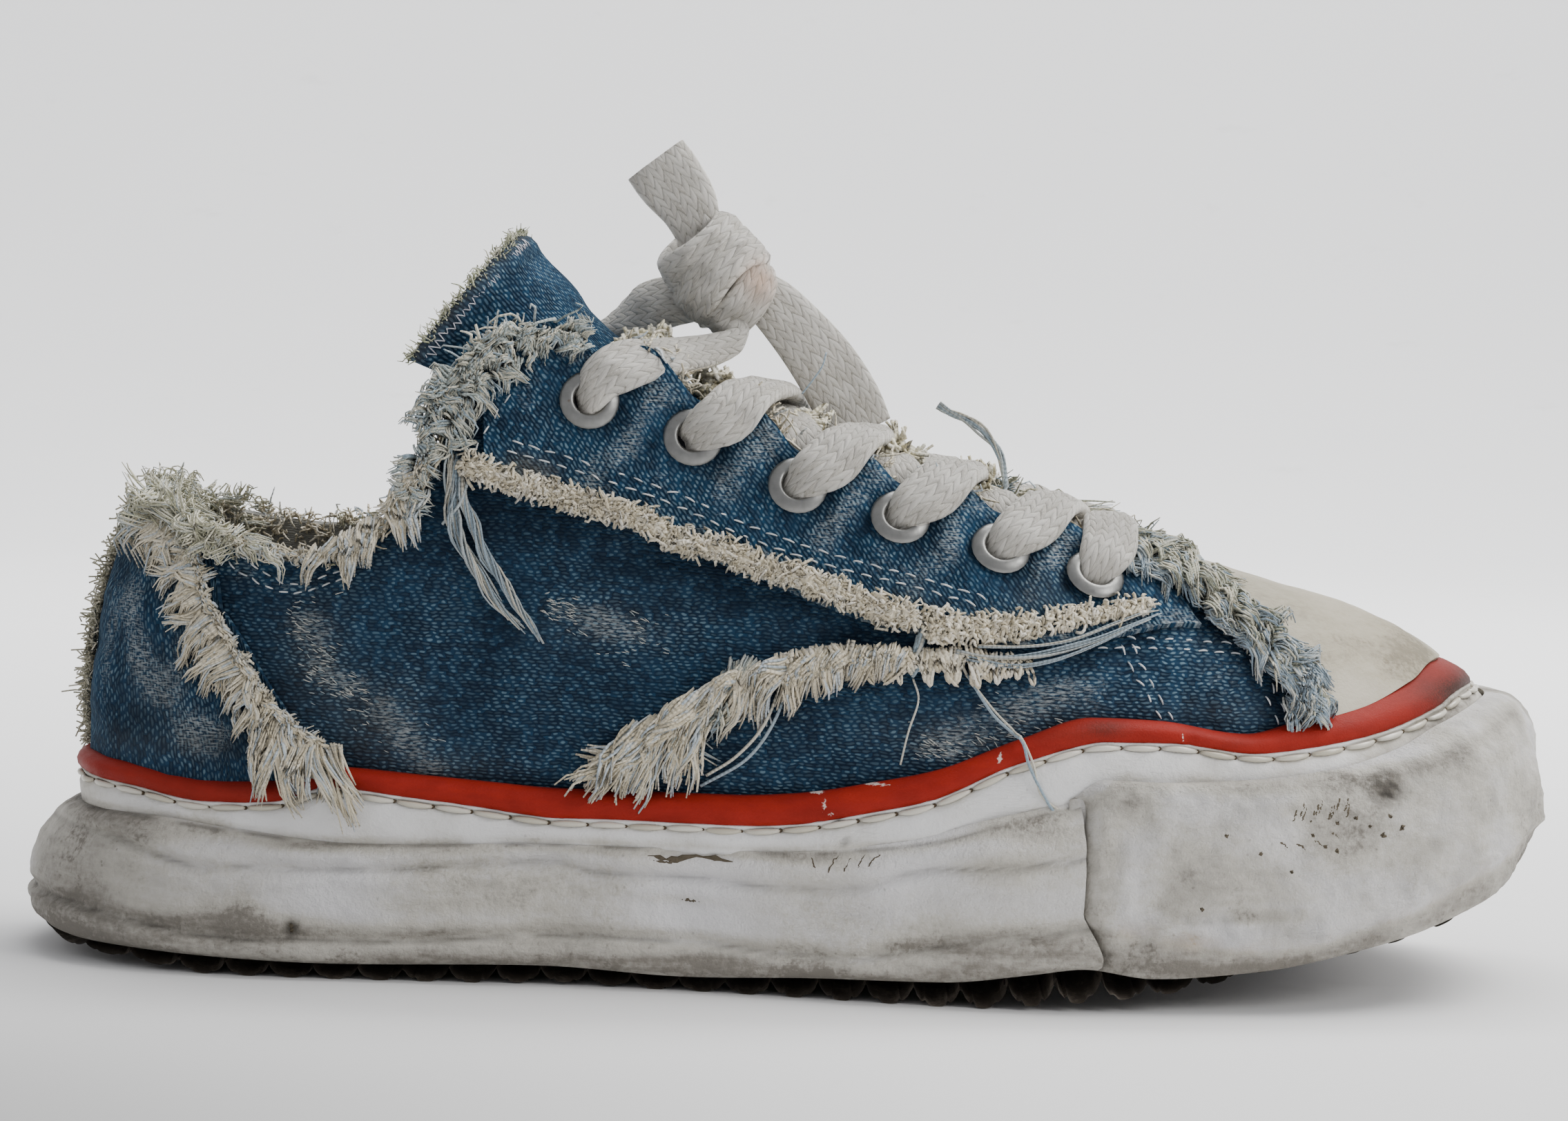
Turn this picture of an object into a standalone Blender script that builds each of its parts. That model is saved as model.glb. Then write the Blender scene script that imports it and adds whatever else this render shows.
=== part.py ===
"""A worn low denim sneaker for the right foot, built up on its last.

The sole outline, the last's foot print and the topline of the upper are three closed
curves through the same sections, so one place round the shoe means the same section on
each. Tables are in millimetres, measured forward from the back of the heel, and MM turns
them into metres. Outer is the side away from the other foot, at -Y.
"""

import math

import bmesh
import bpy
import numpy as np
from mathutils import Matrix, Vector

MM = 0.001
GAP = 0.4  # between curved pieces
PANEL_GAP = 0.55  # between the upper and the panels on it
WALL = 1.8  # denim and lining together
RIM = 4.5  # thickness of the rubber that wraps the foot of the upper
FOOT_LIFT = 0.64  # of the upper's foot above the foot bed
WELT_TUCK = 6.0  # how far the welt goes down behind the toe bumper
OVERLAY = 1.4  # thickness of the panels that stand proud of the upper

# name, columns to the next section, sole: x, outer, inner, last: x, outer, inner
SECTIONS = (
    ("heel_back", 2, 0.0, 0.0, 0.0, 13.5, 0.0, 0.0),
    ("heel_round", 2, 7.0, 22.0, 22.0, 18.5, 16.5, 16.5),
    ("heel_side", 2, 27.0, 38.0, 37.5, 34.0, 28.5, 28.5),
    ("heel_wide", 2, 54.0, 43.5, 42.5, 57.0, 33.5, 33.0),
    ("collar_rise", 1, 74.0, 43.8, 42.2, 75.0, 35.0, 34.0),
    ("facing_back", 1, 87.0, 43.5, 41.5, 87.0, 35.3, 34.0),
    ("facing_top", 1, 99.0, 43.2, 41.2, 99.0, 35.8, 33.8),
    ("facing_front", 2, 112.0, 43.5, 41.2, 111.0, 36.6, 34.2),
    ("shank", 2, 138.0, 46.5, 44.0, 136.0, 40.0, 37.0),
    ("ball_back", 2, 170.0, 53.0, 51.0, 166.0, 45.0, 43.5),
    ("ball", 2, 203.0, 57.0, 56.0, 198.0, 48.0, 47.5),
    ("toe_side", 3, 238.0, 53.5, 55.5, 231.0, 44.0, 47.0),
    ("toe_round", 3, 272.0, 42.5, 52.0, 262.0, 35.0, 43.5),
    ("toe_front", 2, 293.5, 22.0, 39.0, 280.5, 17.0, 32.5),
    ("toe_tip", 0, 303.0, -9.0, 9.0, 288.0, -8.0, 8.0),
)
COLLAR_SECTIONS = ("heel_wide", "collar_rise", "facing_back", "facing_top")
TIP = len(SECTIONS) - 1  # place of the toe tip, counted in sections from the heel
ROUND = 2 * TIP  # sections all the way round

# name, x, outer, inner, height, inner height, foot lean, foot reach, edge lean, edge reach
TOPLINE = (
    ("heel_back", 21.5, 0.0, 0.0, 90.0, 90.0, 13, 26, 22, 26),
    ("heel_round", 24.0, 12.5, 12.5, 88.5, 89.0, 12, 26, 18, 24),
    ("heel_side", 32.0, 22.0, 22.0, 84.0, 86.0, 9, 24, 8, 20),
    ("heel_wide", 53.0, 31.0, 31.0, 77.8, 82.5, 9, 22, 4, 20),
    ("collar_rise", 72.0, 34.0, 33.5, 84.0, 88.0, 9, 24, 5, 24),
    ("facing_back", 81.5, 33.0, 32.5, 101.0, 103.0, 8, 28, 8, 28),
    ("facing_top", 88.5, 30.0, 29.5, 118.0, 118.0, 8, 34, 12, 34),
    ("facing_front", 103.0, 26.5, 26.0, 124.0, 124.0, 8, 36, 16, 36),
    ("shank", 137.0, 25.5, 25.0, 110.5, 110.5, 6, 34, 22, 36),
    ("ball_back", 168.0, 25.0, 24.5, 98.5, 98.5, 4, 32, 38, 30),
    ("ball", 198.0, 22.5, 22.5, 89.5, 89.5, 3, 28, 52, 28),
    ("toe_side", 214.0, 16.5, 17.0, 85.0, 85.0, 2, 30, 62, 30),
    ("toe_round", 219.5, 9.5, 10.0, 83.3, 83.3, 2, 36, 68, 36),
    ("toe_front", 221.5, 4.5, 5.0, 82.6, 82.6, 3, 39, 71, 40),
    ("toe_tip", 222.0, 0.0, 0.0, 82.5, 82.5, 4, 40, 72, 40),
)

# Heights along the shoe: of the lugs, the side wall's foot and the sole's lip by the sole's
# x, and of the foot bed and the stripe's edges by the last's x.
LEVELS = {
    "ground": ((0, 6.0), (12, 2.6), (26, 1.6), (42, 0), (92, 0), (108, 0.6), (126, 0),
               (182, 0), (196, 1.0), (214, 2.9), (224, 4.2), (241, 7.6), (262, 11.6), (276, 15.2),
               (303, 26.6)),
    "foot": ((0, 8.5), (5, 5.6), (12, 4.3), (24, 4.0), (40, 3.5), (60, 3.1), (105, 3.9),
             (130, 3.0), (157, 4.2), (181, 4.9), (197, 7.0), (207, 8.3), (220, 6.7),
             (241, 8.1), (262, 12.0), (276, 15.6), (288, 19.5), (303, 27)),
    "lip": ((0, 31), (24, 30.8), (43, 29.2), (66, 27.3), (130, 26.9), (150, 27.2), (176, 30.4),
            (191, 35), (206, 39), (213, 43), (225, 42.7), (246, 43.4), (263, 45.3),
            (277, 48.9), (287, 53), (303, 57)),
    "bed": ((0, 24), (60, 23), (130, 21.5), (190, 19.5), (230, 20.5), (262, 26), (303, 38)),
    "outsole_inset": ((0, 2.2), (214, 2.2), (240, 7.0), (303, 7.0)),
    "outsole_recess": ((0, 0.0), (214, 0.0), (240, 2.4), (303, 2.4)),
    "eyestay_low": ((84, 98), (100, 92.5), (115, 87), (142, 77.5), (170, 68.5), (198, 66), (223, 70)),
    "stripe_low": ((12, 37.3), (26, 36.2), (40, 34.3), (53, 35.2), (64, 38.2), (81, 36), (92, 34.1),
                   (108, 32.1), (140, 31.7), (151, 32.4), (167, 35.6), (177, 38.2), (192, 45.3),
                   (209, 49.8), (221, 49.8), (241, 48), (251, 49), (268, 51.6), (281, 55.2), (288, 57.6)),
    "stripe_high": ((12, 41.8), (26, 41), (40, 39.3), (53, 40.2), (64, 43.4), (81, 41.4), (92, 39.6),
                    (108, 37.6), (140, 37.2), (151, 38), (167, 41), (177, 43.4), (192, 49.6),
                    (206, 54), (221, 53.6), (241, 51.2), (251, 53.3), (268, 56), (281, 59.6), (288, 61.6)),
}

GROOVE = (10.09, 10.13, 10.18)  # places round the shoe: end of the wall, groove, start of the bumper
# height up the wall from its foot, share of the way in from the outline to the lip
MIDSOLE_WALL = ((0.0, 0.28), (0.1, 0.05), (0.35, 0.0), (0.68, 0.22), (0.9, 0.66), (1.0, 1.0))
BUMPER_WALL = ((0.0, 0.3), (0.07, 0.1), (0.3, 0.0), (0.55, 0.07), (0.78, 0.25), (0.93, 0.5), (1.0, 0.78))

BED_LIP = 8.0  # width of the rim left under the midsole by the outsole's recess
BUMPER_OVERLAP = 0.8  # of the bumper's inner edge above its lip
# share of a rubber band's height, thickness beyond the upper
WELT_SECTION = ((0.0, GAP), (0.0, 4.1), (0.55, 4.3), (1.0, 3.3), (1.0, GAP))
STRIPE_SECTION = ((0.0, GAP), (0.0, 2.4), (0.5, 3.4), (1.0, 2.2), (1.0, GAP))
# height above the foot bed, how far out of the upper's face
INSOLE_SECTION = ((GAP, -8.0), (GAP, -3.0), (3.6, -3.0))

LUG_PITCH = 9.6
LUG_LINES = (-1.0, -0.38, 0.38, 1.0)  # lines between the lugs, as shares of the half width
LUG_TAPER = (0.55, 0.86)  # size of a lug's tread beside its root, along and across
OUTSOLE_SHEET = 1.4

# name, x, height of the crest, half width, drop of the sides, set-back of the sides
TONGUE = (
    ("root", 229.0, 77.6, 14.0, 5.0, 0.0),
    ("throat", 214.0, 81.0, 16.0, 6.0, 0.0),
    ("low", 195.0, 87.0, 18.0, 8.0, 1.0),
    ("middle", 166.0, 97.6, 20.0, 10.0, 2.0),
    ("high", 137.0, 109.6, 21.0, 12.0, 4.0),
    ("neck", 118.0, 119.5, 21.5, 15.0, 8.0),
    ("bend", 106.0, 130.0, 24.0, 20.5, 14.5),
    ("top", 94.0, 143.0, 26.5, 27.0, 20.0),
)
TONGUE_THICKNESS = 3.2

EYELETS = ((109.5, 109.6), (129.3, 103.0), (149.5, 94.2), (169.0, 88.5), (188.5, 83.2), (207.0, 78.8))
EYELET_HOLE = 4.1
EYELET_SEAT = 2.6  # height of the flange's underside above the upper
# radius, height above the flange's underside
EYELET_PROFILE = ((3.0, 1.2), (5.0, 1.3), (5.9, 0.0), (3.7, 0.0), (3.7, -5.2), (3.0, -5.2))
EYELET_SIDES = 8

# The toe cap lies ahead of its line and the heel panel behind its own; each line is x, height,
# x, height, seen from the side.
CAP_REACH = 2.0  # of the toe cap along the foot print either side of the tip, in sections
CAP_LINE = (250.0, 50.0, 226.0, 80.0)
COUNTER_REACH = 3.3
COUNTER_LINE = (36.0, 82.0, 63.0, 41.0)
COUNTER_TOP = 0.94
EYESTAY_PLACES = (6.1, 11.4)
EYESTAY_TOP = 0.985

LACE_WIDTH = 11.5
LACE_THICKNESS = 3.2
LACE_REACH = 7.0  # how far ahead of its eyelet a strand goes over the facing
LACE_LIFT = 3.6  # of a crossing's middle above the tongue
STRAND_LIFT = 2.6  # of a strand above the seat of its eyelet
STRAND_BULGE = 1.2  # of a strand away from the facing, half way to the facing's edge
EDGE_LIFT = 0.5  # of a strand above the panel's edge
TOP_OUTER_ROUTE = [(126.0, -14.0, 123.5), (136.0, -3.0, 125.5)]
TOP_INNER_ROUTE = [(117.0, 14.0, 131.0), (124.0, 6.0, 135.5)]
TAIL_ROUTE = [(166.0, 1.0, 107.5), (161.0, 1.0, 116.5), (155.0, 0.5, 124.0), (147.5, 0.0, 130.5)]
END_ROUTE = [(130.6, 0.0, 148.8), (126.0, 0.0, 154.0), (120.5, 0.0, 159.5)]
KNOT_MIDDLE = (136.5, 0.0, 139.5)
KNOT_SIZE = (10.5, 9.5, 11.5)

COLOURS = {  # base colour, roughness, metallic
    "brown_rubber": ((0.045, 0.03, 0.022), 0.8, 0.0),
    "white_rubber": ((0.72, 0.71, 0.7), 0.6, 0.0),
    "red_rubber": ((0.55, 0.03, 0.012), 0.4, 0.0),
    "ivory_rubber": ((0.68, 0.65, 0.56), 0.5, 0.0),
    "denim": ((0.035, 0.085, 0.17), 0.9, 0.0),
    "lining": ((0.55, 0.5, 0.42), 0.9, 0.0),
    "lace": ((0.7, 0.67, 0.61), 0.9, 0.0),
    "eyelet_metal": ((0.75, 0.75, 0.74), 0.35, 1.0),
}


# Curves ---------------------------------------------------------------------------------

def ring_of(rows, x, outer, inner, *others):
    """One row round the shoe for each section: out along the outer side, back along the inner."""
    there = [[row[x], -row[outer]] + [row[column] for column, _ in others] for row in rows]
    back = [[row[x], row[inner]] + [row[column] for _, column in others] for row in rows[-2:0:-1]]
    return np.array(there + back)


SOLE_RING = ring_of(SECTIONS, 2, 3, 4)
LAST_RING = ring_of(SECTIONS, 5, 6, 7)
TOP_RING = ring_of(TOPLINE, 1, 2, 3, (4, 5))
LEAN_RING = ring_of(TOPLINE, 1, 2, 3, (6, 6), (7, 7), (8, 8), (9, 9))[:, 2:]
KNOTS = np.concatenate([[0], np.cumsum(np.hypot(*(np.roll(SOLE_RING, -1, 0) - SOLE_RING).T))])


def closed_spline(values, place):
    """Smooth closed curve through the values, one at each section round the shoe."""
    gap = np.diff(KNOTS)[:, None]
    before = np.roll(gap, 1, 0)
    slope = (np.roll(values, -1, 0) - values) / gap
    index = np.arange(ROUND)
    bend = np.zeros((ROUND, ROUND))
    bend[index, index] = 2 * (gap + before)[:, 0]
    bend[index, index - 1] = before[:, 0]
    bend[index, (index + 1) % ROUND] = gap[:, 0]
    second = np.linalg.solve(bend, 6 * (slope - np.roll(slope, 1, 0)))
    place = np.asarray(place, float) % ROUND
    k = np.floor(place).astype(int) % ROUND
    after = (k + 1) % ROUND
    share = (place - np.floor(place))[..., None]
    rest = 1 - share
    cubic = (share**3 - share) * second[after] + (rest**3 - rest) * second[k]
    return rest * values[k] + share * values[after] + cubic * gap[k] ** 2 / 6


def level(name, x):
    """Height from a level table at x, smooth, and never past the heights on either side."""
    at, height = np.array(LEVELS[name], float).T
    run, rise = np.diff(at), np.diff(height)
    slope = rise / run
    same_way = slope[1:] * slope[:-1] > 0
    mean = np.zeros(len(at))
    total = np.where(same_way, slope[1:] + slope[:-1], 1)
    mean[1:-1] = np.where(same_way, 2 * slope[1:] * slope[:-1] / total, 0)
    x = np.clip(x, at[0], at[-1])
    k = np.clip(np.searchsorted(at, x, side="right") - 1, 0, len(run) - 1)
    t = (x - at[k]) / run[k]
    hermite = t * (1 - t) * ((1 - t) * (mean[k] - slope[k]) - t * (mean[k + 1] - slope[k])) * run[k]
    return height[k] + t * rise[k] + hermite


def outward(ring, place):
    """Level unit vector pointing out of a closed curve."""
    step = 0.01
    along = closed_spline(ring, np.asarray(place) + step) - closed_spline(ring, np.asarray(place) - step)
    out = np.stack([along[..., 1], -along[..., 0]], -1)
    return out / np.linalg.norm(out, axis=-1, keepdims=True)


def columns(extra=0):
    """Places round the shoe for a loft's columns, with the groove's own; extra ones at the collar."""
    side = []
    for number, section in enumerate(SECTIONS[:-1]):
        steps = section[1] + (extra if section[0] in COLLAR_SECTIONS else 0)
        side += [number + step / steps for step in range(steps)]
    side = sorted(side + list(GROOVE)) + [TIP]
    return np.array(side + [ROUND - place for place in side[-2:0:-1]])


def columns_between(first, last):
    """The upper's own columns from one place to another, so that a panel's facets follow the upper's."""
    every = columns(1)
    every = np.concatenate([every - ROUND, every])
    inside = every[(every > first + 0.1) & (every < last - 0.1)]
    return np.concatenate([[first], inside, [last]])


# The upper's own function ---------------------------------------------------------------

def upper_point(place, share):
    """Point of the upper's outer face: a Bezier curve from the foot print (share 0) to the topline (1)."""
    foot = closed_spline(LAST_RING, place)
    foot = np.concatenate([foot, level("bed", foot[..., 0])[..., None] + FOOT_LIFT], -1)
    edge = closed_spline(TOP_RING, place)
    foot_lean, foot_reach, edge_lean, edge_reach = np.moveaxis(closed_spline(LEAN_RING, place), -1, 0)
    out = outward(LAST_RING, place)
    foot_lean, edge_lean = np.radians(foot_lean), np.radians(edge_lean)
    rise = np.stack([*np.moveaxis(out, -1, 0) * np.sin(foot_lean), np.cos(foot_lean)], -1)
    fall = np.stack([*np.moveaxis(out, -1, 0) * np.sin(edge_lean), -np.cos(edge_lean)], -1)
    low = foot + rise * foot_reach[..., None]
    high = edge + fall * edge_reach[..., None]
    s = np.asarray(share, float)[..., None]
    r = 1 - s
    return r**3 * foot + 3 * r * r * s * low + 3 * r * s * s * high + s**3 * edge


def upper_normal(place, share):
    """Unit vector pointing out of the upper."""
    step = 0.004
    place, share = np.broadcast_arrays(np.asarray(place, float), np.asarray(share, float))
    along = upper_point(place + step, share) - upper_point(place - step, share)
    up = upper_point(place, share + step) - upper_point(place, share - step)
    out = np.cross(along, up)
    return out / np.linalg.norm(out, axis=-1, keepdims=True)


def upper_offset(place, share, out):
    place, share = np.broadcast_arrays(np.asarray(place, float), np.asarray(share, float))
    return upper_point(place, share) + out * upper_normal(place, share)


def upper_columns(place):
    """Shares from foot print to topline, and the upper's points at each of them for each place."""
    shares = np.linspace(0, 1, 121)
    return shares, upper_point(*np.broadcast_arrays(np.asarray(place)[None, :], shares[:, None]))


def share_at_height(place, height):
    """How far up its curve the upper reaches a height, for each column."""
    shares, points = upper_columns(place)
    heights = np.maximum.accumulate(points[..., 2], 0)
    return np.array([np.interp(z, column, shares) for z, column in zip(height, heights.T)])


def round_upper(place, height, out):
    """Ring round the upper at a height, pushed out level."""
    height = np.broadcast_to(height, np.shape(place))
    point = upper_point(place, share_at_height(place, height))
    level_out = outward(LAST_RING, place) * np.reshape(out, (-1, 1))
    return np.column_stack([point[:, :2] + level_out, height])


def last_x(place):
    return closed_spline(LAST_RING, place)[..., 0]


def before_groove(place):
    return np.minimum(place, ROUND - place) < GROOVE[1] - 1e-6


# Meshes ---------------------------------------------------------------------------------

_sole = closed_spline(SOLE_RING, np.linspace(0, ROUND, 1401))
MIDDLE = (_sole.min(0) + _sole.max(0)) / 2  # the shoe's middle becomes the origin


def place_in_world(points):
    points = np.array(points, float)
    points[..., :2] -= MIDDLE
    return points * MM


def material(name):
    found = bpy.data.materials.get(name)
    if found:
        return found
    colour, roughness, metallic = COLOURS[name]
    made = bpy.data.materials.new(name)
    made.use_nodes = True
    shader = made.node_tree.nodes["Principled BSDF"]
    shader.inputs["Base Color"].default_value = (*colour, 1.0)
    shader.inputs["Roughness"].default_value = roughness
    shader.inputs["Metallic"].default_value = metallic
    made.diffuse_color = (*colour, 1.0)
    return made


def new_object(name, mesh, finish, collection, parent=None):
    obj = bpy.data.objects.new(name, mesh)
    mesh.materials.append(material(finish))
    collection.objects.link(obj)
    obj.parent = parent
    return obj


def mesh_from(name, build):
    """A mesh made by a function that fills a bmesh, smooth shaded, its faces pointing out."""
    work = bmesh.new()
    build(work)
    bmesh.ops.recalc_face_normals(work, faces=work.faces[:])
    mesh = bpy.data.meshes.new(name)
    work.to_mesh(mesh)
    work.free()
    mesh.shade_smooth()
    mesh.set_sharp_from_angle(angle=math.radians(50))
    return mesh


def add_grid(work, rings, wrap_rings, wrap_columns):
    """Quads between neighbouring rings of points, and the vertices by ring."""
    verts = [[work.verts.new(point) for point in ring] for ring in place_in_world(rings)]
    rows, count = len(verts), len(verts[0])
    for i in range(rows if wrap_rings else rows - 1):
        for j in range(count if wrap_columns else count - 1):
            lower, upper = verts[i], verts[(i + 1) % rows]
            after = (j + 1) % count
            work.faces.new((lower[j], lower[after], upper[after], upper[j]))
    return verts


def close_across(work, ring):
    """Fills a ring round the shoe with strips from its outer side to its inner side."""
    half = len(ring) // 2
    work.faces.new((ring[0], ring[1], ring[-1]))
    for j in range(1, half - 1):
        work.faces.new((ring[j], ring[j + 1], ring[-j - 1], ring[-j]))
    work.faces.new((ring[half - 1], ring[half], ring[half + 1]))


def hoop(rings):
    """A bar with this cross-section, running all the way round."""
    return lambda work: add_grid(work, rings, True, True)


def body_between(rings):
    """A solid from its lowest ring to its highest, both closed across."""
    def build(work):
        verts = add_grid(work, rings, False, True)
        close_across(work, verts[0])
        close_across(work, verts[-1])
    return build


def bar(rings):
    """A bar with this cross-section and two flat ends."""
    def build(work):
        verts = add_grid(work, rings, True, False)
        work.faces.new([ring[0] for ring in verts])
        work.faces.new([ring[-1] for ring in verts])
    return build


def sheet(rings, wrap_columns=False):
    return lambda work: add_grid(work, rings, False, wrap_columns)


def thicken(obj, thickness, side):
    """Gives a sheet its thickness: side 1 outwards, -1 inwards."""
    wall = obj.modifiers.new("wall", "SOLIDIFY")
    wall.thickness = thickness * MM
    wall.offset = side
    return wall


def open_sheet_mesh(name, rings, wrap_columns=False):
    """Mesh of a sheet whose faces point out of the shoe."""
    mesh = mesh_from(name, sheet(rings, wrap_columns))
    rows, count = np.shape(rings)[:2]
    middle = len(mesh.polygons) // 2
    row, column = divmod(middle, count if wrap_columns else count - 1)
    corner = np.array(rings[row][column])
    across = np.array(rings[row][(column + 1) % count]) - corner
    up = np.array(rings[row + 1][column]) - corner
    if np.dot(mesh.polygons[middle].normal, np.cross(across, up)) < 0:
        mesh.flip_normals()
    return mesh


# Sole -----------------------------------------------------------------------------------

def wall_ring(place, profile_row, top, inner_top):
    """One ring of a rubber side wall, by its height and how far in it lies."""
    height, inward = profile_row
    sole = closed_spline(SOLE_RING, place)
    foot = level("foot", sole[:, 0])
    flat = sole * (1 - inward) + inner_top[:, :2] * inward
    return np.column_stack([flat, foot + height * (top - foot)])


def underside(x):
    """Height of the rubber above the outsole: the side wall's foot, and a recess at the toe."""
    return level("foot", x) + level("outsole_recess", x)


def midsole_rings(place):
    x = closed_spline(SOLE_RING, place)[:, 0]
    behind = before_groove(place)
    top = level("lip", x) - np.where(behind, 0, WELT_TUCK + GAP)
    bed = level("bed", last_x(place))
    lip = round_upper(place, top, RIM)
    walls = []
    for row in MIDSOLE_WALL:
        wall = wall_ring(place, row, top, lip)
        tucked = round_upper(place, wall[:, 2], RIM)
        walls.append(np.where(behind[:, None], wall, tucked))
    under = walls[0][:, :2] - BED_LIP * outward(SOLE_RING, place)
    under = np.column_stack([under, underside(under[:, 0])])
    walls[0][:, 2] = np.where(behind, walls[0][:, 2], underside(walls[0][:, 0]))
    inside = [round_upper(place, bed + share * (top - bed), GAP) for share in (1.0, 0.5, 0.0)]
    return [under] + walls + inside + [round_upper(place, bed, -5.0)]


def bumper_rings(place):
    x = closed_spline(SOLE_RING, place)[:, 0]
    top = level("lip", x)
    foot = level("foot", x)
    height = top + BUMPER_OVERLAP - foot
    inner = [round_upper(place, foot + share * height, RIM + 1.8 * GAP) for share in (1.0, 0.7, 0.4, 0.0)]
    inner[-1][:, 2] = underside(inner[-1][:, 0])
    return [wall_ring(place, row, top, inner[0]) for row in BUMPER_WALL] + inner


def outsole_mesh():
    """A thin sheet under the sole, its underside drawn down into rows of lugs."""
    def build(work):
        length = SOLE_RING[TIP, 0]
        count = round(length / LUG_PITCH)
        dense = np.linspace(0, ROUND, 1401)
        edge = closed_spline(SOLE_RING, dense)
        edge = edge - level("outsole_inset", edge[:, 0])[:, None] * outward(SOLE_RING, dense)
        lines = np.linspace(edge[:, 0].min() + 2.0, edge[:, 0].max() - 1.5, count + 1)
        outer, inner = edge[:701], edge[:699:-1]
        layers = []
        for drop in (2 * GAP, 2 * GAP + OUTSOLE_SHEET):
            rows = []
            for x in lines:
                low = np.interp(x, outer[:, 0], outer[:, 1])
                high = np.interp(x, inner[:, 0], inner[:, 1])
                ys = [(low + high) / 2 + share * (high - low) / 2 for share in LUG_LINES]
                z = underside(x) - drop
                rows.append([work.verts.new(p) for p in place_in_world([(x, y, z) for y in ys])])
            layers.append(rows)
        top, bottom = layers
        lugs = []
        for i in range(count):
            for j in range(len(LUG_LINES) - 1):
                work.faces.new((top[i][j], top[i + 1][j], top[i + 1][j + 1], top[i][j + 1]))
                corners = (bottom[i][j], bottom[i][j + 1], bottom[i + 1][j + 1], bottom[i + 1][j])
                lugs.append(work.faces.new(corners))
            for j in (0, -1):
                work.faces.new((top[i][j], bottom[i][j], bottom[i + 1][j], top[i + 1][j]))
        for i in (0, -1):
            for j in range(len(LUG_LINES) - 1):
                work.faces.new((top[i][j], top[i][j + 1], bottom[i][j + 1], bottom[i][j]))
        for lug in bmesh.ops.extrude_discrete_faces(work, faces=lugs)["faces"]:
            middle = lug.calc_center_median()
            for vert in lug.verts:
                vert.co.x = middle.x + (vert.co.x - middle.x) * LUG_TAPER[0]
                vert.co.y = middle.y + (vert.co.y - middle.y) * LUG_TAPER[1]
                vert.co.z = level("ground", vert.co.x / MM + MIDDLE[0]) * MM
    return mesh_from("outsole", build)


# Panels on the upper --------------------------------------------------------------------

def panel_rings(place, low, high, rows):
    """Rows of points just outside the upper, from share low to share high of each column."""
    return [upper_offset(place, low + (high - low) * row / (rows - 1), PANEL_GAP) for row in range(rows)]


def share_at_line(place, x0, z0, x1, z1, ahead):
    """Share where each column of the upper crosses the line (x0, z0) to (x1, z1) seen from the side."""
    shares, points = upper_columns(place)
    line_x = x0 + (points[..., 2] - z0) * (x1 - x0) / (z1 - z0)
    inside = (points[..., 0] > line_x) if ahead else (points[..., 0] < line_x)
    last = np.where(inside.any(0), len(shares) - 1 - inside[::-1].argmax(0), 0)
    return shares[last]


def share_at_level(place, name):
    """Share where each column of the upper rises past a level table."""
    shares, points = upper_columns(place)
    below = points[..., 2] < level(name, points[..., 0])
    return shares[below.sum(0)]


# Soft parts and laces -------------------------------------------------------------------

def smooth_rows(rows, count):
    """Catmull-Rom through rows of numbers, count samples from the first to the last."""
    rows = np.array(rows, float)
    padded = np.vstack([2 * rows[0] - rows[1], rows, 2 * rows[-1] - rows[-2]])
    at = np.linspace(0, len(rows) - 1, count)
    k = np.minimum(at.astype(int), len(rows) - 2)
    t = (at - k)[:, None]
    a, b, c, d = (padded[k + i] for i in range(4))
    return 0.5 * (2 * b + (c - a) * t + (2 * a - 5 * b + 4 * c - d) * t**2 + (3 * b - a - 3 * c + d) * t**3)


def tongue_rings():
    """Arches across the tongue, from its root under the vamp to its top edge."""
    rings = []
    for x, crest, half, drop, back in smooth_rows([row[1:] for row in TONGUE], 11):
        turn = np.radians(np.linspace(-85, 85, 7))
        fall = 1 - np.cos(turn)
        rings.append(np.column_stack([x - back * fall, half * np.sin(turn), crest - drop * fall]))
    return rings


def strap_rings(points, faces_up, width, thickness):
    """A flat cord along points; faces_up gives the way its broad side faces at each."""
    points = np.array(points, float)
    along = np.gradient(points, axis=0)
    side = np.cross(along, faces_up)
    side /= np.linalg.norm(side, axis=1, keepdims=True)
    up = np.cross(side, along)
    up /= np.linalg.norm(up, axis=1, keepdims=True)
    section = ((-0.5, -0.2), (0.5, -0.2), (0.36, 0.5), (-0.36, 0.5))
    return [points + side * u * width + up * v * thickness for u, v in section]


def tongue_crest(x):
    rows = sorted(TONGUE, key=lambda row: row[1])
    return float(np.interp(x, [row[1] for row in rows], [row[2] for row in rows]))


def topline_at(x, side):
    """Point of the facing's edge at x; side is -1 for the outer facing, 1 for the inner."""
    places = np.linspace(7, 12.5, 200)
    edge = closed_spline(TOP_RING, places if side < 0 else ROUND - places)
    return np.array([np.interp(x, edge[:, 0], edge[:, column]) for column in range(3)])


def eyelet_pose(number, side):
    """Middle of an eyelet on the upper's outer face, and the way out."""
    x, z = EYELETS[number - 1]
    places, shares = np.meshgrid(np.linspace(5.5, 11.8, 240), np.linspace(0.5, 1, 120))
    places = places if side < 0 else ROUND - places
    points = upper_point(places, shares)
    miss = np.hypot(points[..., 0] - x, points[..., 2] - z)
    nearest = np.unravel_index(miss.argmin(), miss.shape)
    return points[nearest], upper_normal(places[nearest], shares[nearest])


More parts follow.
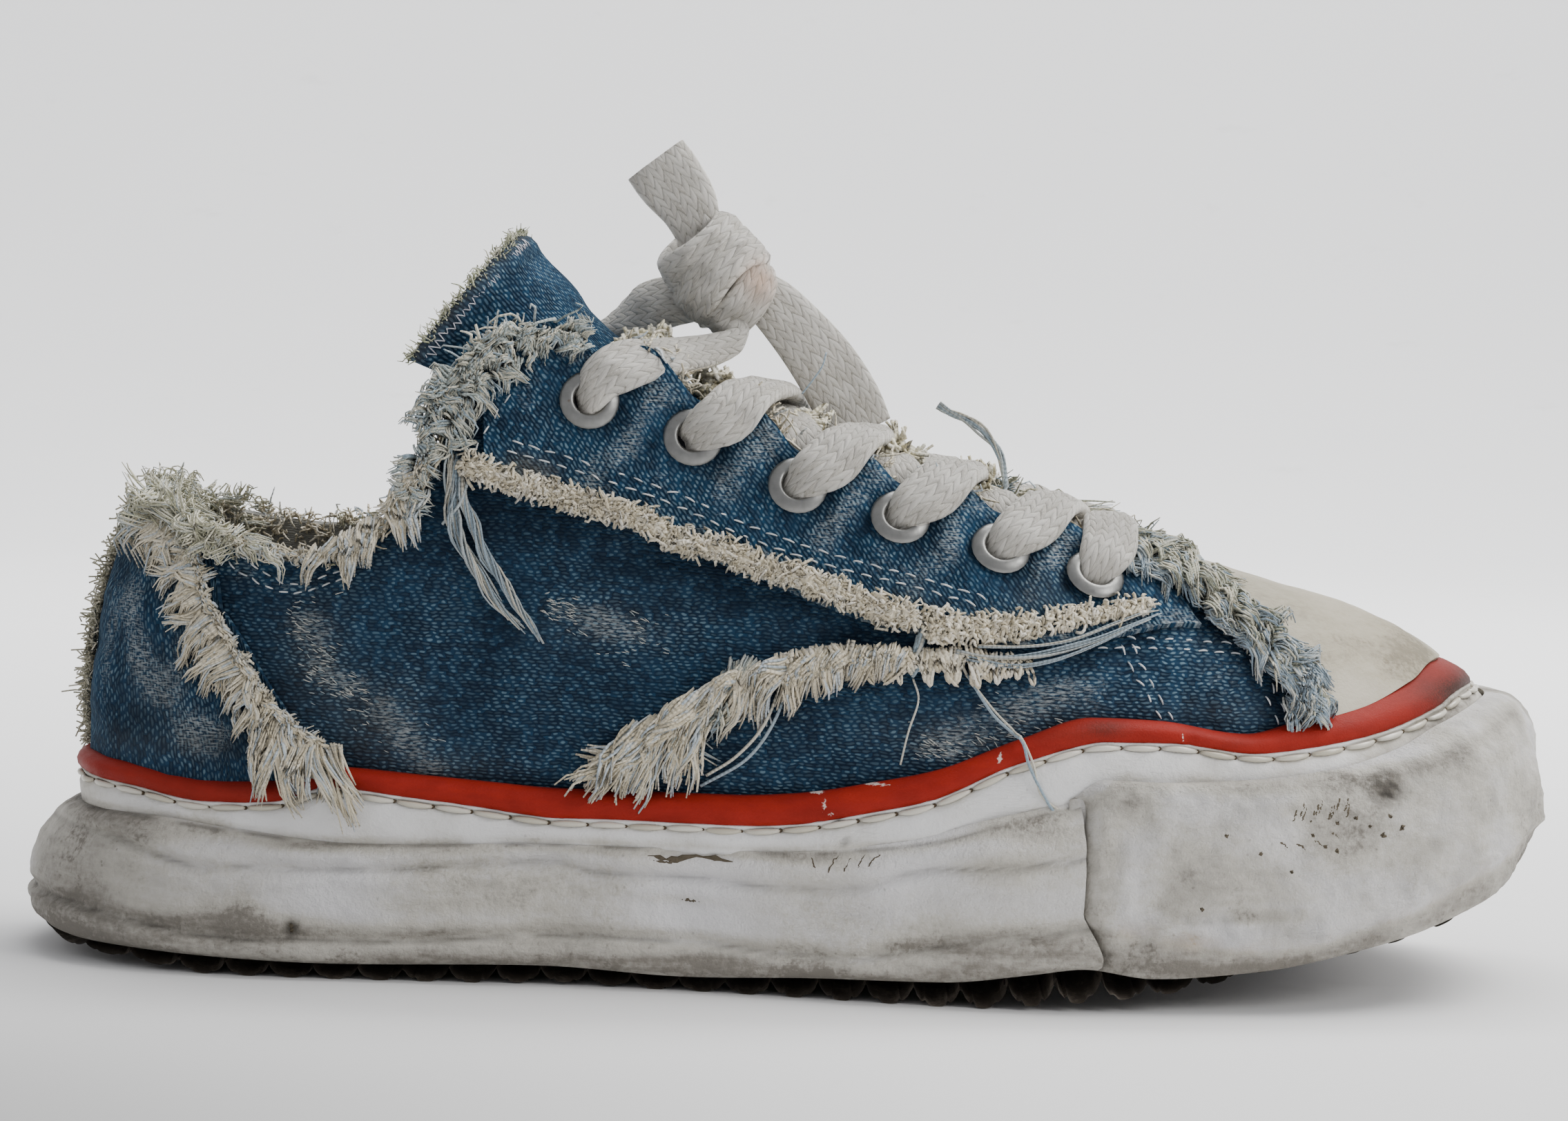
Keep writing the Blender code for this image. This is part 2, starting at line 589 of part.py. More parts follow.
def strand_start(number, side):
    """A lace's first points, from above an eyelet to over the facing's edge, and the ways they face."""
    start, out = eyelet_pose(number, side)
    lift = EYELET_SEAT + STRAND_LIFT + LACE_THICKNESS / 2
    edge = topline_at(start[0] + LACE_REACH, side)
    over = edge + (0, 0, OVERLAY + LACE_THICKNESS / 2 + EDGE_LIFT)
    first = start + out * lift
    return [first, (first + over) / 2 + out * STRAND_BULGE, over], [out, out, (0, side * 0.7, 0.7)]


def crossing_mesh(number):
    """Two strands that cross over the throat, each from an eyelet to under the other facing."""
    meshes = []
    for side in (-1, 1):
        points, faces = strand_start(number, side)
        ahead = EYELETS[number][0]
        middle = (EYELETS[number - 1][0] + ahead + LACE_REACH) / 2
        far = topline_at(ahead - 2.0, -side)
        points.append(np.array([middle, 0.0, tongue_crest(middle) + LACE_LIFT]))
        points.append(far * (1, 0.7, 1) + (0, 0, -1.0))
        faces += [(0, 0, 1), (0, 0, 1)]
        meshes.append(strap_mesh(f"strand_{number}_{side}", points, faces, 7))
    return meshes


def strap_mesh(name, points, faces, count):
    rows = smooth_rows(np.hstack([points, faces]), count)
    return mesh_from(name, bar(strap_rings(rows[:, :3], rows[:, 3:], LACE_WIDTH, LACE_THICKNESS)))


def free_strap(name, points, faces, count, collection, root):
    new_object(name, strap_mesh(name, points, faces, count), "lace", collection, root)


# The shoe -------------------------------------------------------------------------------

def cut(obj, cutter):
    hole = obj.modifiers.new("eyelet_holes", "BOOLEAN")
    hole.operation = "DIFFERENCE"
    hole.object = cutter


def build_soles(shoe, root):
    around = columns()
    x = closed_spline(SOLE_RING, around)[:, 0]
    behind = before_groove(around)
    new_object("outsole", outsole_mesh(), "brown_rubber", shoe, root)
    midsole = mesh_from("midsole", body_between(midsole_rings(around)))
    new_object("midsole", midsole, "white_rubber", shoe, root)

    front = around[(around > GROOVE[2] - 1e-6) & (around < ROUND - GROOVE[2] + 1e-6)]
    bumper = mesh_from("toe_bumper", bar(bumper_rings(front)))
    new_object("toe_bumper", bumper, "white_rubber", shoe, root)

    low = level("lip", x) + np.where(behind, GAP, -WELT_TUCK)
    high = level("stripe_low", last_x(around)) - GAP
    welt = [round_upper(around, low + share * (high - low), out) for share, out in WELT_SECTION]
    new_object("welt", mesh_from("welt", hoop(welt)), "white_rubber", shoe, root)

    low = level("stripe_low", last_x(around))
    high = level("stripe_high", last_x(around))
    stripe = [round_upper(around, low + share * (high - low), out) for share, out in STRIPE_SECTION]
    new_object("foxing_stripe", mesh_from("foxing_stripe", hoop(stripe)), "red_rubber", shoe, root)

    bed = level("bed", last_x(around))
    insole = [round_upper(around, bed + rise, out) for rise, out in INSOLE_SECTION]
    new_object("insole", mesh_from("insole", body_between(insole)), "lining", shoe, root)


def build_upper(shoe, root, holes):
    around = columns(1)
    rings = [upper_point(around, np.full(len(around), share)) for share in np.linspace(0, 1, 9)]
    mesh = open_sheet_mesh("upper", rings, wrap_columns=True)
    upper = new_object("upper", mesh, "denim", shoe, root)
    thicken(upper, WALL, -1)
    cut(upper, holes)

    toe = columns_between(TIP - CAP_REACH, TIP + CAP_REACH)
    low = share_at_height(toe, level("stripe_high", last_x(toe)) + GAP)
    high = share_at_line(toe, *CAP_LINE, ahead=True)
    cap = open_sheet_mesh("toe_cap", panel_rings(toe, low, high, 8))
    thicken(new_object("toe_cap", cap, "ivory_rubber", shoe, root), OVERLAY, 1)

    heel = columns_between(-COUNTER_REACH, COUNTER_REACH)
    low = share_at_height(heel, level("stripe_high", last_x(heel)) + 2 * GAP)
    high = np.minimum(share_at_line(heel, *COUNTER_LINE, ahead=False), COUNTER_TOP)
    counter = open_sheet_mesh("heel_counter", panel_rings(heel, low, high, 6))
    thicken(new_object("heel_counter", counter, "denim", shoe, root), OVERLAY, 1)

    for name, side in (("outer", -1), ("inner", 1)):
        facing = columns_between(*EYESTAY_PLACES)
        facing = facing if side < 0 else ROUND - facing[::-1]
        low = share_at_level(facing, "eyestay_low")
        rings = panel_rings(facing, low, np.full(len(facing), EYESTAY_TOP), 5)
        mesh = open_sheet_mesh(f"eyestay_{name}", rings)
        eyestay = new_object(f"eyestay_{name}", mesh, "denim", shoe, root)
        thicken(eyestay, OVERLAY, 1)
        cut(eyestay, holes)

    tongue = open_sheet_mesh("tongue", tongue_rings())
    thicken(new_object("tongue", tongue, "denim", shoe, root), TONGUE_THICKNESS, -1)


def build_eyelets(shoe, root, cutters):
    """Twelve turned eyelets, and one cutter with the hole for each."""
    holes = bmesh.new()
    for name, side in (("outer", -1), ("inner", 1)):
        for number in range(1, len(EYELETS) + 1):
            middle, out = eyelet_pose(number, side)
            turn = Vector(out).to_track_quat("Z", "Y").to_matrix().to_4x4()
            pose = Matrix.Translation(Vector(place_in_world(middle))) @ turn
            bmesh.ops.create_cone(holes, cap_ends=True, segments=EYELET_SIDES, radius1=EYELET_HOLE * MM,
                                  radius2=EYELET_HOLE * MM, depth=16 * MM, matrix=pose)
            mesh = bpy.data.meshes.new("eyelet")
            seat = [Vector((r * MM, 0, (z + EYELET_SEAT) * MM)) for r, z in EYELET_PROFILE]
            mesh.from_pydata(seat, [(i, (i + 1) % len(seat)) for i in range(len(seat))], [])
            eyelet = new_object(f"eyelet_{name}_{number}", mesh, "eyelet_metal", shoe, root)
            eyelet.matrix_local = pose
            turned = eyelet.modifiers.new("turned", "SCREW")
            turned.steps = turned.render_steps = EYELET_SIDES
            turned.use_merge_vertices = True
            turned.merge_threshold = 0.00001
    mesh = bpy.data.meshes.new("eyelet_holes")
    holes.to_mesh(mesh)
    holes.free()
    cutter = bpy.data.objects.new("eyelet_holes", mesh)
    cutters.objects.link(cutter)
    cutter.hide_render = True
    cutter.display_type = "WIRE"
    return cutter


def build_laces(shoe, root, cutters):
    for number in range(2, len(EYELETS)):
        first, second = crossing_mesh(number)
        crossing = new_object(f"lace_crossing_{number}", first, "lace", shoe, root)
        other = bpy.data.objects.new(f"strand_{number}", second)
        cutters.objects.link(other)
        other.hide_render = True
        other.display_type = "WIRE"
        join = crossing.modifiers.new("other_strand", "BOOLEAN")
        join.operation = "UNION"
        join.object = other

    points, faces = strand_start(len(EYELETS), -1)
    back, back_faces = strand_start(len(EYELETS), 1)
    x = points[-1][0] + 3.0
    middle = np.array([x, 0.0, tongue_crest(x) + LACE_LIFT + 2.0])
    free_strap("lace_bar_6", points + [middle] + back[::-1], faces + [(0, 0, 1)] + back_faces[::-1],
               13, shoe, root)

    points, faces = strand_start(1, -1)
    free_strap("lace_top_outer", points + TOP_OUTER_ROUTE, faces + [(0, -0.4, 0.9)] * len(TOP_OUTER_ROUTE),
               10, shoe, root)
    points, faces = strand_start(1, 1)
    free_strap("lace_top_inner", points + TOP_INNER_ROUTE, faces + [(0, 0.2, 0.9)] * len(TOP_INNER_ROUTE),
               10, shoe, root)
    free_strap("lace_tail", TAIL_ROUTE, [(0, -1, 0)] * len(TAIL_ROUTE), 7, shoe, root)
    free_strap("lace_end", END_ROUTE, [(0, -1, 0)] * len(END_ROUTE), 4, shoe, root)

    work = bmesh.new()
    bmesh.ops.create_uvsphere(work, u_segments=10, v_segments=7, radius=1.0)
    size = Matrix.Diagonal((*(MM * half for half in KNOT_SIZE), 1.0))
    bmesh.ops.transform(work, matrix=size, verts=work.verts[:])
    mesh = bpy.data.meshes.new("lace_knot")
    work.to_mesh(mesh)
    work.free()
    mesh.shade_smooth()
    knot = new_object("lace_knot", mesh, "lace", shoe, root)
    knot.location = place_in_world(KNOT_MIDDLE)


def main():
    for obj in list(bpy.data.objects):
        bpy.data.objects.remove(obj, do_unlink=True)
    shoe = bpy.data.collections.new("worn_sneaker")
    cutters = bpy.data.collections.new("cutters")
    bpy.context.scene.collection.children.link(shoe)
    bpy.context.scene.collection.children.link(cutters)
    root = bpy.data.objects.new("worn_sneaker_root", None)
    shoe.objects.link(root)
    holes = build_eyelets(shoe, root, cutters)
    build_soles(shoe, root)
    build_upper(shoe, root, holes)
    build_laces(shoe, root, cutters)


main()
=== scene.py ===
import math

import bpy
import numpy as np
from mathutils import Matrix


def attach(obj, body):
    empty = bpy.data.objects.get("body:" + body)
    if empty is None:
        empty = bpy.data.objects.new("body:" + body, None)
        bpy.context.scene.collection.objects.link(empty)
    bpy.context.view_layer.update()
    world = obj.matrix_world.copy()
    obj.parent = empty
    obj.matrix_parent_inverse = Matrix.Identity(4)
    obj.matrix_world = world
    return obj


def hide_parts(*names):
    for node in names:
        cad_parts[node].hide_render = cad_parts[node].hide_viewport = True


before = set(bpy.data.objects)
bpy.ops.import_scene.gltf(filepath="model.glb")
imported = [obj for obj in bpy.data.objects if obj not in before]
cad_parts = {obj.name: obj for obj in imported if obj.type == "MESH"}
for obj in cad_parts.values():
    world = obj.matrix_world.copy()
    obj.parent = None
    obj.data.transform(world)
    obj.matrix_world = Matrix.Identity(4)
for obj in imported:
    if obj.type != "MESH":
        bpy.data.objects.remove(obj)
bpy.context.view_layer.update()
print("frame loaded")

# Lengths below are in millimetres, x measured forward from the back of the sole; outer is -y.
mm = 0.001

# x outer inner of the sole, then of the last's foot print, heel to toe
sections = [
    (0, 0, 0, 15.6, 0, 0), (7, 22, 22, 18.5, 16.5, 16.5), (27, 38, 37.5, 34, 28.5, 28.5),
    (54, 43.5, 42.5, 57, 33.5, 33), (74, 43.8, 42.2, 75, 35, 34), (87, 43.5, 41.5, 87, 35.3, 34),
    (99, 43.2, 41.2, 99, 35.8, 33.8), (112, 43.5, 41.2, 111, 36.6, 34.2), (138, 46.5, 44, 136, 40, 37),
    (170, 53, 51, 166, 45, 43.5), (203, 57, 56, 198, 48, 47.5), (238, 53.5, 55.5, 231, 44, 47),
    (272, 42.5, 52, 261.5, 35, 43.5), (293.5, 22, 39, 280.8, 17, 32.5), (303, -9, 9, 287.8, -8, 8)]
# x outer inner height innerHeight footLean footReach edgeLean edgeReach
topline = [
    (21.5, 0, 0, 90, 90, 13, 26, 22, 26), (24, 12.5, 12.5, 88.5, 89, 12, 26, 18, 24),
    (32, 22, 22, 84, 86, 9, 24, 8, 20), (53, 31, 31, 77.8, 82.5, 9, 22, 4, 20),
    (72, 34, 33.5, 84, 88, 9, 24, 5, 24), (81.5, 33, 32.5, 101, 103, 8, 28, 8, 28),
    (88.5, 30, 29.5, 118, 118, 8, 34, 12, 34), (103, 26.5, 26, 124, 124, 8, 36, 16, 36),
    (137, 25.5, 25, 110.5, 110.5, 6, 34, 22, 36), (168, 25, 24.5, 98.5, 98.5, 4, 32, 38, 30),
    (198, 22.5, 22.5, 89.5, 89.5, 3, 28, 52, 28), (214, 16.5, 17, 85, 85, 2, 30, 62, 30),
    (219.5, 9.5, 10, 83.3, 83.3, 2, 33, 68, 34), (221.5, 4.5, 5, 82.6, 82.6, 3, 35, 71, 37),
    (222, 0, 0, 82.5, 82.5, 4, 36, 72, 37)]
levels = {
    "foot": ((0, 8.5), (5, 5.6), (12, 4.3), (24, 4.0), (40, 3.5), (60, 3.1), (105, 3.9), (130, 3.0),
             (157, 4.2), (181, 4.9), (197, 7.0), (207, 8.3), (220, 6.7), (241, 8.1), (262, 12.0), (276, 15.6),
             (288, 19.5), (303, 27)),
    "lip": ((0, 29), (24, 28.8), (43, 27.2), (66, 25.5), (82, 25.8), (100, 26.6), (130, 26.9), (150, 27.2),
            (176, 30.4), (191, 35), (206, 39), (213, 43), (225, 42.7), (246, 43.4), (263, 45.3), (277, 48.9),
            (287, 53), (303, 57)),
    "bed": ((0, 24), (60, 23), (130, 21.5), (190, 19.5), (230, 20.5), (262, 26), (303, 38)),
    "eyestayLow": ((84, 98), (100, 92.5), (115, 87), (142, 77.5), (170, 68.5), (198, 66), (223, 70)),
    "stripeLow": ((12, 35.4), (26, 34.1), (40, 32), (53, 32.7), (64, 35.9), (81, 34.2), (92, 33.1),
                  (108, 31.6),
                  (140, 31.7), (151, 32.4), (167, 35.6), (177, 38.2), (192, 45.3), (209, 49.8), (221, 49.8),
                  (241, 48), (251, 49), (266, 51.9), (278, 56), (286, 59)),
    "stripeHigh": ((12, 39.4), (26, 38), (40, 35.9), (53, 36.6), (64, 39.7), (81, 38.7), (92, 37.9),
                   (108, 37),
                   (140, 37.2), (151, 38), (167, 41), (177, 43.4), (192, 49.6), (206, 54), (221, 53.6),
                   (241, 51.4), (251, 53.3), (266, 56.4), (278, 60.6), (286, 63.6)),
}
tip = len(sections) - 1
around = 2 * tip


# Curves


def unit(vectors):
    return vectors / np.maximum(np.linalg.norm(vectors, axis=-1, keepdims=True), 1e-9)


def bell(distance, width=1.0):
    # exp(-(distance / width)^2)
    return np.exp(-((distance / width) ** 2))


def runAlong(points):
    # length of a line, or of several side by side, up to each of its points
    steps = np.linalg.norm(np.diff(points, axis=0, prepend=points[:1]), axis=-1)
    return np.cumsum(steps, axis=0)


def ringOf(rows, x, outer, inner, others=()):
    # one row for each section: out along the outer side, back along the inner
    there = [[row[x], -row[outer]] + [row[column] for column, _ in others] for row in rows]
    back = [[row[x], row[inner]] + [row[column] for _, column in others] for row in rows[-2:0:-1]]
    return np.array(there + back, float)


soleRing = ringOf(sections, 0, 1, 2)
lastRing = ringOf(sections, 3, 4, 5)
topRing = ringOf(topline, 0, 1, 2, [(3, 4)])
leanRing = ringOf(topline, 0, 1, 2, [(5, 5), (6, 6), (7, 7), (8, 8)])[:, 2:]
knots = runAlong(np.vstack([soleRing, soleRing[:1]]))


def closedSpline(values, place):
    # periodic cubic spline through one value a section, its second slopes from one linear solve
    gap = np.diff(knots)[:, None]
    before = np.roll(gap, 1, 0)
    slope = (np.roll(values, -1, 0) - values) / gap
    index = np.arange(around)
    bend = np.zeros((around, around))
    bend[index, index] = 2 * (gap + before)[:, 0]
    bend[index, index - 1] = before[:, 0]
    bend[index, (index + 1) % around] = gap[:, 0]
    second = np.linalg.solve(bend, 6 * (slope - np.roll(slope, 1, 0)))
    place = np.asarray(place, float) % around
    k = np.floor(place).astype(int) % around
    after = (k + 1) % around
    share = (place - np.floor(place))[..., None]
    rest = 1 - share
    cubic = (share**3 - share) * second[after] + (rest**3 - rest) * second[k]
    return rest * values[k] + share * values[after] + cubic * gap[k] ** 2 / 6


def level(name, x):
    # monotone Hermite curve through a height table, flat past its ends
    at, height = np.array(levels[name] if isinstance(name, str) else name, float).T
    run, rise = np.diff(at), np.diff(height)
    slope = rise / run
    sameWay = slope[1:] * slope[:-1] > 0
    mean = np.zeros(len(at))
    mean[1:-1] = np.where(sameWay, 2 * slope[1:] * slope[:-1] / np.where(sameWay, slope[1:] + slope[:-1], 1),
                          0)
    x = np.clip(x, at[0], at[-1])
    k = np.clip(np.searchsorted(at, x, side="right") - 1, 0, len(run) - 1)
    t = (x - at[k]) / run[k]
    hermite = t * (1 - t) * ((1 - t) * (mean[k] - slope[k]) - t * (mean[k + 1] - slope[k])) * run[k]
    return height[k] + t * rise[k] + hermite


def outward(ring, place):
    # level unit vector square to a closed curve, pointing out
    along = closedSpline(ring, np.asarray(place) + 0.01) - closedSpline(ring, np.asarray(place) - 0.01)
    return unit(np.stack([along[..., 1], -along[..., 0]], -1))


def upperPoint(place, share):
    # cubic Bezier from the foot print (share 0) to the topline (1), its handles leaning by the tables' angles
    place, share = np.broadcast_arrays(np.asarray(place, float), np.asarray(share, float))
    foot = closedSpline(lastRing, place)
    foot = np.concatenate([foot, level("bed", foot[..., 0])[..., None] + 0.64], -1)
    edge = closedSpline(topRing, place)
    footLean, footReach, edgeLean, edgeReach = np.moveaxis(closedSpline(leanRing, place), -1, 0)
    out = np.moveaxis(outward(lastRing, place), -1, 0)
    footLean, edgeLean = np.radians(footLean), np.radians(edgeLean)
    rise = np.stack([*out * np.sin(footLean), np.cos(footLean)], -1)
    fall = np.stack([*out * np.sin(edgeLean), -np.cos(edgeLean)], -1)
    low = foot + rise * footReach[..., None]
    high = edge + fall * edgeReach[..., None]
    s = share[..., None]
    r = 1 - s
    return r**3 * foot + 3 * r * r * s * low + 3 * r * s * s * high + s**3 * edge


def upperNormal(place, share):
    # cross product of the surface's two slopes
    step = 0.004
    along = upperPoint(place + step, share) - upperPoint(place - step, share)
    up = upperPoint(place, share + step) - upperPoint(place, share - step)
    return unit(np.cross(along, up))


columnShares = np.linspace(0, 1, 161)
columnPlaces = np.linspace(0, around, 1401)
columnHeights = upperPoint(columnPlaces[None, :], columnShares[:, None])[..., 2]
columnHeights = np.maximum.accumulate(columnHeights, 0)


def shareAtHeight(place, height):
    # where each column of the upper reaches a height, from the table of columns
    at = np.asarray(place, float) % around / around * 1400
    k = np.minimum(at.astype(int), 1399)
    t = at - k
    columns = columnHeights[:, k] * (1 - t) + columnHeights[:, k + 1] * t
    above = np.clip((columns < height).sum(0), 1, 160)
    spots = np.arange(len(at))
    low, high = columns[above - 1, spots], columns[above, spots]
    return (above - 1 + np.clip((height - low) / np.maximum(high - low, 1e-6), 0, 1)) / 160


def roundUpper(place, height, out):
    # ring round the upper at a height, pushed out level
    height = np.broadcast_to(height, np.shape(place))
    point = upperPoint(place, shareAtHeight(place, height))
    return np.column_stack([point[:, :2] + outward(lastRing, place) * np.reshape(out, (-1, 1)), height])


def lastX(place):
    return closedSpline(lastRing, place)[..., 0]


def smoothRows(rows, count):
    # Catmull-Rom through rows of numbers, evenly spread over their total length
    rows = np.array(rows, float)
    padded = np.vstack([2 * rows[0] - rows[1], rows, 2 * rows[-1] - rows[-2]])
    run = runAlong(rows[:, :3])
    at = np.interp(np.linspace(0, run[-1], count), run, np.arange(len(rows)))
    k = np.minimum(at.astype(int), len(rows) - 2)
    t = (at - k)[:, None]
    a, b, c, d = (padded[k + i] for i in range(4))
    return 0.5 * (2 * b + (c - a) * t + (2 * a - 5 * b + 4 * c - d) * t**2 + (3 * b - a - 3 * c + d) * t**3)


def toPlace(x, z, side=-1):
    # place and share of the point that shows at x, z from one side: nearest of a grid, then Newton steps
    x, z = np.atleast_1d(x), np.atleast_1d(z)
    places, shares = np.meshgrid(np.linspace(0.15, 13.6, 170), np.linspace(0.05, 1, 96))
    places = places if side < 0 else around - places
    points = upperPoint(places, shares)
    nearest = ((points[..., 0].ravel() - x[:, None]) ** 2
               + (points[..., 2].ravel() - z[:, None]) ** 2).argmin(1)
    place, share = places.ravel()[nearest], shares.ravel()[nearest]
    for _ in range(4):
        here = sideView(upperPoint(place, share))
        byPlace = (sideView(upperPoint(place + 0.01, share)) - here) / 0.01
        byShare = (sideView(upperPoint(place, share + 0.004)) - here) / 0.004
        miss = np.column_stack([x, z]) - here
        turn = byPlace[:, 0] * byShare[:, 1] - byPlace[:, 1] * byShare[:, 0]
        turn = np.where(abs(turn) < 8, np.sign(turn + 1e-9) * 8, turn)
        place = place + np.clip((miss[:, 0] * byShare[:, 1] - miss[:, 1] * byShare[:, 0]) / turn, -0.15, 0.15)
        share = share + np.clip((byPlace[:, 0] * miss[:, 1] - byPlace[:, 1] * miss[:, 0]) / turn, -0.06, 0.06)
        share = np.clip(share, 0.02, 1)
    return place, share


def waves(points, size, seed, count=7):
    # sum of sine waves that run in random directions, about -1 to 1
    dice = np.random.default_rng(seed)
    ways = unit(dice.normal(size=(count, 3))) * dice.uniform(0.7, 1.6, (count, 1)) / size * 2 * math.pi
    phases = dice.uniform(0, 2 * math.pi, count)
    return np.sin(points @ ways.T + phases).sum(-1) / math.sqrt(count)


def bumpBetween(value, low, high):
    # smooth step from 0 at low to 1 at high
    t = np.clip((value - low) / (high - low), 0, 1)
    return t * t * (3 - 2 * t)


def sideView(points):
    return points[..., [0, 2]]


def lineAt(line, x):
    # height of a line of x, height
    return np.interp(x, *np.array(line).T)


def picked(values, at, run=None):
    # rows of values between the numbered rows, or at lengths along them
    run = np.arange(len(values)) if run is None else run
    return np.stack([np.interp(at, run, column) for column in values.T], -1)


def blobs(seen, spots):
    # sum of bells by x, height, half length, half height, strength
    return sum(strength * np.exp(-(((seen - (x, z)) / (long, tall)) ** 2).sum(-1))
               for x, z, long, tall, strength in spots)


def nearLine(points, line, width):
    # bell curve of the distance to a line of points, fading at the line's ends
    line = np.asarray(line, float)
    best = np.full(points.shape[:-1], 1e9)
    for a, b in zip(line[:-1], line[1:]):
        run = b - a
        t = np.clip(((points - a) @ run) / (run @ run), 0, 1)
        best = np.minimum(best, ((points - a - t[..., None] * run) ** 2).sum(-1))
    return np.exp(-best / width**2)


# Meshes

densePlaces = np.linspace(0, around, 1401)
middle = (closedSpline(soleRing, densePlaces).min(0) + closedSpline(soleRing, densePlaces).max(0)) / 2


def inWorld(points):
    points = np.array(points, float)
    points[..., :2] -= middle
    return points * mm


def gridQuads(rows, columns, closeRows=False, closeColumns=False):
    # corner numbers of the quads between neighbouring rows and columns of points
    i, j = np.meshgrid(np.arange(rows if closeRows else rows - 1),
                       np.arange(columns if closeColumns else columns - 1), indexing="ij")
    after, right = (i + 1) % rows, (j + 1) % columns
    return np.stack([i * columns + j, i * columns + right, after * columns + right, after * columns + j],
                    -1).reshape(-1, 4)


def capQuads(ring):
    # strips across an even ring of corner numbers
    half = len(ring) // 2 - 1
    j = np.arange(half)
    return np.stack([ring[j], ring[j + 1], ring[len(ring) - 2 - j], ring[len(ring) - 1 - j]], -1)


def closedTube(rings, sides):
    # rings one after another, facing out, with both ends capped
    ring = np.arange(sides)
    quads = gridQuads(rings, sides, closeColumns=True)[:, ::-1]
    return np.vstack([quads, capQuads(ring), capQuads(ring[::-1] + (rings - 1) * sides)])


def closedHull(rings, sides):
    # the same for rings that turn the other way about the line they follow
    return closedTube(rings, sides)[:, ::-1]


def addPiece(name, points, quads, finish, uvs=None, marks=None, replaced=(), sharp=50,
             triangles=()):
    # one mesh from whole arrays; uvs and marks hold a value for each point
    points = np.reshape(points, (-1, 3))
    quads, triangles = np.asarray(quads, np.int32), np.asarray(triangles, np.int32)
    corners = np.concatenate([quads.ravel(), triangles.ravel()])
    starts = np.concatenate([np.arange(len(quads)) * 4, np.arange(len(triangles)) * 3 + quads.size])
    mesh = bpy.data.meshes.new(name)
    mesh.vertices.add(len(points))
    mesh.vertices.foreach_set("co", inWorld(points).astype(np.float32).ravel())
    mesh.loops.add(len(corners))
    mesh.loops.foreach_set("vertex_index", corners)
    mesh.polygons.add(len(starts))
    mesh.polygons.foreach_set("loop_start", starts.astype(np.int32))
    mesh.update(calc_edges=True)
    if uvs is not None:
        layer = mesh.uv_layers.new(name="cloth")
        layer.data.foreach_set("uv", np.reshape(uvs, (-1, 2)).astype(np.float32)[corners].ravel())
    for mark, values in (marks or {}).items():
        mesh.attributes.new(mark, "FLOAT", "POINT").data.foreach_set("value",
                                                                     values.astype(np.float32).ravel())
    mesh.shade_smooth()
    if sharp:
        mesh.set_sharp_from_angle(angle=math.radians(sharp))
    mesh.materials.append(finish)
    piece = bpy.data.objects.new(name, mesh)
    bpy.context.scene.collection.objects.link(piece)
    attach(piece, "root")
    if replaced:
        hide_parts(*replaced)
    return piece


def tubePoints(paths, radius, sides=4, flat=1.0, up=(0, 0.3, 1)):
    # rings of points round each path: paths is strands x steps x 3, radius strands x steps
    along = unit(np.gradient(paths, axis=1))
    across = unit(np.cross(along, np.broadcast_to(np.asarray(up, float), along.shape) + 0.01))
    above = np.cross(across, along)
    turn = np.linspace(0, 2 * math.pi, sides, endpoint=False)
    reach = np.broadcast_to(radius, paths.shape[:2])[..., None, None]
    return (paths[:, :, None] + reach * np.cos(turn)[:, None] * across[:, :, None]
            + reach * flat * np.sin(turn)[:, None] * above[:, :, None])


def addStrands(name, paths, radius, finish, shades=None, sides=4, flat=1.0, up=(0, 0.3, 1)):
    # many thin closed tubes in one mesh; each point's uv is its distance along and its strand's shade
    paths = np.asarray(paths, float)
    strands, steps = paths.shape[:2]
    points = tubePoints(paths, radius, sides, flat, up)
    starts = np.arange(strands)[:, None, None] * steps * sides
    ends = np.array([[0, 1, 2], np.array([2, 1, 0]) + (steps - 1) * 3])
    triangles = (ends + starts).reshape(-1, 3) if sides == 3 else ()
    one = gridQuads(steps, sides, closeColumns=True)[:, ::-1] if sides == 3 else closedTube(steps, sides)
    quads = (one + starts).reshape(-1, 4)
    if shades is None:
        shades = np.random.default_rng(len(name)).uniform(0, 1, strands)
    run = runAlong(np.swapaxes(paths, 0, 1)).T
    uvs = np.stack([np.repeat(run[..., None], sides, 2),
                    np.broadcast_to(np.asarray(shades)[:, None, None], (strands, steps, sides))], -1)
    return addPiece(name, points, quads, finish, uvs, sharp=0, triangles=triangles)


# Shader helpers


class Wire:
    # a shader value; sums and products of it add Math nodes to its own tree
    def __init__(self, socket):
        self.socket, self.tree = socket, socket.id_data

    def maths(self, operation, *others, clamp=False):
        values = dict(enumerate([self, *others]))
        return addNode(self.tree, "Math", values, operation=operation, use_clamp=clamp)[0]

    def __add__(self, other):
        return self.maths("ADD", other)

    def __sub__(self, other):
        return self.maths("SUBTRACT", other)

    def __mul__(self, other):
        return self.maths("MULTIPLY", other)

    def __truediv__(self, other):
        return self.maths("DIVIDE", other)

    def to(self, socket):
        self.tree.links.new(self.socket, socket)


def addNode(tree, kind, inputs=None, **settings):
    # returns the outputs, by number or by name
    node = tree.nodes.new("ShaderNode" + kind)
    for name, value in settings.items():
        setattr(node, name, value)
    for key, value in (inputs or {}).items():
        if isinstance(value, Wire):
            value.to(node.inputs[key])
        else:
            node.inputs[key].default_value = value
    spot = len(tree.nodes)
    node.location = (spot // 5 * 220, -(spot % 5) * 190)
    return {key: Wire(socket) for number, socket in enumerate(node.outputs) for key in (number, socket.name)}


def smoothMask(value, low, high):
    # 0 below low, 1 above high, or the other way round when low is the larger
    return addNode(value.tree, "MapRange", {0: value, 1: low, 2: high}, interpolation_type="SMOOTHSTEP")[0]


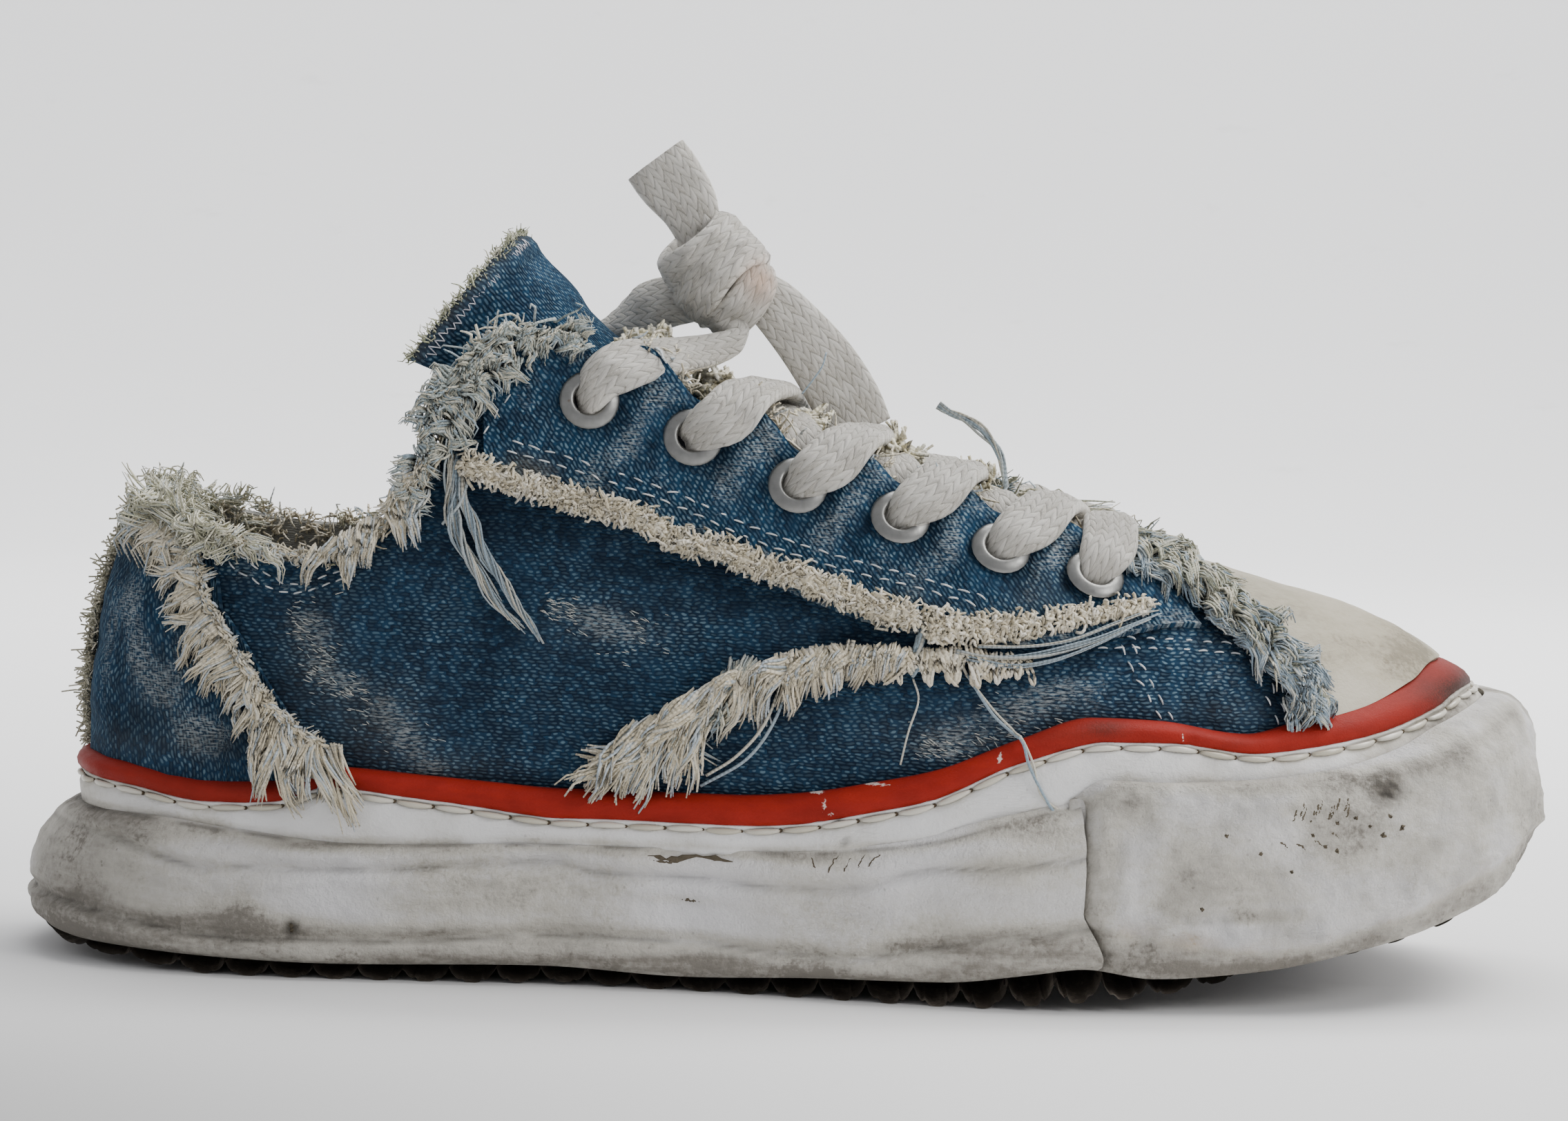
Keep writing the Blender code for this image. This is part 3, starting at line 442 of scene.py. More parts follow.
def blended(factor, first, second):
    colours = [colour if isinstance(colour, Wire) else (*colour, 1) for colour in (first, second)]
    return addNode(factor.tree, "Mix", {0: factor, 6: colours[0], 7: colours[1]}, data_type="RGBA")[2]


def noise(vector, scale, detail=3.0, rough=0.55, distort=0.0):
    return addNode(vector.tree, "TexNoise", {"Vector": vector, "Scale": scale, "Detail": detail,
                                             "Roughness": rough, "Distortion": distort})[0]


def chance(tree, dimensions, **inputs):
    return addNode(tree, "TexWhiteNoise", inputs, noise_dimensions=dimensions)[0]


def stretched(vector, scale, turn=(0, 0, 0)):
    return addNode(vector.tree, "Mapping", {"Vector": vector, "Rotation": turn, "Scale": scale})[0]


def newGroup(name, inputs, outputs):
    group = bpy.data.node_groups.new(name, "ShaderNodeTree")
    for label, value in inputs.items():
        kind = "Vector" if value is None else "Float"
        socket = group.interface.new_socket(label, in_out="INPUT", socket_type="NodeSocket" + kind)
        if value is not None:
            socket.default_value = value
    for label in outputs:
        group.interface.new_socket(label, in_out="OUTPUT", socket_type="NodeSocketFloat")
    given = {socket.name: Wire(socket) for socket in group.nodes.new("NodeGroupInput").outputs}
    return group, given, group.nodes.new("NodeGroupOutput").inputs


def makeTwill():
    # rows of short weft dashes, each row set on by a share of a dash, so that the dashes climb in diagonals
    group, given, end = newGroup("twill", {"Vector": None, "Turn": 0.0, "Row": 0.8, "Dash": 2.0,
                                           "Stagger": 0.37},
                                 ["Weft", "Height", "Cell"])
    place = addNode(group, "VectorRotate", {"Vector": given["Vector"], "Angle": given["Turn"]},
                    rotation_type="Z_AXIS")[0]
    split = addNode(group, "SeparateXYZ", {0: place})
    row = (split[1] + (noise(place, 0.35, 1.0) - 0.5) * 1.1) / given["Row"]
    rowNumber = row.maths("FLOOR")
    run = rowNumber * given["Stagger"] + split[0] / given["Dash"]
    run = run + chance(group, "1D", W=rowNumber) * 0.4 + noise(place, 0.5, 2.0) * 1.2
    dashNumber = run.maths("FLOOR")
    cell = chance(group, "2D", Vector=addNode(group, "CombineXYZ", {0: dashNumber, 1: rowNumber})[0])
    away = (run - dashNumber - 0.5) * (cell * 1.6 + 2.0)
    off = (row - rowNumber - 0.5) * 2.9
    dash = smoothMask(away * away + off * off, 1.3, 0.2)
    patchy = smoothMask(noise(place, 0.09, 3.0, 0.6), 0.3, 0.7)
    bright = cell.maths("POWER", 1.5) * 0.85 + patchy * 0.4 + 0.08
    rib, slant = (row * (2 * math.pi)).maths("SINE"), (run * (2 * math.pi)).maths("SINE")
    (dash * bright).to(end["Weft"])
    cell.to(end["Cell"])
    (rib * 0.22 + slant * 0.18 + dash * 0.5).to(end["Height"])
    return group


def makeBraid():
    # two sets of slanting bundles that pass over each other in turn: a bump for each, and a mask of
    # painted shade for the gaps between
    group, given, end = newGroup("braid", {"Vector": None, "Along": 2.7, "Across": 2.3},
                                 ["Gap", "Height", "Tone"])
    split = addNode(group, "SeparateXYZ", {0: given["Vector"]})
    across = split[1] / given["Across"]
    slant = split[0] / given["Along"] + across.maths("PINGPONG", 0.5) * 1.5
    bundle = (slant * math.pi).maths("SINE").maths("ABSOLUTE")
    wale = (across * (2 * math.pi)).maths("SINE").maths("ABSOLUTE")
    strand = addNode(group, "CombineXYZ", {0: slant.maths("FLOOR"), 1: (across * 2).maths("FLOOR")})[0]
    (smoothMask(bundle, 0.42, 0.12) * smoothMask(wale, 0.42, 0.1)).to(end["Gap"])
    (bundle.maths("POWER", 0.6) * (wale.maths("POWER", 0.5) * 0.55 + 0.45)).to(end["Height"])
    chance(group, "2D", Vector=strand).to(end["Tone"])
    return group


def makeGrime():
    # broad cloudy dirt broken up by a finer grain, and specks
    group, given, end = newGroup("grime", {"Vector": None, "Size": 20.0, "Amount": 0.5},
                                 ["Dirt", "Specks", "Grain"])
    place = given["Vector"]
    small = addNode(group, "VectorMath", {0: place, 3: given["Size"].maths("POWER", -1)},
                    operation="SCALE")[0]
    fine = noise(place, 1.3, 3.0, 0.6)
    low = given["Amount"] * -0.5 + 0.86
    smoothMask(fine * 0.35 + noise(small, 1.0, 5.0, 0.62, 0.4) * 0.8, low, low + 0.24).to(end["Dirt"])
    dots = addNode(group, "TexVoronoi", {"Vector": place, "Scale": 0.42})["Distance"]
    (smoothMask(dots, 0.16, 0.06) * smoothMask(noise(place, 0.11, 1.0), 0.55, 0.62)).to(end["Specks"])
    fine.to(end["Grain"])
    return group


def makeScratches():
    # thin lines along one way, in patches
    group, given, end = newGroup("scratches", {"Vector": None, "Turn": None, "Length": 8.0}, ["Mask"])
    stretch = addNode(group, "CombineXYZ", {0: given["Length"].maths("POWER", -1), 1: 1.6, 2: 1.6})[0]
    cuts = addNode(group, "TexVoronoi", {"Vector": stretched(given["Vector"], stretch, given["Turn"]),
                                         "Scale": 1.0},
                   feature="DISTANCE_TO_EDGE")["Distance"]
    patches = noise(given["Vector"], 0.06, 2.0)
    (smoothMask(cuts, 0.035, 0.0) * smoothMask(patches, 0.52, 0.6)).to(end["Mask"])
    return group


groups = {"twill": makeTwill(), "braid": makeBraid(), "grime": makeGrime(), "scratches": makeScratches()}


def useGroup(name, vector, **inputs):
    return addNode(vector.tree, "Group", dict(inputs, Vector=vector), node_tree=groups[name])


def newFinish(name, **shader):
    # a material with its Principled shader, plain values set on the shader's own sockets
    finish = bpy.data.materials.new(name)
    finish.use_nodes = True
    tree = finish.node_tree
    principled = tree.nodes["Principled BSDF"]
    for label, value in shader.items():
        principled.inputs[label.replace("_", " ")].default_value = value
    return finish, tree, principled.inputs


def objectMm(tree):
    return addNode(tree, "VectorMath", {0: addNode(tree, "TexCoord")["Object"], 3: 1000.0},
                   operation="SCALE")[0]


def uvMm(tree):
    return addNode(tree, "UVMap", uv_map="cloth")[0]


def markOf(tree, name):
    return addNode(tree, "Attribute", attribute_name=name)["Fac"]


def giveBump(inputs, height, distance, strength=1.0):
    bump = addNode(height.tree, "Bump", {"Height": height, "Distance": distance * mm, "Strength": strength})
    bump[0].to(inputs["Normal"])


# the gap colour is painted shade in the braid's gaps
laceLook = {"light": (0.88, 0.845, 0.775), "shade": (0.58, 0.54, 0.465), "gap": (0.29, 0.255, 0.19),
            "dirt": (0.42, 0.38, 0.33), "stain": (0.78, 0.42, 0.24)}


def makeLace():
    finish, tree, inputs = newFinish("knittedLace", Roughness=0.42, Sheen_Weight=0.15, Specular_IOR_Level=0.6)
    uv = uvMm(tree)
    braid = useGroup("braid", uv)
    hairs = noise(stretched(uv, (0.9, 4.5, 1)), 1.4, 4.0, 0.7)
    tone = blended(braid["Tone"], laceLook["shade"], laceLook["light"])
    tone = blended(smoothMask(hairs, 0.42, 0.66), tone, laceLook["light"])
    tone = blended(useGroup("grime", objectMm(tree), Size=9.0, Amount=0.35)["Dirt"] * 0.3, tone,
                   laceLook["dirt"])
    tone = blended(markOf(tree, "stain") * 0.6, tone, laceLook["stain"])
    # painted shade: the braid's gaps darken towards the gap colour
    blended(braid["Gap"] * 0.75, tone, laceLook["gap"]).to(inputs["Base Color"])
    giveBump(inputs, hairs * 0.9 + braid["Height"], 0.85)
    return finish


laceFinish = makeLace()
print("shader groups made")


# Camera, light and floor

viewing = {"lens": 80.8, "aim": (-0.004, 0.0, 0.07926), "distance": 0.7, "down": 3.0, "roll": 1.67}
lamps = {  # place, aim, size, watts, colour
    "skyPanel": ((0.75, 0.1, 1.25), (0.1, 0, 0.05), 0.9, 17.0, (1.0, 0.99, 0.97)),
    "sideWindow": ((0.95, -0.6, 0.62), (0.05, 0, 0.07), 0.5, 5.5, (1.0, 0.99, 0.97)),
    "wallWash": ((0.2, 0.9, 1.7), (0.1, 2.7, 0.2), 2.0, 85.0, (1.0, 1.0, 1.0)),
}
room = {"sky": 0.62, "flat": 1.5, "rim": 3.3, "wall": 1.0}


def placed(name, data, right, up, back, place):
    # a new object whose own axes point right, up and back
    holder = bpy.data.objects.new(name, data)
    bpy.context.scene.collection.objects.link(holder)
    pose = Matrix(np.column_stack([right, up, back]).tolist()).to_4x4()
    pose.translation = tuple(place)
    holder.matrix_world = pose
    return holder


def makeCamera():
    # looks at the outer side, turned so that the toe sits a little low in the frame
    down, roll = math.radians(viewing["down"]), math.radians(viewing["roll"])
    ahead = np.array((0, math.cos(down), -math.sin(down)))
    right, up = np.array((1.0, 0, 0)), np.array((0, math.sin(down), math.cos(down)))
    lens = bpy.data.cameras.new("camera")
    lens.lens, lens.sensor_width, lens.clip_start, lens.clip_end = viewing["lens"], 36, 0.01, 50
    bpy.context.scene.camera = placed(
        "camera", lens, right * math.cos(roll) + up * math.sin(roll),
        up * math.cos(roll) - right * math.sin(roll),
        -ahead, np.array(viewing["aim"]) - ahead * viewing["distance"])


def makeLights():
    for name, (place, aim, size, watts, colour) in lamps.items():
        lamp = bpy.data.lights.new(name, "AREA")
        lamp.shape, lamp.size, lamp.energy, lamp.color = "DISK", size, watts, colour
        back = unit(np.array(place) - aim)
        right = unit(np.cross((0.01, 0.02, 1), back))
        placed(name, lamp, right, np.cross(back, right), back, place)
    world = bpy.data.worlds.new("paleRoom")
    world.use_nodes = True
    sky = world.node_tree.nodes["Background"].inputs
    sky["Color"].default_value = (0.96, 0.97, 1.0, 1)
    sky["Strength"].default_value = room["sky"]
    bpy.context.scene.world = world


def makeFloor():
    # a turned bowl: flat under the shoe, its rim rising far away so that no horizon shows; its colour holds a
    # painted shadow
    finish, tree, inputs = newFinish("palePaper", Roughness=0.8, Specular_IOR_Level=0.2)
    place = addNode(tree, "TexCoord")["Object"]
    tone = blended(noise(place, 3.0, 2.0), (0.83, 0.83, 0.835), (0.87, 0.87, 0.87))
    tone = blended(smoothMask(noise(place, 14.0, 4.0, 0.7), 0.62, 0.78) * 0.12, tone, (0.45, 0.44, 0.42))
    # painted shadow: the paper turns dark grey within 0.3 m of a spot in front of the shoe's heel
    shade = addNode(tree, "VectorMath", {0: place, 1: (-0.2, -0.24, 0)}, operation="DISTANCE")["Value"]
    blended(smoothMask(shade, 0.3, 0.0) * 0.75, tone, (0.2, 0.2, 0.195)).to(inputs["Base Color"])
    rise = np.linspace(0.04, math.pi / 2, 18)
    out = np.concatenate([np.linspace(0.02, room["flat"], 12),
                          room["flat"] + (room["rim"] - room["flat"]) * np.sin(rise)])
    up = np.concatenate([np.zeros(12), room["wall"] * (1 - np.cos(rise))])
    turn = np.linspace(0, 2 * math.pi, 72, endpoint=False)
    points = np.stack([out[:, None] * np.cos(turn), out[:, None] * np.sin(turn), up[:, None] + 0 * turn], -1)
    quads = np.vstack([gridQuads(len(out), 72, closeColumns=True), capQuads(np.arange(72))])
    mesh = bpy.data.meshes.new("floor")
    mesh.from_pydata(points.reshape(-1, 3).tolist(), [], quads.tolist())
    mesh.shade_smooth()
    mesh.materials.append(finish)
    floor = bpy.data.objects.new("floor", mesh)
    bpy.context.scene.collection.objects.link(floor)


makeCamera()
makeLights()
makeFloor()
print("camera, light and floor set")


# Laces

eyelets = [(109.5, 109.6), (129.3, 103.0), (149.5, 94.2), (169.0, 88.5), (188.0, 83.0), (205.9, 78.3)]
# x, height of the crest, half width, drop of the sides, set-back of the sides
tongueRows = [(229, 77.6, 14, 5, 0), (214, 81, 16, 6, 0), (195, 87, 18, 8, 1), (166, 97.6, 20, 10, 2),
              (137, 109.6, 21, 12, 4), (118, 119.5, 21.5, 15, 8), (106, 130, 24, 20.5, 14.5),
              (94, 143, 26.5, 27, 20)]
laces = {"width": 11.0, "thickness": 4.6, "sides": 20}


def tongueCrest(x):
    return lineAt([row[:2] for row in tongueRows[::-1]], x)


def facingEdge(x, side):
    places = np.linspace(7, 12.5, 400)
    edge = closedSpline(topRing, places if side < 0 else around - places)
    return picked(edge, x, edge[:, 0])


def scallop(x):
    # the throat's edge dips over each eyelet, where the lace pulls on it, and rises between
    spots = [x - reach for x, _ in eyelets for reach in (8.5, -1.0)]
    rises = [0.8, -4.4] * 4 + [0.6, -4.2, -1.6, -3.6]
    return level(list(zip([96.0] + spots + [218.0], [0.0] + rises + [0.0])), x)


def eyeletPose(number, side):
    # middle of an eyelet on the upper, and the way out
    place, share = toPlace(*eyelets[number - 1], side)
    return upperPoint(place, share)[0], upperNormal(place, share)[0]


def strapMesh(rows, lump=0.35, seed=1):
    # a flat tube along rows of x y z, facing x y z, width, thickness; a superellipse with soft lumps
    place, facing, wide, thick = rows[:, :3], rows[:, 3:6], rows[:, 6:7], rows[:, 7:8]
    across = unit(np.cross(unit(np.gradient(place, axis=0)), facing))
    above = np.cross(across, unit(np.gradient(place, axis=0)))
    turn = np.linspace(0, 2 * math.pi, laces["sides"], endpoint=False)
    flat = np.sign(np.cos(turn)) * abs(np.cos(turn)) ** 0.75
    rise = np.sign(np.sin(turn)) * abs(np.sin(turn)) ** 0.85
    points = (place[:, None] + across[:, None] * (flat * wide / 2)[..., None]
              + above[:, None] * (rise * thick / 2)[..., None])
    points += above[:, None] * (waves(points, 6.0, seed) * lump * abs(rise))[..., None]
    run = np.broadcast_to(runAlong(place)[:, None], points.shape[:2])
    return points, np.stack([run + seed * 3.1, flat * wide / 2], -1)


def addStraps(name, straps, replaced, joined=False, stain=None):
    # several laces in one mesh, joined into rings or with closed ends
    quads, start = [], 0
    for points, _ in straps:
        count, sides = points.shape[:2]
        quads.append((gridQuads(count, sides, True, True)[:, ::-1] if joined else closedTube(count, sides))
                     + start)
        start += count * sides
    points = np.concatenate([points.reshape(-1, 3) for points, _ in straps])
    uvs = np.concatenate([uvs.reshape(-1, 2) for _, uvs in straps])
    spoiled = np.zeros(len(points)) if stain is None else bell(np.linalg.norm((points - stain[0]) / stain[1],
                                                                              axis=1))
    return addPiece(name, points, np.vstack(quads), laceFinish, uvs, {"stain": spoiled},
                    replaced=replaced, sharp=0)


def strandStart(number, side):
    # out of the eyelet, bent over its rim and up over the facing's edge
    start, out = eyeletPose(number, side)
    width, thick = laces["width"], laces["thickness"]
    edge = facingEdge(start[0] + (10.5 if number < len(eyelets) else 4.5), side)
    ahead = unit(edge - start)
    over = edge + (0, side * 0.6, 3.4)
    return [(*(start - out * 2.2 - ahead * 0.4), *(out * 0.4 - ahead), width * 0.42, thick * 0.95),
            (*(start + out * 1.9 + ahead * 0.2), *(out - ahead), width * 0.62, thick * 0.95),
            (*(start + out * 4.6 + ahead * 3.2), *(out - ahead * 0.2), width * 0.86, thick * 1.05),
            (*((start + edge) / 2 + out * 4.9 + ahead * 1.0), *out, width, thick),
            (*over, *unit(out + (0, 0, 1.2)), width * 0.98, thick * 0.92)]


def crossing(number, side):
    # one strand over the throat and down under the other facing at the next eyelet
    rows = strandStart(number, side)
    ahead, width = eyelets[number][0], laces["width"]
    x = (eyelets[number - 1][0] + ahead) / 2 + 5.5
    lift = 6.6 if side < 0 else 2.9
    far = facingEdge(ahead + 0.5, -side)
    rows += [(x, side * 1.0, tongueCrest(x) + lift, 0.1, 0, 1, width, laces["thickness"] * 0.75),
             (far[0] - 1.0, far[1] * 0.8, far[2] + 0.8, 0, -side * 0.4, 1, width * 0.9, 3.2),
             (far[0] + 1.5, far[1] * 0.93, far[2] - 3.4, 0, -side * 0.9, 0.5, width * 0.8, 2.6)]
    return strapMesh(smoothRows(rows, 46), seed=number * 2 + (side > 0))


def makeCrossings():
    for number in range(2, len(eyelets)):
        addStraps(f"laceCrossing{number}", [crossing(number, -1), crossing(number, 1)],
                  [f"lace_crossing_{number}"])
    near, far = strandStart(len(eyelets), -1), strandStart(len(eyelets), 1)
    x = near[-1][0] + 1.5
    top = (x, 0, tongueCrest(x) + 5.2, 0, 0, 1, laces["width"], laces["thickness"] * 0.85)
    addStraps("laceBar", [strapMesh(smoothRows(near + [top] + far[::-1], 60), seed=31)], ["lace_bar_6"])


freeLace = {
    # x y z, facing, width, thickness
    "outer": [(112.5, -31.5, 114.8, -0.2, -1, 0.25, 9.5, 5.0),
              (117.5, -29.0, 117.6, 0, -0.9, 0.55, 10.6, 4.4),
              (124.5, -21.5, 119.2, 0.1, -0.75, 0.75, 9.8, 4.2),
              (131.0, -13.5, 120.3, 0.3, -0.7, 0.6, 7.2, 4.2),
              (136.2, -8.0, 122.4, 0.8, -0.6, 0.2, 5.2, 4.4), (136.8, -5.0, 126.2, 0.9, -0.5, -0.2, 5.0, 4.4),
              (134.2, -2.0, 130.5, 0.6, -0.8, 0, 6.5, 4.4), (131.5, -0.5, 137.0, 0.2, -1, 0.2, 7.5, 4.4),
              (129.0, -0.8, 143.0, 0, -1, 0.1, 9.0, 4.4), (126.4, -1.2, 149.2, 0, -1, 0, 12.0, 4.6),
              (122.6, -1.2, 154.2, 0, -1, 0, 13.6, 5.0), (119.8, -1.2, 157.8, 0, -1, 0, 13.4, 5.2)],
    "inner": [(109.8, 28.5, 119.5, -0.5, 0.8, 0.5, 9.5, 4.4), (110.6, 22.0, 124.0, -0.5, 0.2, 0.9, 10.8, 4.2),
              (114.5, 14.0, 127.4, -0.3, -0.8, 0.6, 11.6, 4.4),
              (120.8, 7.5, 129.4, -0.1, -1, 0.35, 11.4, 4.6),
              (127.0, 3.4, 130.2, 0.1, -1, 0.3, 9.0, 4.2), (132.5, 1.8, 131.2, 0.1, -1, 0.2, 7.5, 3.6),
              (137.5, 0.6, 132.6, 0.1, -1, 0.1, 8.6, 3.4), (143.0, -0.8, 130.6, 0.1, -1, 0.1, 10.4, 3.4),
              (149.0, -1.0, 124.8, 0.15, -1, 0.1, 12.0, 3.4), (154.5, -0.6, 118.2, 0.15, -1, 0.1, 13.4, 3.4),
              (159.0, 0.2, 111.2, 0.15, -1, 0.1, 14.0, 3.2), (162.0, 0.8, 105.2, 0.15, -1, 0.1, 13.4, 3.0)],
    "width": 12.5,
}
knot = {"middle": (133.2, -0.8, 135.6), "way": (0.66, 0, -0.75),
        "stain": ((141.5, -7.0, 134.5), (3.6, 7.0, 4.2)),
        # offset along the way, radius, tilt in degrees, turn of the tilt, width, thickness
        "turns": [(-5.4, 6.6, 12, 80, 9.5, 5.4), (0.6, 7.4, -20, 60, 10.5, 5.6),
                  (5.6, 5.8, 24, 120, 8.5, 5.2)]}


def knotTurn(offset, radius, tilt, turn, wide, thick, seed):
    # a flat ring of lace round the knot's axis, tilted
    way = unit(np.array(knot["way"], float))
    side = unit(np.cross(way, (0, 1, 0)))
    angles = np.linspace(0, 2 * math.pi, 60, endpoint=False)
    ring = radius * (np.cos(angles)[:, None] * side + np.sin(angles)[:, None] * np.cross(way, side))
    ring += way * (radius * math.tan(math.radians(tilt)) * np.cos(angles - math.radians(turn)))[:, None]
    rows = np.column_stack([np.array(knot["middle"]) + way * offset + ring, unit(ring), np.full(60, wide),
                            np.full(60, thick)])
    points, uvs = strapMesh(np.vstack([rows[-2:], rows, rows[:2]]), lump=0.5, seed=seed)
    return points[2:-2], uvs[2:-2]


def makeFreeLaces():
    rings = [knotTurn(*turn, seed=40 + seed) for seed, turn in enumerate(knot["turns"])]
    knotPiece = addStraps("laceKnot", rings, ["lace_knot"], True, knot["stain"])
    for name, side, nodes in (("outer", -1, ["lace_top_outer", "lace_end"]),
                              ("inner", 1, ["lace_top_inner", "lace_tail"])):
        start, out = eyeletPose(1, side)
        first = [(*(start - out * 2.2), *(out * 0.4 + (-0.9, 0, 0)), 4.6, 4.4),
                 (*(start + out * 1.9 + (0, 0, 0.3)), *(out + (-0.9, 0, 0)), 6.8, 4.4)]
        rows = smoothRows(first + freeLace[name], 110)
        piece = addStraps("freeLace" + name.capitalize(), [strapMesh(rows, seed=20 + side)], nodes)
        path = inWorld(rows[:, :3])


makeCrossings()
makeFreeLaces()
print("laces made")


# Soles

levels["ground"] = ((0, 6.0), (12, 2.6), (26, 1.6), (42, 0), (92, 0), (108, 0.6), (126, 0), (182, 0),
                    (196, 1.0), (214, 2.9), (224, 4.2), (241, 7.6), (262, 11.6), (276, 15.2), (303, 26.6))
levels["outsoleInset"] = ((0, 2.2), (214, 2.2), (240, 7.0), (303, 7.0))
levels["outsoleRecess"] = ((0, 0.0), (214, 0.0), (240, 2.4), (303, 2.4))
soles = {
    "columns": 570, "rim": 4.5, "groove": (10.165, 10.095),
    # height share, share of the way in to the lip
    "wall": [(0.0, 0.24), (0.03, 0.1), (0.1, 0.02), (0.2, -0.015), (0.35, 0.0), (0.52, 0.07), (0.68, 0.2),
             (0.82, 0.42), (0.92, 0.62), (0.985, 0.86), (1.0, 0.97)],
    "bumper": [(0.0, 0.34), (0.02, 0.18), (0.07, 0.08), (0.18, 0.0), (0.34, -0.01), (0.55, 0.05),
               (0.72, 0.13), (0.86, 0.26), (0.945, 0.42), (0.99, 0.6), (1.0, 0.78)],
    # x, height of creases seen on the outer side
    "upperCrease": [(8, 25.6), (20.9, 24.7), (28.5, 22.7), (37.8, 20.1), (48.9, 20.8), (59.8, 20.6),
                    (77.8, 21.2),
                    (92.1, 22.7), (106.5, 23.6), (113, 21.8), (126, 21.7), (136.3, 21.5), (145.2, 20.7),
                    (156.8, 20.9), (163.5, 21.7), (170.2, 24.1), (176.9, 25.6), (190.3, 26.5), (205, 28.9)],
    "shortCrease": [(43.8, 25.0), (45.8, 22.8), (51.7, 22.0), (59, 21.6), (66, 22)],
    "lowerCrease": [(2, 11.4), (14.1, 10.2), (26.8, 8.6), (35.9, 7.4), (46.3, 6.4), (56.6, 6.9), (71.1, 6.8),
                    (85.5, 7.8), (99.8, 8.9), (118.6, 9.4), (133.3, 9.2), (147, 8.0), (162, 7.4), (174, 9.8),
                    (187.3, 12.6), (206, 15.4)],
    "slantCrease": [(152, 18.8), (156.2, 17.8), (164.4, 16.2), (171.5, 13.8)],
    "toeCrease": [(209.7, 16.8), (218.7, 14.8), (233.9, 13.2), (241.9, 12.6), (251.1, 14.6), (261.7, 18),
                  (271.3, 21.4), (281.7, 26), (296, 32)],
    "toeFold": [(212.6, 33), (212, 26.3), (212.6, 18)],
    "toeDent": [(228, 19.2), (236.7, 18.9), (244, 19.8)],
    "weltCrack": [(158.8, 34.2), (159.8, 31), (161.2, 28.4)],
    # the cracks are drawn as dark lines: painted shade in them
    "cracks": [[(154.3, 27.4), (154.6, 25.4), (156, 23)], [(159.6, 27.6), (158, 25.4), (157.1, 22.6)],
               [(161.6, 27), (160.6, 25), (160.1, 23.2)], [(164.2, 27.7), (163.3, 26.2), (162.8, 24.6)],
               [(167, 27.8), (165.6, 26.8), (164.8, 25.4)]],
    # lines and radii of the ragged blots; x, height, radius of the bumper's dots
    "blots": [([(123.6, 25.4), (126, 25.0), (129, 24.7), (133, 25.5), (137, 25.2), (139.6, 24.9)], 0.85),
              ([(124.6, 24.6), (127.6, 24.2), (130.6, 24.9)], 0.5), ([(130.3, 17.5), (133.6, 17.3)], 0.35),
              ([(56.7, 10.6), (57.2, 8.8)], 0.75)],
    "dots": [(261.9, 37.0, 0.5), (264.3, 34.9, 0.62), (260.5, 33.7, 0.55), (257.9, 35.4, 0.4),
             (255.1, 36.8, 0.5),
             (251.6, 36.0, 0.45), (251.7, 30.7, 0.5), (226.3, 20.1, 0.45), (247, 33.6, 0.4),
             (249.4, 31.6, 0.5), (237, 30.4, 0.4), (243, 27, 0.4), (230.6, 33.6, 0.35)],
    "pit": (57.0, 9.6),
    # x, height, half length, half height, strength of dirt and of dark spots
    "dirt": [(15, 12.5, 11, 4.5, 0.35), (6, 20, 5, 7, 0.3), (33, 9.5, 16, 2.4, 0.8), (52, 9.5, 12, 2.6, 0.9),
             (47.8, 11.7, 3.6, 2.6, 0.75), (76, 9.5, 16, 1.8, 0.5), (84, 4.6, 12, 1.3, 0.8),
             (80, 15, 14, 4, 0.28),
             (104, 18, 12, 5, 0.2), (130, 17.5, 7, 1.0, 0.3), (137, 6.2, 11, 1.5, 0.95),
             (120, 5, 14, 1.2, 0.5),
             (160, 5.2, 14, 1.3, 0.5), (182, 11.2, 16, 0.9, 0.75), (200, 13.4, 8, 1.4, 0.7),
             (188, 26.6, 8, 2.4, 0.45), (178, 13.6, 10, 2.4, 0.35), (196, 34, 8, 2, 0.35),
             (150, 26.6, 12, 1.2, 0.35), (29, 25.8, 10, 1.6, 0.4), (14, 28, 5, 1.4, 0.25),
             (60, 25, 10, 0.8, 0.5)],
    "toeDirt": [(213, 39, 4, 3.4, 0.55), (209, 30, 3, 8, 0.45), (224, 30, 7, 5, 0.3), (232, 24, 10, 5, 0.35),
                (236, 18.6, 7, 1.0, 0.6), (222, 22, 6, 5, 0.3), (261.2, 42.6, 3.0, 2.6, 1.2),
                (262, 44.0, 4, 1.4, 0.5),
                (268, 41, 6, 5, 0.4), (277, 47, 8, 3.6, 0.3), (286, 51, 6, 5, 0.35), (252, 34, 10, 5, 0.4),
                (266, 30, 12, 5, 0.3), (283, 38, 10, 8, 0.4), (296, 36, 5, 8, 0.6), (240, 8.6, 30, 2, 0.7),
                (243.6, 38.3, 6, 2.4, 0.35), (270, 45.6, 5, 1.4, 0.5), (240, 42, 14, 1.4, 0.3)],
    "toeDark": [(260.8, 43.0, 2.4, 2.2, 0.7), (262.4, 41.0, 2.8, 1.8, 0.5), (259.6, 40.6, 1.6, 1.2, 0.4),
                (213, 39.5, 2.2, 1.4, 0.35), (226, 18, 9, 1.0, 0.3), (240, 15.4, 7, 1.0, 0.25)],
}
rubberLook = {"clean": (0.70, 0.69, 0.70), "warm": (0.53, 0.505, 0.45), "dirty": (0.21, 0.192, 0.165),
              "dark": (0.035, 0.03, 0.024), "tan": (0.46, 0.33, 0.2), "roughness": 0.55, "bump": 0.8}
weltLook = dict(rubberLook, clean=(0.76, 0.755, 0.75), roughness=0.45, bump=0.25)


def wallRing(place, row, top, lip):
    # ring of the side wall by height share and share of the way in
    height, inward = row
    ring = closedSpline(soleRing, place)
    foot = level("foot", ring[:, 0])
    return np.column_stack([ring * (1 - inward) + lip[:, :2] * inward, foot + height * (top - foot)])


def undersideOf(x):
    return level("foot", x) + level("outsoleRecess", x)


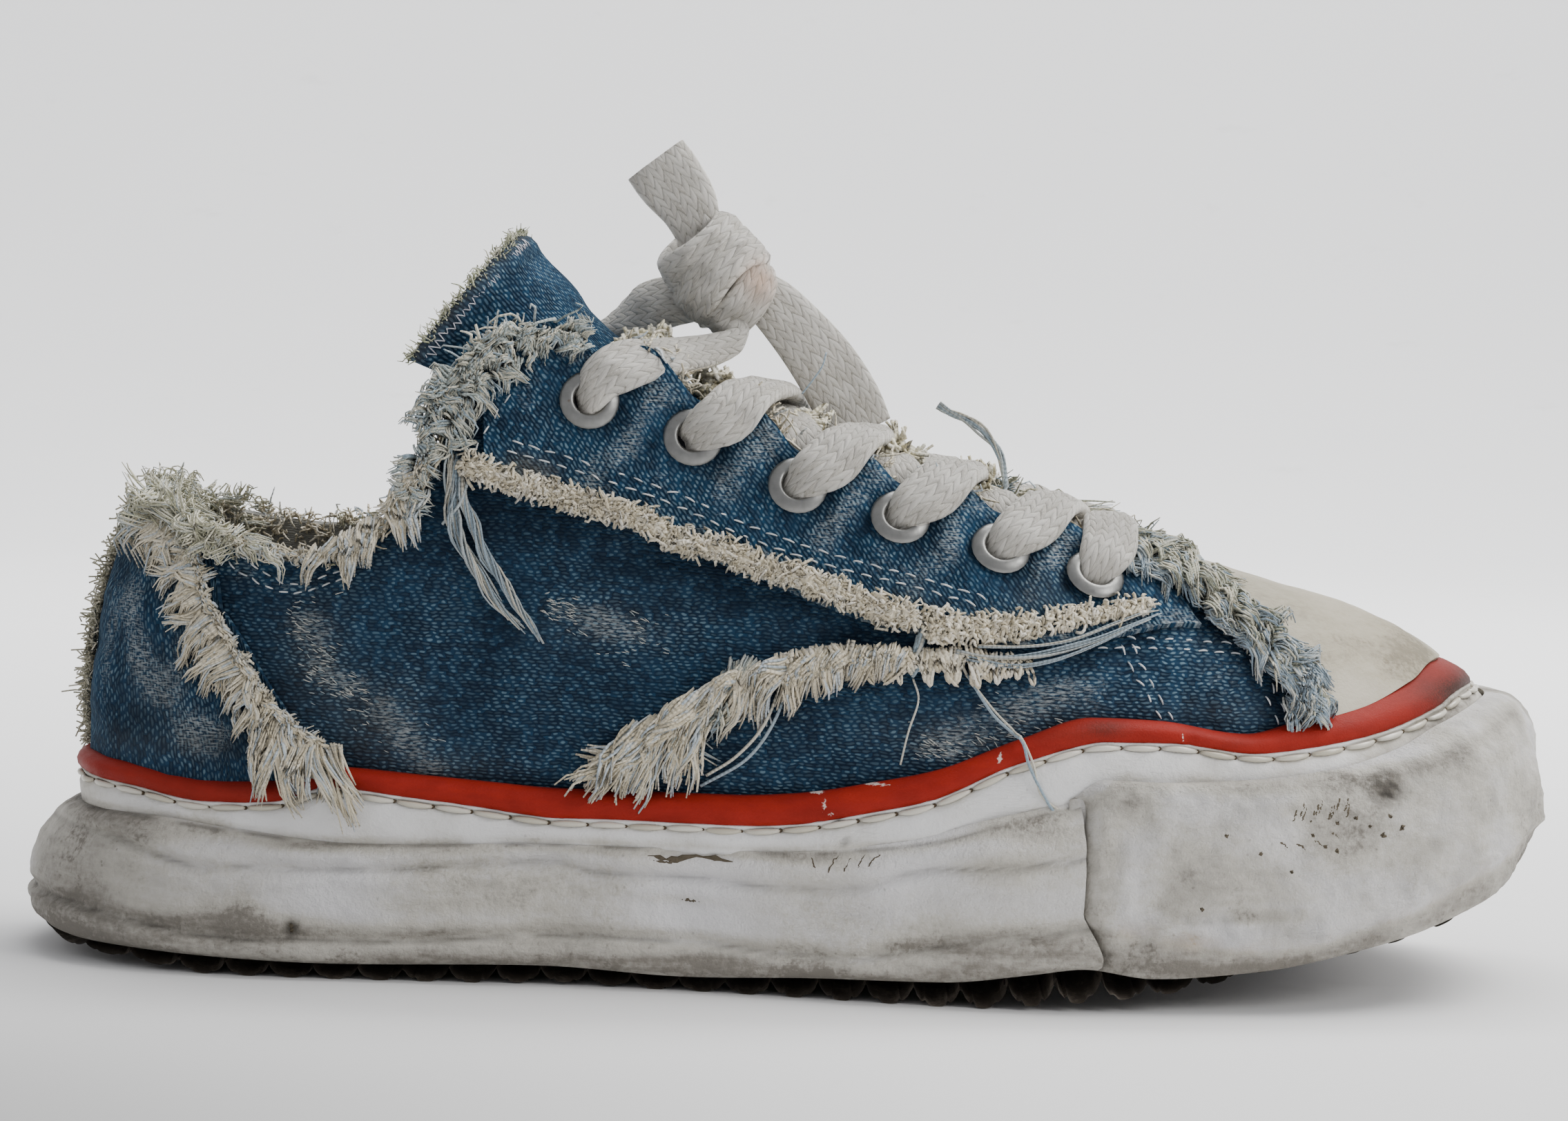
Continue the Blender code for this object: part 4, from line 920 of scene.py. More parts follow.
def denseProfile(rows, count):
    # spline through the rows of a profile, its points spread evenly
    return smoothRows(np.array(rows) * (1, 0.5), count) / (1, 0.5)


def pushOut(points, place, amount):
    # move points level, square to the sole's outline
    moved = points.copy()
    moved[..., :2] += outward(soleRing, place) * amount[..., None]
    return moved


def patches(points, spots):
    # blobs on the outer side only
    return blobs(sideView(points), spots) * (points[..., 1] < 0)


def grooveShift(place, height):
    # how far the groove between sole and bumper leans at a height, in places
    lean = np.interp(height, [8, 11, 18.4, 25.8, 34, 41], [2.0, 1.2, -2.8, -2.2, -1.5, 0.2]) * 0.029
    front = soles["groove"][1]
    return lean * (bell(place - front, 0.4) - bell(place - (around - front), 0.4))


def makeRubber(name, look):
    # old rubber: dirt where the marks say, broken up by cloudy noise, the marks also carrying painted shade;
    # fine pits and scratches in the height
    finish, tree, inputs = newFinish(name, Specular_IOR_Level=0.4, Subsurface_Weight=0.0)
    place, dirt = objectMm(tree), markOf(tree, "dirt")
    fine = useGroup("grime", place, Size=3.6, Amount=0.5)
    cloudy = useGroup("grime", place, Size=14.0, Amount=0.55)["Dirt"] * 0.5 + fine["Dirt"] * 0.3 + 0.25
    streaks = noise(stretched(place, (0.16, 0.16, 0.7)), 0.6, 4.0, 0.65) * 0.7 + cloudy
    amount = (dirt * (noise(place, 0.7, 4.0, 0.6) * 0.8 + 0.55)).maths("MULTIPLY", streaks, clamp=True)
    tone = blended(smoothMask(amount, 0.0, 0.42), look["clean"], look["warm"])
    tone = blended(smoothMask(amount, 0.28, 0.95), tone, look["dirty"])
    tanned = markOf(tree, "tan") * (fine["Dirt"] * 0.5 + 0.3)
    tone = blended(tanned.maths("MINIMUM", 0.8), tone, look["tan"])
    tone = blended(fine["Specks"] * (dirt * 0.6 + 0.15), tone, look["dirty"])
    # the dark mark: painted shade in creases, cracks and grooves, and dark smudges
    blended(markOf(tree, "dark").maths("MINIMUM", 0.95), tone, look["dark"]).to(inputs["Base Color"])
    (amount * 0.25 + look["roughness"]).to(inputs["Roughness"])
    scratches = useGroup("scratches", place, Turn=(0.2, 0.3, 0.1), Length=5.0)["Mask"]
    grain = noise(place, 0.7, 3.0, 0.55) * 1.6 + noise(place, 2.2, 4.0, 0.62)
    giveBump(inputs, scratches * -0.5 + (fine["Grain"] * 0.6 + grain), look["bump"], 0.55)
    return finish


def addMarks(name, wall, cracks, blots, seed):
    # thin dark lines and ragged blots lying flush on the outer side of a wall; on the midsole the lines along
    # its cracks and the blot in its pit are painted shade, the other blots stains
    dice = np.random.default_rng(seed)
    flat = wall.reshape(-1, 3)
    flat = flat[flat[:, 1] < -4]
    paths, radii = [], []
    for line, radius in [(line, 0.26) for line in cracks] + blots:
        track = smoothRows(line, 15)
        track = track + dice.normal(0, 0.07, track.shape)
        weight = bell(np.linalg.norm(track[:, None] - sideView(flat)[None], axis=-1), 0.6) + 1e-12
        y = (weight * flat[:, 1]).sum(1) / weight.sum(1)
        paths.append(np.column_stack([track[:, 0], y + 0.02, track[:, 1]]))
        rough = radius * (0.35 + dice.uniform(0, 0.9, 15)) if radius > 0.3 else radius * dice.uniform(0.5,
                                                                                                      1.2, 15)
        radii.append(rough * np.sin(np.linspace(0.12, math.pi - 0.12, 15)) ** 0.4)
    finish, tree, inputs = newFinish("markShade" + name, Roughness=0.95, Specular_IOR_Level=0.1)
    tone = blended(noise(objectMm(tree), 1.4, 3.0), (0.05, 0.042, 0.03), (0.15, 0.125, 0.09))
    tone.to(inputs["Base Color"])
    addStrands(name, np.array(paths), np.array(radii), finish, None, 6, 0.22, (0, 1, 0))


def dirtAndShadeOnSole(points):
    # dirt and painted shade: more low down, in the creases and under the lip; painted shade towards the heel;
    # dirt in patches
    x, z = points[:, 0], points[:, 2]
    fold = lineAt(soles["lowerCrease"], x)
    dirt = 0.42 * bell(z - fold - 1.5, 1.4) + 0.4 * bumpBetween(fold - z, 1.5, 4.5)
    dirt += 0.35 * bell(z - level("lip", x) + 0.6, 0.9) + 0.24
    dirt += 0.2 * waves(points, 30, 8) * bumpBetween(z, 4, 12)
    dirt += patches(points, soles["dirt"]) + 0.2 * (points[:, 1] > 0) * (1 + waves(points, 25, 9))
    # darker towards the heel, which is painted shade, and below the lower crease
    dirt += 0.3 * bumpBetween(x, 95, 12) + 0.5 * bumpBetween(fold - z, -0.5, 1.0)
    return np.clip(dirt, 0, 1.4)


def paintedShadeOnSole(points):
    # painted shade: dark lines in the creases and under the lip, a dark pit, and a greyer back half
    x, z = points[:, 0], points[:, 2]
    broken = 0.6 + 0.8 * waves(points, 9, 7)
    dark = patches(points, [(*soles["pit"], 1.1, 1.7, 1.0)])
    dark += np.clip(broken, 0, 1) * (0.34 * bell(z - lineAt(soles["upperCrease"], x), 0.4)
                                     + 0.5 * bell(z - lineAt(soles["lowerCrease"], x) - 0.5, 0.38))
    dark += 0.55 * bell(z - level("lip", x) + 0.1, 0.4) * np.clip(broken + 0.2, 0, 1)
    # painted shade of the heel's shadow over the back half
    dark += 0.17 * bumpBetween(x, 125, 12) * (0.75 + 0.25 * waves(points, 26, 10))
    return np.clip(dark, 0, 1)


def makeMidsole():
    place = np.linspace(0, around, soles["columns"], endpoint=False)
    x = closedSpline(soleRing, place)[:, 0]
    end = soles["groove"][0]
    ahead = bumpBetween(np.minimum(place, around - place), end - 0.05, end)
    top, foot = level("lip", x) - 6.4 * (ahead > 0.98), level("foot", x)
    lip = roundUpper(place, top, soles["rim"])
    rows = []
    for row in denseProfile(soles["wall"], 46):
        ring = wallRing(place + grooveShift(place, foot + row[0] * (top - foot)), row, top, lip)
        tucked = roundUpper(place, ring[:, 2], soles["rim"])
        rows.append(ring * (1 - ahead[:, None] ** 2) + tucked * ahead[:, None] ** 2)
    wall = np.array(rows)
    seen, near = sideView(wall), wall[..., 1] < 0
    above = seen[..., 1] - lineAt(soles["upperCrease"], seen[..., 0])
    below = lineAt(soles["lowerCrease"], seen[..., 0]) - seen[..., 1]
    share = np.where(near, 1, 0.75)
    relief = 0.55 * waves(wall, 34, 3) + 0.22 * waves(wall, 11, 4) + 0.1 * waves(wall, 4, 5)
    relief += share * bumpBetween(seen[..., 0], 2, 24) * (
        0.9 * bell(above - 2.6, 1.9) - bell(above, 0.85) + 0.35 * bell(above + 2.6, 1.6)
        - 0.3 * bell(above + 4.5 + 2.0 * waves(wall, 7, 6), 0.9))
    relief += share * (1.25 * bumpBetween(below, -0.4, 0.5) - 0.8 * bell(below + 0.9, 1.2))
    relief -= near * 0.5 * (nearLine(seen, soles["shortCrease"], 0.9) + nearLine(seen, soles["slantCrease"],
                                                                                 1.1))
    relief -= patches(wall, [(*soles["pit"], 1.0, 1.5, 1.1)])
    wall = pushOut(wall, place, relief * (1 - ahead) * bumpBetween(np.linspace(0, 1, 46), 0, 0.12)[:, None])
    under = wall[0].copy()
    under[:, :2] -= 8.0 * outward(soleRing, place)
    under[:, 2] = undersideOf(under[:, 0])
    wall[0][:, 2] = np.where(ahead > 0.5, undersideOf(wall[0][:, 0]), wall[0][:, 2])
    bed = level("bed", lastX(place))
    inside = [roundUpper(place, bed + share * (top - bed), 0.4) for share in (0.97, 0.5, 0.0)]
    rows = np.concatenate([[under], wall, inside, [roundUpper(place, bed, -5.0)]])
    points = rows.reshape(-1, 3)
    addPiece("midsoleRubber", points, closedHull(*rows.shape[:2]), makeRubber("whiteRubber", rubberLook),
             None, {"dirt": dirtAndShadeOnSole(points), "dark": paintedShadeOnSole(points)}, ["midsole"], sharp=70)
    addMarks("soleMarks", wall, soles["cracks"], soles["blots"], 8)


def makeBumper():
    start = soles["groove"][1]
    place = start + (around - 2 * start) * np.linspace(0, 1, 300)
    x = closedSpline(soleRing, place)[:, 0]
    top, foot = level("lip", x), level("foot", x)
    inner = roundUpper(place, top + 0.8, soles["rim"] + 0.72)
    wall = np.array([wallRing(place + grooveShift(place, foot + row[0] * (top - foot)), row, top, inner)
                     for row in denseProfile(soles["bumper"], 40)])
    seen, near = sideView(wall), wall[..., 1] < 0
    below = lineAt(soles["toeCrease"], seen[..., 0]) - seen[..., 1]
    fromEnd = np.minimum(place - start, around - start - place)
    rounded = 1 - np.clip(fromEnd / 0.1, 0, 1)
    relief = 0.45 * waves(wall, 30, 13) + 0.2 * waves(wall, 9, 14) + 0.12 * waves(wall, 3.4, 15)
    relief += 0.5 * bell(fromEnd - 0.12, 0.07)
    relief -= 0.8 * bumpBetween(below, -1.0, 1.2) - 0.55 * bell(below + 1.2, 1.0)
    relief += near * (0.55 * nearLine(seen, soles["toeFold"], 1.5) - 0.5 * nearLine(seen, soles["toeDent"],
                                                                                    1.2))
    relief -= 2.0 * bumpBetween(seen[..., 0], 284, 300)
    keep = bumpBetween(np.linspace(0, 1, 40), 0, 0.08)[:, None]
    wall = pushOut(wall, place, relief * keep - 4.2 * (1 - np.sqrt(1 - rounded**2)))
    backs = [roundUpper(place, foot + share * (top + 0.8 - foot), soles["rim"] + 0.7)
             for share in (0.98, 0.7, 0.4, 0.0)]
    backs[-1][:, 2] = undersideOf(backs[-1][:, 0])
    points = np.swapaxes(np.concatenate([wall, backs]), 0, 1)
    count, loop = points.shape[:2]
    points = points.reshape(-1, 3)
    x, z = points[:, 0], points[:, 2]
    fold, fromEnd = lineAt(soles["toeCrease"], x), np.repeat(fromEnd, loop)
    dirt = 0.3 + 0.4 * bell(z - level("lip", x), 1.4) + 0.16 * waves(points, 22, 17)
    dirt += 0.75 * bumpBetween(fold - z, 0.0, 2.5) + patches(points, soles["toeDirt"]) + 0.35 * bell(fromEnd,
                                                                                                     0.1)
    dirt += 0.35 * (points[:, 1] > 0) * (1 + 0.6 * waves(points, 25, 19))
    tan = bell(z - fold + 0.2, 1.6) * (0.55 + 0.45 * waves(points, 7, 18)) * (0.35 + 0.9 * bell(x - 220, 16))
    dark = patches(points, soles["toeDark"]) * np.clip(0.75 + 0.6 * waves(points, 2.2, 20), 0, 1.2)
    dark += 0.09 + 0.12 * np.clip(waves(points, 11, 21), 0, 1) + 0.1 * np.clip(waves(points, 5, 22), 0, 1)
    # painted shade at the bumper's ends, beside the groove to the midsole
    dark += 0.3 * bell(fromEnd, 0.03)
    addPiece("toeBumperRubber", points, closedTube(count, loop), makeRubber("bumperRubber", rubberLook),
             None, {"dirt": np.clip(dirt, 0, 1.5), "dark": np.clip(dark, 0, 1),
                                  "tan": np.clip(tan, 0, 1)}, ["toe_bumper"], sharp=70)
    strokes = np.array([(243.5 + step * 1.05 + 0.4 * math.sin(step * 2.3),
                         37.4 + 0.16 * step + 0.9 * math.sin(step * 1.7)) for step in range(11)])
    scratches = [[(a - 0.35, b - 1.2), (a + 0.1, b), (a + 0.4, b + 1.3)] for a, b in strokes]
    scratches += [[(a, b), (a + 0.9, b - 0.3), (a + 1.6, b - 1.1)] for a, b in strokes[::3] - (3, 5)]
    dots = [([(a - 0.35 * r, b), (a + 0.35 * r, b)], r * 1.25) for a, b, r in soles["dots"]]
    addMarks("bumperMarks", wall, scratches, dots, 9)


def makeWelt():
    place = np.linspace(0, around, soles["columns"], endpoint=False)
    x = closedSpline(soleRing, place)[:, 0]
    ahead = np.minimum(place, around - place) > soles["groove"][0]
    low = level("lip", x) + np.where(ahead, -6.0, -0.9)
    high = level("stripeLow", lastX(place)) + 0.3
    rows = []
    for share in np.concatenate([np.linspace(0, 0.74, 7), np.linspace(0.78, 1, 13)]):
        height = low + share * (high - low)
        below = high - height
        out = np.interp(share, [0, 0.1, 0.3, 0.6, 0.86, 1], [4.1, 4.42, 4.45, 4.3, 3.9, 3.7])
        rows.append(roundUpper(place, height, out - 0.75 * bell(below - 1.35, 0.62) - 0.9 * bell(below + 0.1,
                                                                                                 0.35)))
    rows = np.array(rows)
    rows = pushOut(rows, place, 0.16 * waves(rows, 22, 23) + 0.08 * waves(rows, 6, 24))
    crack = nearLine(sideView(rows), soles["weltCrack"], 0.3) * (rows[..., 1] < 0)
    rows = pushOut(rows, place, -0.5 * crack)
    rows = np.concatenate([rows, [roundUpper(place, edge, 0.4) for edge in (high, low)]])
    points = rows.reshape(-1, 3)
    x, z = points[:, 0], points[:, 2]
    dirt = 0.1 + 0.5 * bell(level("stripeLow", x) - z - 1.0, 0.55) + 0.4 * bell(z - level("lip", x) - 0.6,
                                                                                0.8)
    dirt += 0.8 * bell(x - 276, 14) + 0.5 * bell(x - 12, 9) + 0.12 * waves(points, 18, 25)
    # painted shade in the crack
    dark = 0.8 * nearLine(sideView(points), soles["weltCrack"], 0.26) * (points[:, 1] < 0)
    addPiece("weltRubber", points, gridQuads(*rows.shape[:2], True, True), makeRubber("weltRubber", weltLook),
             None, {"dirt": np.clip(dirt, 0, 1.3), "dark": dark, "tan": 0.25 * bell(x - 250, 20)},
             ["welt"], 60)


soleStitches = {"pitch": 7.3, "length": 6.6, "radius": 0.62, "below": 1.35}


def markShade(tree):
    # the second uv value of a strand is its own shade
    return addNode(tree, "SeparateXYZ", {0: uvMm(tree)})[1]


def makeSoleStitches():
    # shining twisted thread along the groove, a dark hole between each two stitches
    def inGroove(place, out, sag=0.0):
        return roundUpper(place, level("stripeLow", lastX(place)) + 0.3 - soleStitches["below"] + sag, out)

    dense = np.linspace(0, around, 2000)
    run = runAlong(inGroove(dense, 3.75))
    count = int(run[-1] / soleStitches["pitch"])
    starts = np.arange(count) * run[-1] / count
    steps = np.linspace(0, 1, 9)
    arch = np.sin(math.pi * steps)
    places = np.interp(starts[:, None] + 0.3 + soleStitches["length"] * steps, run, dense)
    dice = np.random.default_rng(6)
    sag = dice.normal(0, 0.1, (count, 1)) * arch
    out = 3.3 + 0.8 * arch**0.6 + 0 * places
    paths = inGroove(places.ravel(), out.ravel(), sag.ravel()).reshape(count, len(steps), 3)
    radius = soleStitches["radius"] * (0.55 + 0.45 * arch) + 0 * places
    finish, tree, inputs = newFinish("waxedThread", Roughness=0.32, Specular_IOR_Level=0.6, Coat_Weight=0.3)
    blended(markShade(tree), (0.5, 0.46, 0.36), (0.66, 0.63, 0.55)).to(inputs["Base Color"])
    addStrands("soleStitches", paths, radius, finish, dice.uniform(0, 1, count), 6)
    # the holes are short dark strands: painted shade
    holes = np.interp((starts - 0.35) % run[-1], run, dense)
    centre, outer = inGroove(holes, 3.3), inGroove(holes, 3.62)
    dark, tree, inputs = newFinish("holeShade", Roughness=1.0, Specular_IOR_Level=0.0)
    inputs["Base Color"].default_value = (0.08, 0.06, 0.04, 1)
    addStrands("stitchHoles", np.stack([centre, (centre + outer) / 2, outer], 1),
               np.tile([0.42, 0.4, 0.32], (count, 1)), dark, None, 8)


stripe = {
    "columns": 640, "bright": (0.40, 0.023, 0.013), "deep": (0.19, 0.011, 0.007),
    "chipped": (0.72, 0.6, 0.55), "stainAndShade": (0.05, 0.02, 0.015),
    # height share, distance from the upper
    "edge": [(0, 2.9), (0, 3.5), (0.12, 4.0), (0.35, 4.35), (0.6, 4.2), (0.82, 3.4), (0.96, 2.3), (1.0, 1.4)],
    "splits": [156.2, 176.0, 188.4, 222.6],
    # x, height, half length, half height, strength
    "chips": [(155.9, 37.0, 0.8, 1.6, 1), (157.4, 35.2, 1.5, 0.9, 1), (176.1, 42.2, 0.45, 1.9, 1),
              (188.6, 46.4, 0.4, 1.4, 1), (222.7, 51.4, 0.3, 1.8, 1), (241.8, 49.2, 0.4, 0.9, 1),
              (165, 40.6, 7.0, 0.35, 1), (154.3, 38.6, 2.2, 0.4, 1)],
    "dark": [(208.1, 52.4, 4.2, 1.6, 0.9), (200, 51.5, 8, 2.5, 0.35), (277, 58.5, 8, 3, 0.9),
             (284, 59, 6, 3, 0.9), (56, 36.5, 3, 0.9, 0.6), (232, 50, 8, 1, 0.3)],
}


def makeStripe():
    place = np.linspace(0, around, stripe["columns"], endpoint=False)
    low, high = level("stripeLow", lastX(place)), level("stripeHigh", lastX(place))
    rows = np.array([roundUpper(place, low + share * (high - low), out)
                     for share, out in smoothRows(stripe["edge"], 12)])
    relief = 0.18 * waves(rows, 17, 33) + 0.06 * waves(rows, 4, 34)
    for x in stripe["splits"]:
        relief -= 0.55 * bell(rows[..., 0] - x - 0.12 * (rows[..., 2] - 40), 0.4) * (rows[..., 1] < 0)
    relief += 0.22 * bumpBetween(abs(np.linspace(-1, 1, 12)), 0.7, 1)[:, None] * waves(rows, 2.4, 35)
    rows = pushOut(rows, place, relief)
    rows = np.concatenate([rows, [roundUpper(place, edge, 0.4) for edge in (high, low)]])
    points = rows.reshape(-1, 3)
    share = np.repeat(np.concatenate([np.linspace(0, 1, 12), [1, 0]]), len(place))
    # dark mark: stains in patches, and darker along the top edge
    dark = patches(points, stripe["dark"]) + 0.45 * bumpBetween(share, 0.86, 1.0)
    # darker on the inner side; painted shade towards the heel
    dark += 0.15 * (points[:, 1] > 0) + 0.3 * bumpBetween(points[:, 0], 80, 30)
    # painted shade along the bottom edge over the welt; darker and stained towards the toe
    dark += 0.5 * bumpBetween(0.1 - share, 0.0, 0.1) + 0.42 * bumpBetween(points[:, 0], 236, 280)
    finish, tree, inputs = newFinish("redRubber", Specular_IOR_Level=0.12)
    spot = objectMm(tree)
    fine = noise(spot, 2.6, 4.0, 0.65)
    tone = blended(noise(stretched(spot, (0.12, 0.12, 0.3)), 1.0, 3.0), stripe["deep"], stripe["bright"])
    # stains and painted shade, by the dark mark
    tone = blended(markOf(tree, "dark") * (fine * 0.9 + 0.2), tone, stripe["stainAndShade"])
    broken = smoothMask(markOf(tree, "chip") + fine, 1.12, 1.24)
    blended(broken.maths("MINIMUM", 0.9), tone, stripe["chipped"]).to(inputs["Base Color"])
    (fine * 0.3 + 0.36).to(inputs["Roughness"])
    giveBump(inputs, fine, 0.2, 0.6)
    addPiece("redStripe", points, gridQuads(*rows.shape[:2], True, True), finish, None,
             {"chip": np.clip(patches(points, stripe["chips"]), 0, 1), "dark": dark}, ["foxing_stripe"], 50)


outsole = {"pitch": 8.7, "rows": 560, "across": 30, "sheet": 0.3, "drop": 0.5}


def makeOutsole():
    # bottom height: three bands of half-round lugs across each half, each band set on by half a lug
    dense = np.linspace(0, around, 1401)
    edge = closedSpline(soleRing, dense)
    edge = edge - level("outsoleInset", edge[:, 0])[:, None] * outward(soleRing, dense)
    x = np.linspace(edge[:, 0].min() + 0.8, edge[:, 0].max() - 0.8, outsole["rows"])[:, None]
    low, high = lineAt(edge[:701], x), lineAt(edge[:699:-1], x)
    across = np.linspace(-1, 1, outsole["across"])[None]
    y = (low + high) / 2 + across * (high - low) / 2
    x = x + 0 * y
    band = np.floor(abs(across) * 2.49 + 0.5)
    within = abs(abs(across) * 2.49 - band) * 2
    within = np.where((band == 2) & (abs(across) > 0.8), 0, within)
    run = x / outsole["pitch"] + 0.5 * (band % 2) + 0.22 * waves(np.stack([x, y, 0 * x], -1), 60, 51)
    turn = abs(run - np.floor(run) - 0.5) * 2
    lug = np.sqrt(np.clip(1 - (1.04 * turn) ** 2, 0, 1)) * (1 - 0.22 * bumpBetween(abs(turn - 0.45), 0.12,
                                                                                   0.0))
    lug *= bumpBetween(1 - within, 0.0, 0.35) * (1 - 0.25 * bumpBetween(within, 0.4, 1))
    sheet = undersideOf(x) - outsole["drop"]
    depth = np.maximum(sheet - outsole["sheet"] - level("ground", x), 0.2)
    bottom = sheet - outsole["sheet"] - depth * lug
    rows = np.concatenate([np.stack([x, y, bottom], -1), np.stack([x, y, sheet], -1)[:, ::-21]], 1)
    finish, tree, inputs = newFinish("brownRubber", Roughness=0.7, Specular_IOR_Level=0.35)
    grime = useGroup("grime", objectMm(tree), Size=8.0, Amount=0.6)
    blended(grime["Dirt"], (0.075, 0.062, 0.05), (0.21, 0.18, 0.15)).to(inputs["Base Color"])
    giveBump(inputs, grime["Grain"], 0.3, 0.6)
    addPiece("luggedOutsole", rows, closedHull(*rows.shape[:2]), finish, None, None,
             ["outsole"], 40)


def makeInsole():
    place = np.linspace(0, around, 160, endpoint=False)
    edge = roundUpper(place, level("bed", lastX(place)) + 2.6, -2.4)
    spine = np.column_stack([np.clip(edge[:, 0], 32, 262), 0 * place, edge[:, 2]])
    spine[:, 2] = level("bed", spine[:, 0]) + 3.2
    shares = np.concatenate([[0], np.linspace(0.02, 1, 22) ** 1.2])
    rows = np.array([edge * (1 - share) + spine * share for share in shares])
    rows[..., 2] += 1.6 * bumpBetween(1 - shares, 0.82, 1.0)[:, None] + 0.25 * waves(rows, 18, 61)
    rows[-1] *= (1, 0, 1)
    rows = np.concatenate([[rows[0] - (0, 0, 3.4)], rows])
    finish, tree, inputs = newFinish("fleecedInsole", Roughness=0.95, Sheen_Weight=0.3,
                                     Specular_IOR_Level=0.1)
    spot = objectMm(tree)
    tone = blended(useGroup("grime", spot, Size=24.0, Amount=0.7)["Dirt"], (0.52, 0.47, 0.38),
                   (0.2, 0.17, 0.13))
    tone.to(inputs["Base Color"])
    giveBump(inputs, noise(spot, 2.0, 4.0), 0.5, 0.8)
    addPiece("footBed", rows, closedHull(*rows.shape[:2]), finish, None, None, ["insole"],
             0)


makeMidsole()
makeBumper()
makeWelt()
makeSoleStitches()
makeStripe()
makeOutsole()
makeInsole()
print("soles made")


# Upper


def neighbours(padded):
    return np.stack([padded[:-2, 1:-1], padded[2:, 1:-1], padded[1:-1, :-2], padded[1:-1, 2:]])


def makeSideMap(side):
    # y of the upper seen from one side, on a 1 mm grid of x and height; gaps take their neighbours' mean
    place = np.linspace(0, tip, 700)
    points = upperPoint((place if side < 0 else around - place)[:, None], np.linspace(0, 1, 300)[None])
    spot = np.round(sideView(points)).astype(int).reshape(-1, 2)
    grid = np.full((301, 141), -1e9)
    np.maximum.at(grid, (spot[:, 0], spot[:, 1]), (points[..., 1] * side).ravel())
    grid = np.where(grid > -1e8, grid, np.nan)
    for _ in range(60):
        near = neighbours(np.pad(grid, 1, constant_values=np.nan))
        known = ~np.isnan(near)
        mean = np.where(known, near, 0).sum(0) / np.maximum(known.sum(0), 1)
        grid = np.where(np.isnan(grid) & known.any(0), mean, grid)
    grid = np.nan_to_num(grid, nan=0.0)
    for _ in range(2):
        grid = (neighbours(np.pad(grid, 1, mode="edge")).sum(0) + 2 * grid) / 6
    return grid * side


sideMaps = {side: makeSideMap(side) for side in (-1, 1)}
sideNames = {-1: "Outer", 1: "Inner"}


def lookUp(grid, x, z):
    # value between the four nearest spots of a map
    x, z = np.clip(x, 0, 299.5), np.clip(z, 0, 139.5)
    i, j = x.astype(int), z.astype(int)
    s, t = x - i, z - j
    return ((grid[i, j] * (1 - s) + grid[i + 1, j] * s) * (1 - t)
            + (grid[i, j + 1] * (1 - s) + grid[i + 1, j + 1] * s) * t)


def onUpper(x, z, lift=0.0, side=-1):
    # point over the upper that shows at x, z from one side, lifted square to the surface
    x, z, lift = np.broadcast_arrays(*(np.asarray(value, float) for value in (x, z, lift)))
    grid = sideMaps[side]
    byX = (lookUp(grid, x + 1.5, z) - lookUp(grid, x - 1.5, z)) / 3
    byZ = (lookUp(grid, x, z + 1.5) - lookUp(grid, x, z - 1.5)) / 3
    out = unit(np.stack([-byX * side, np.full(x.shape, float(side)), -byZ * side], -1))
    return np.stack([x, lookUp(grid, x, z), z], -1) + out * lift[..., None]


denimLook = {"deep": (0.0045, 0.0165, 0.038), "mid": (0.0125, 0.050, 0.102), "weft": (0.115, 0.205, 0.27),
             "worn": (0.34, 0.38, 0.40), "dirt": (0.075, 0.065, 0.05), "dark": (0.003, 0.006, 0.012),
             "lining": (0.30, 0.30, 0.28), "liningWeft": (0.42, 0.42, 0.4)}


def makeDenim(name, turn, row, dash, stagger, pale=0.0):
    # indigo warp under rows of pale weft dashes; the marks add wear, shade, dirt and the lining's colour
    finish, tree, inputs = newFinish(name, Roughness=0.9, Specular_IOR_Level=0.08)
    look, uv, place, turn = denimLook, uvMm(tree), objectMm(tree), math.radians(turn)
    twill = useGroup("twill", uv, Turn=turn, Row=row, Dash=dash, Stagger=stagger)
    slub = noise(stretched(uv, (0.5, 0.08, 1), (0, 0, turn)), 1.0, 3.0)
    tint = slub * 0.7 + noise(place, 0.09, 4.0, 0.6) * 0.9 + twill["Cell"] * 0.5 - (0.7 - pale)
    tone = blended(smoothMask(tint, 0.0, 0.8), look["deep"], look["mid"])
    wear = markOf(tree, "wear") + pale
    fleck = twill["Weft"].maths("MULTIPLY", wear * 0.9 + tint * 0.45 + 0.3, clamp=True)
    tone = blended(fleck, tone, look["weft"])
    fibres = smoothMask(noise(stretched(uv, (0.5, 3.0, 1), (0, 0, 0.25)), 1.0, 3.0, 0.6), 0.44, 0.6)
    ragged = noise(place, 0.7, 4.0, 0.75) * 1.2 - 0.6
    rubbed = smoothMask(wear + ragged, 0.42, 0.95) * fibres * 0.8
    rubbed = rubbed.maths("ADD", twill["Weft"] * wear * 0.3, clamp=True)
    tone = blended(rubbed, tone, look["worn"])
    soiled = markOf(tree, "dirt") * (useGroup("grime", place, Size=16.0, Amount=0.4)["Dirt"] * 0.6 + 0.3)
    tone = blended(soiled.maths("MINIMUM", 0.8), tone, look["dirt"])
    tone = blended(markOf(tree, "dark").maths("MINIMUM", 0.85), tone, look["dark"])
    lining = blended(twill["Weft"], look["lining"], look["liningWeft"])
    blended(markOf(tree, "lining"), tone, lining).to(inputs["Base Color"])
    giveBump(inputs, noise(place, 3.0, 3.0, 0.7) * 0.35 + rubbed * 0.7 + twill["Height"], 0.32, 0.85)
    return finish


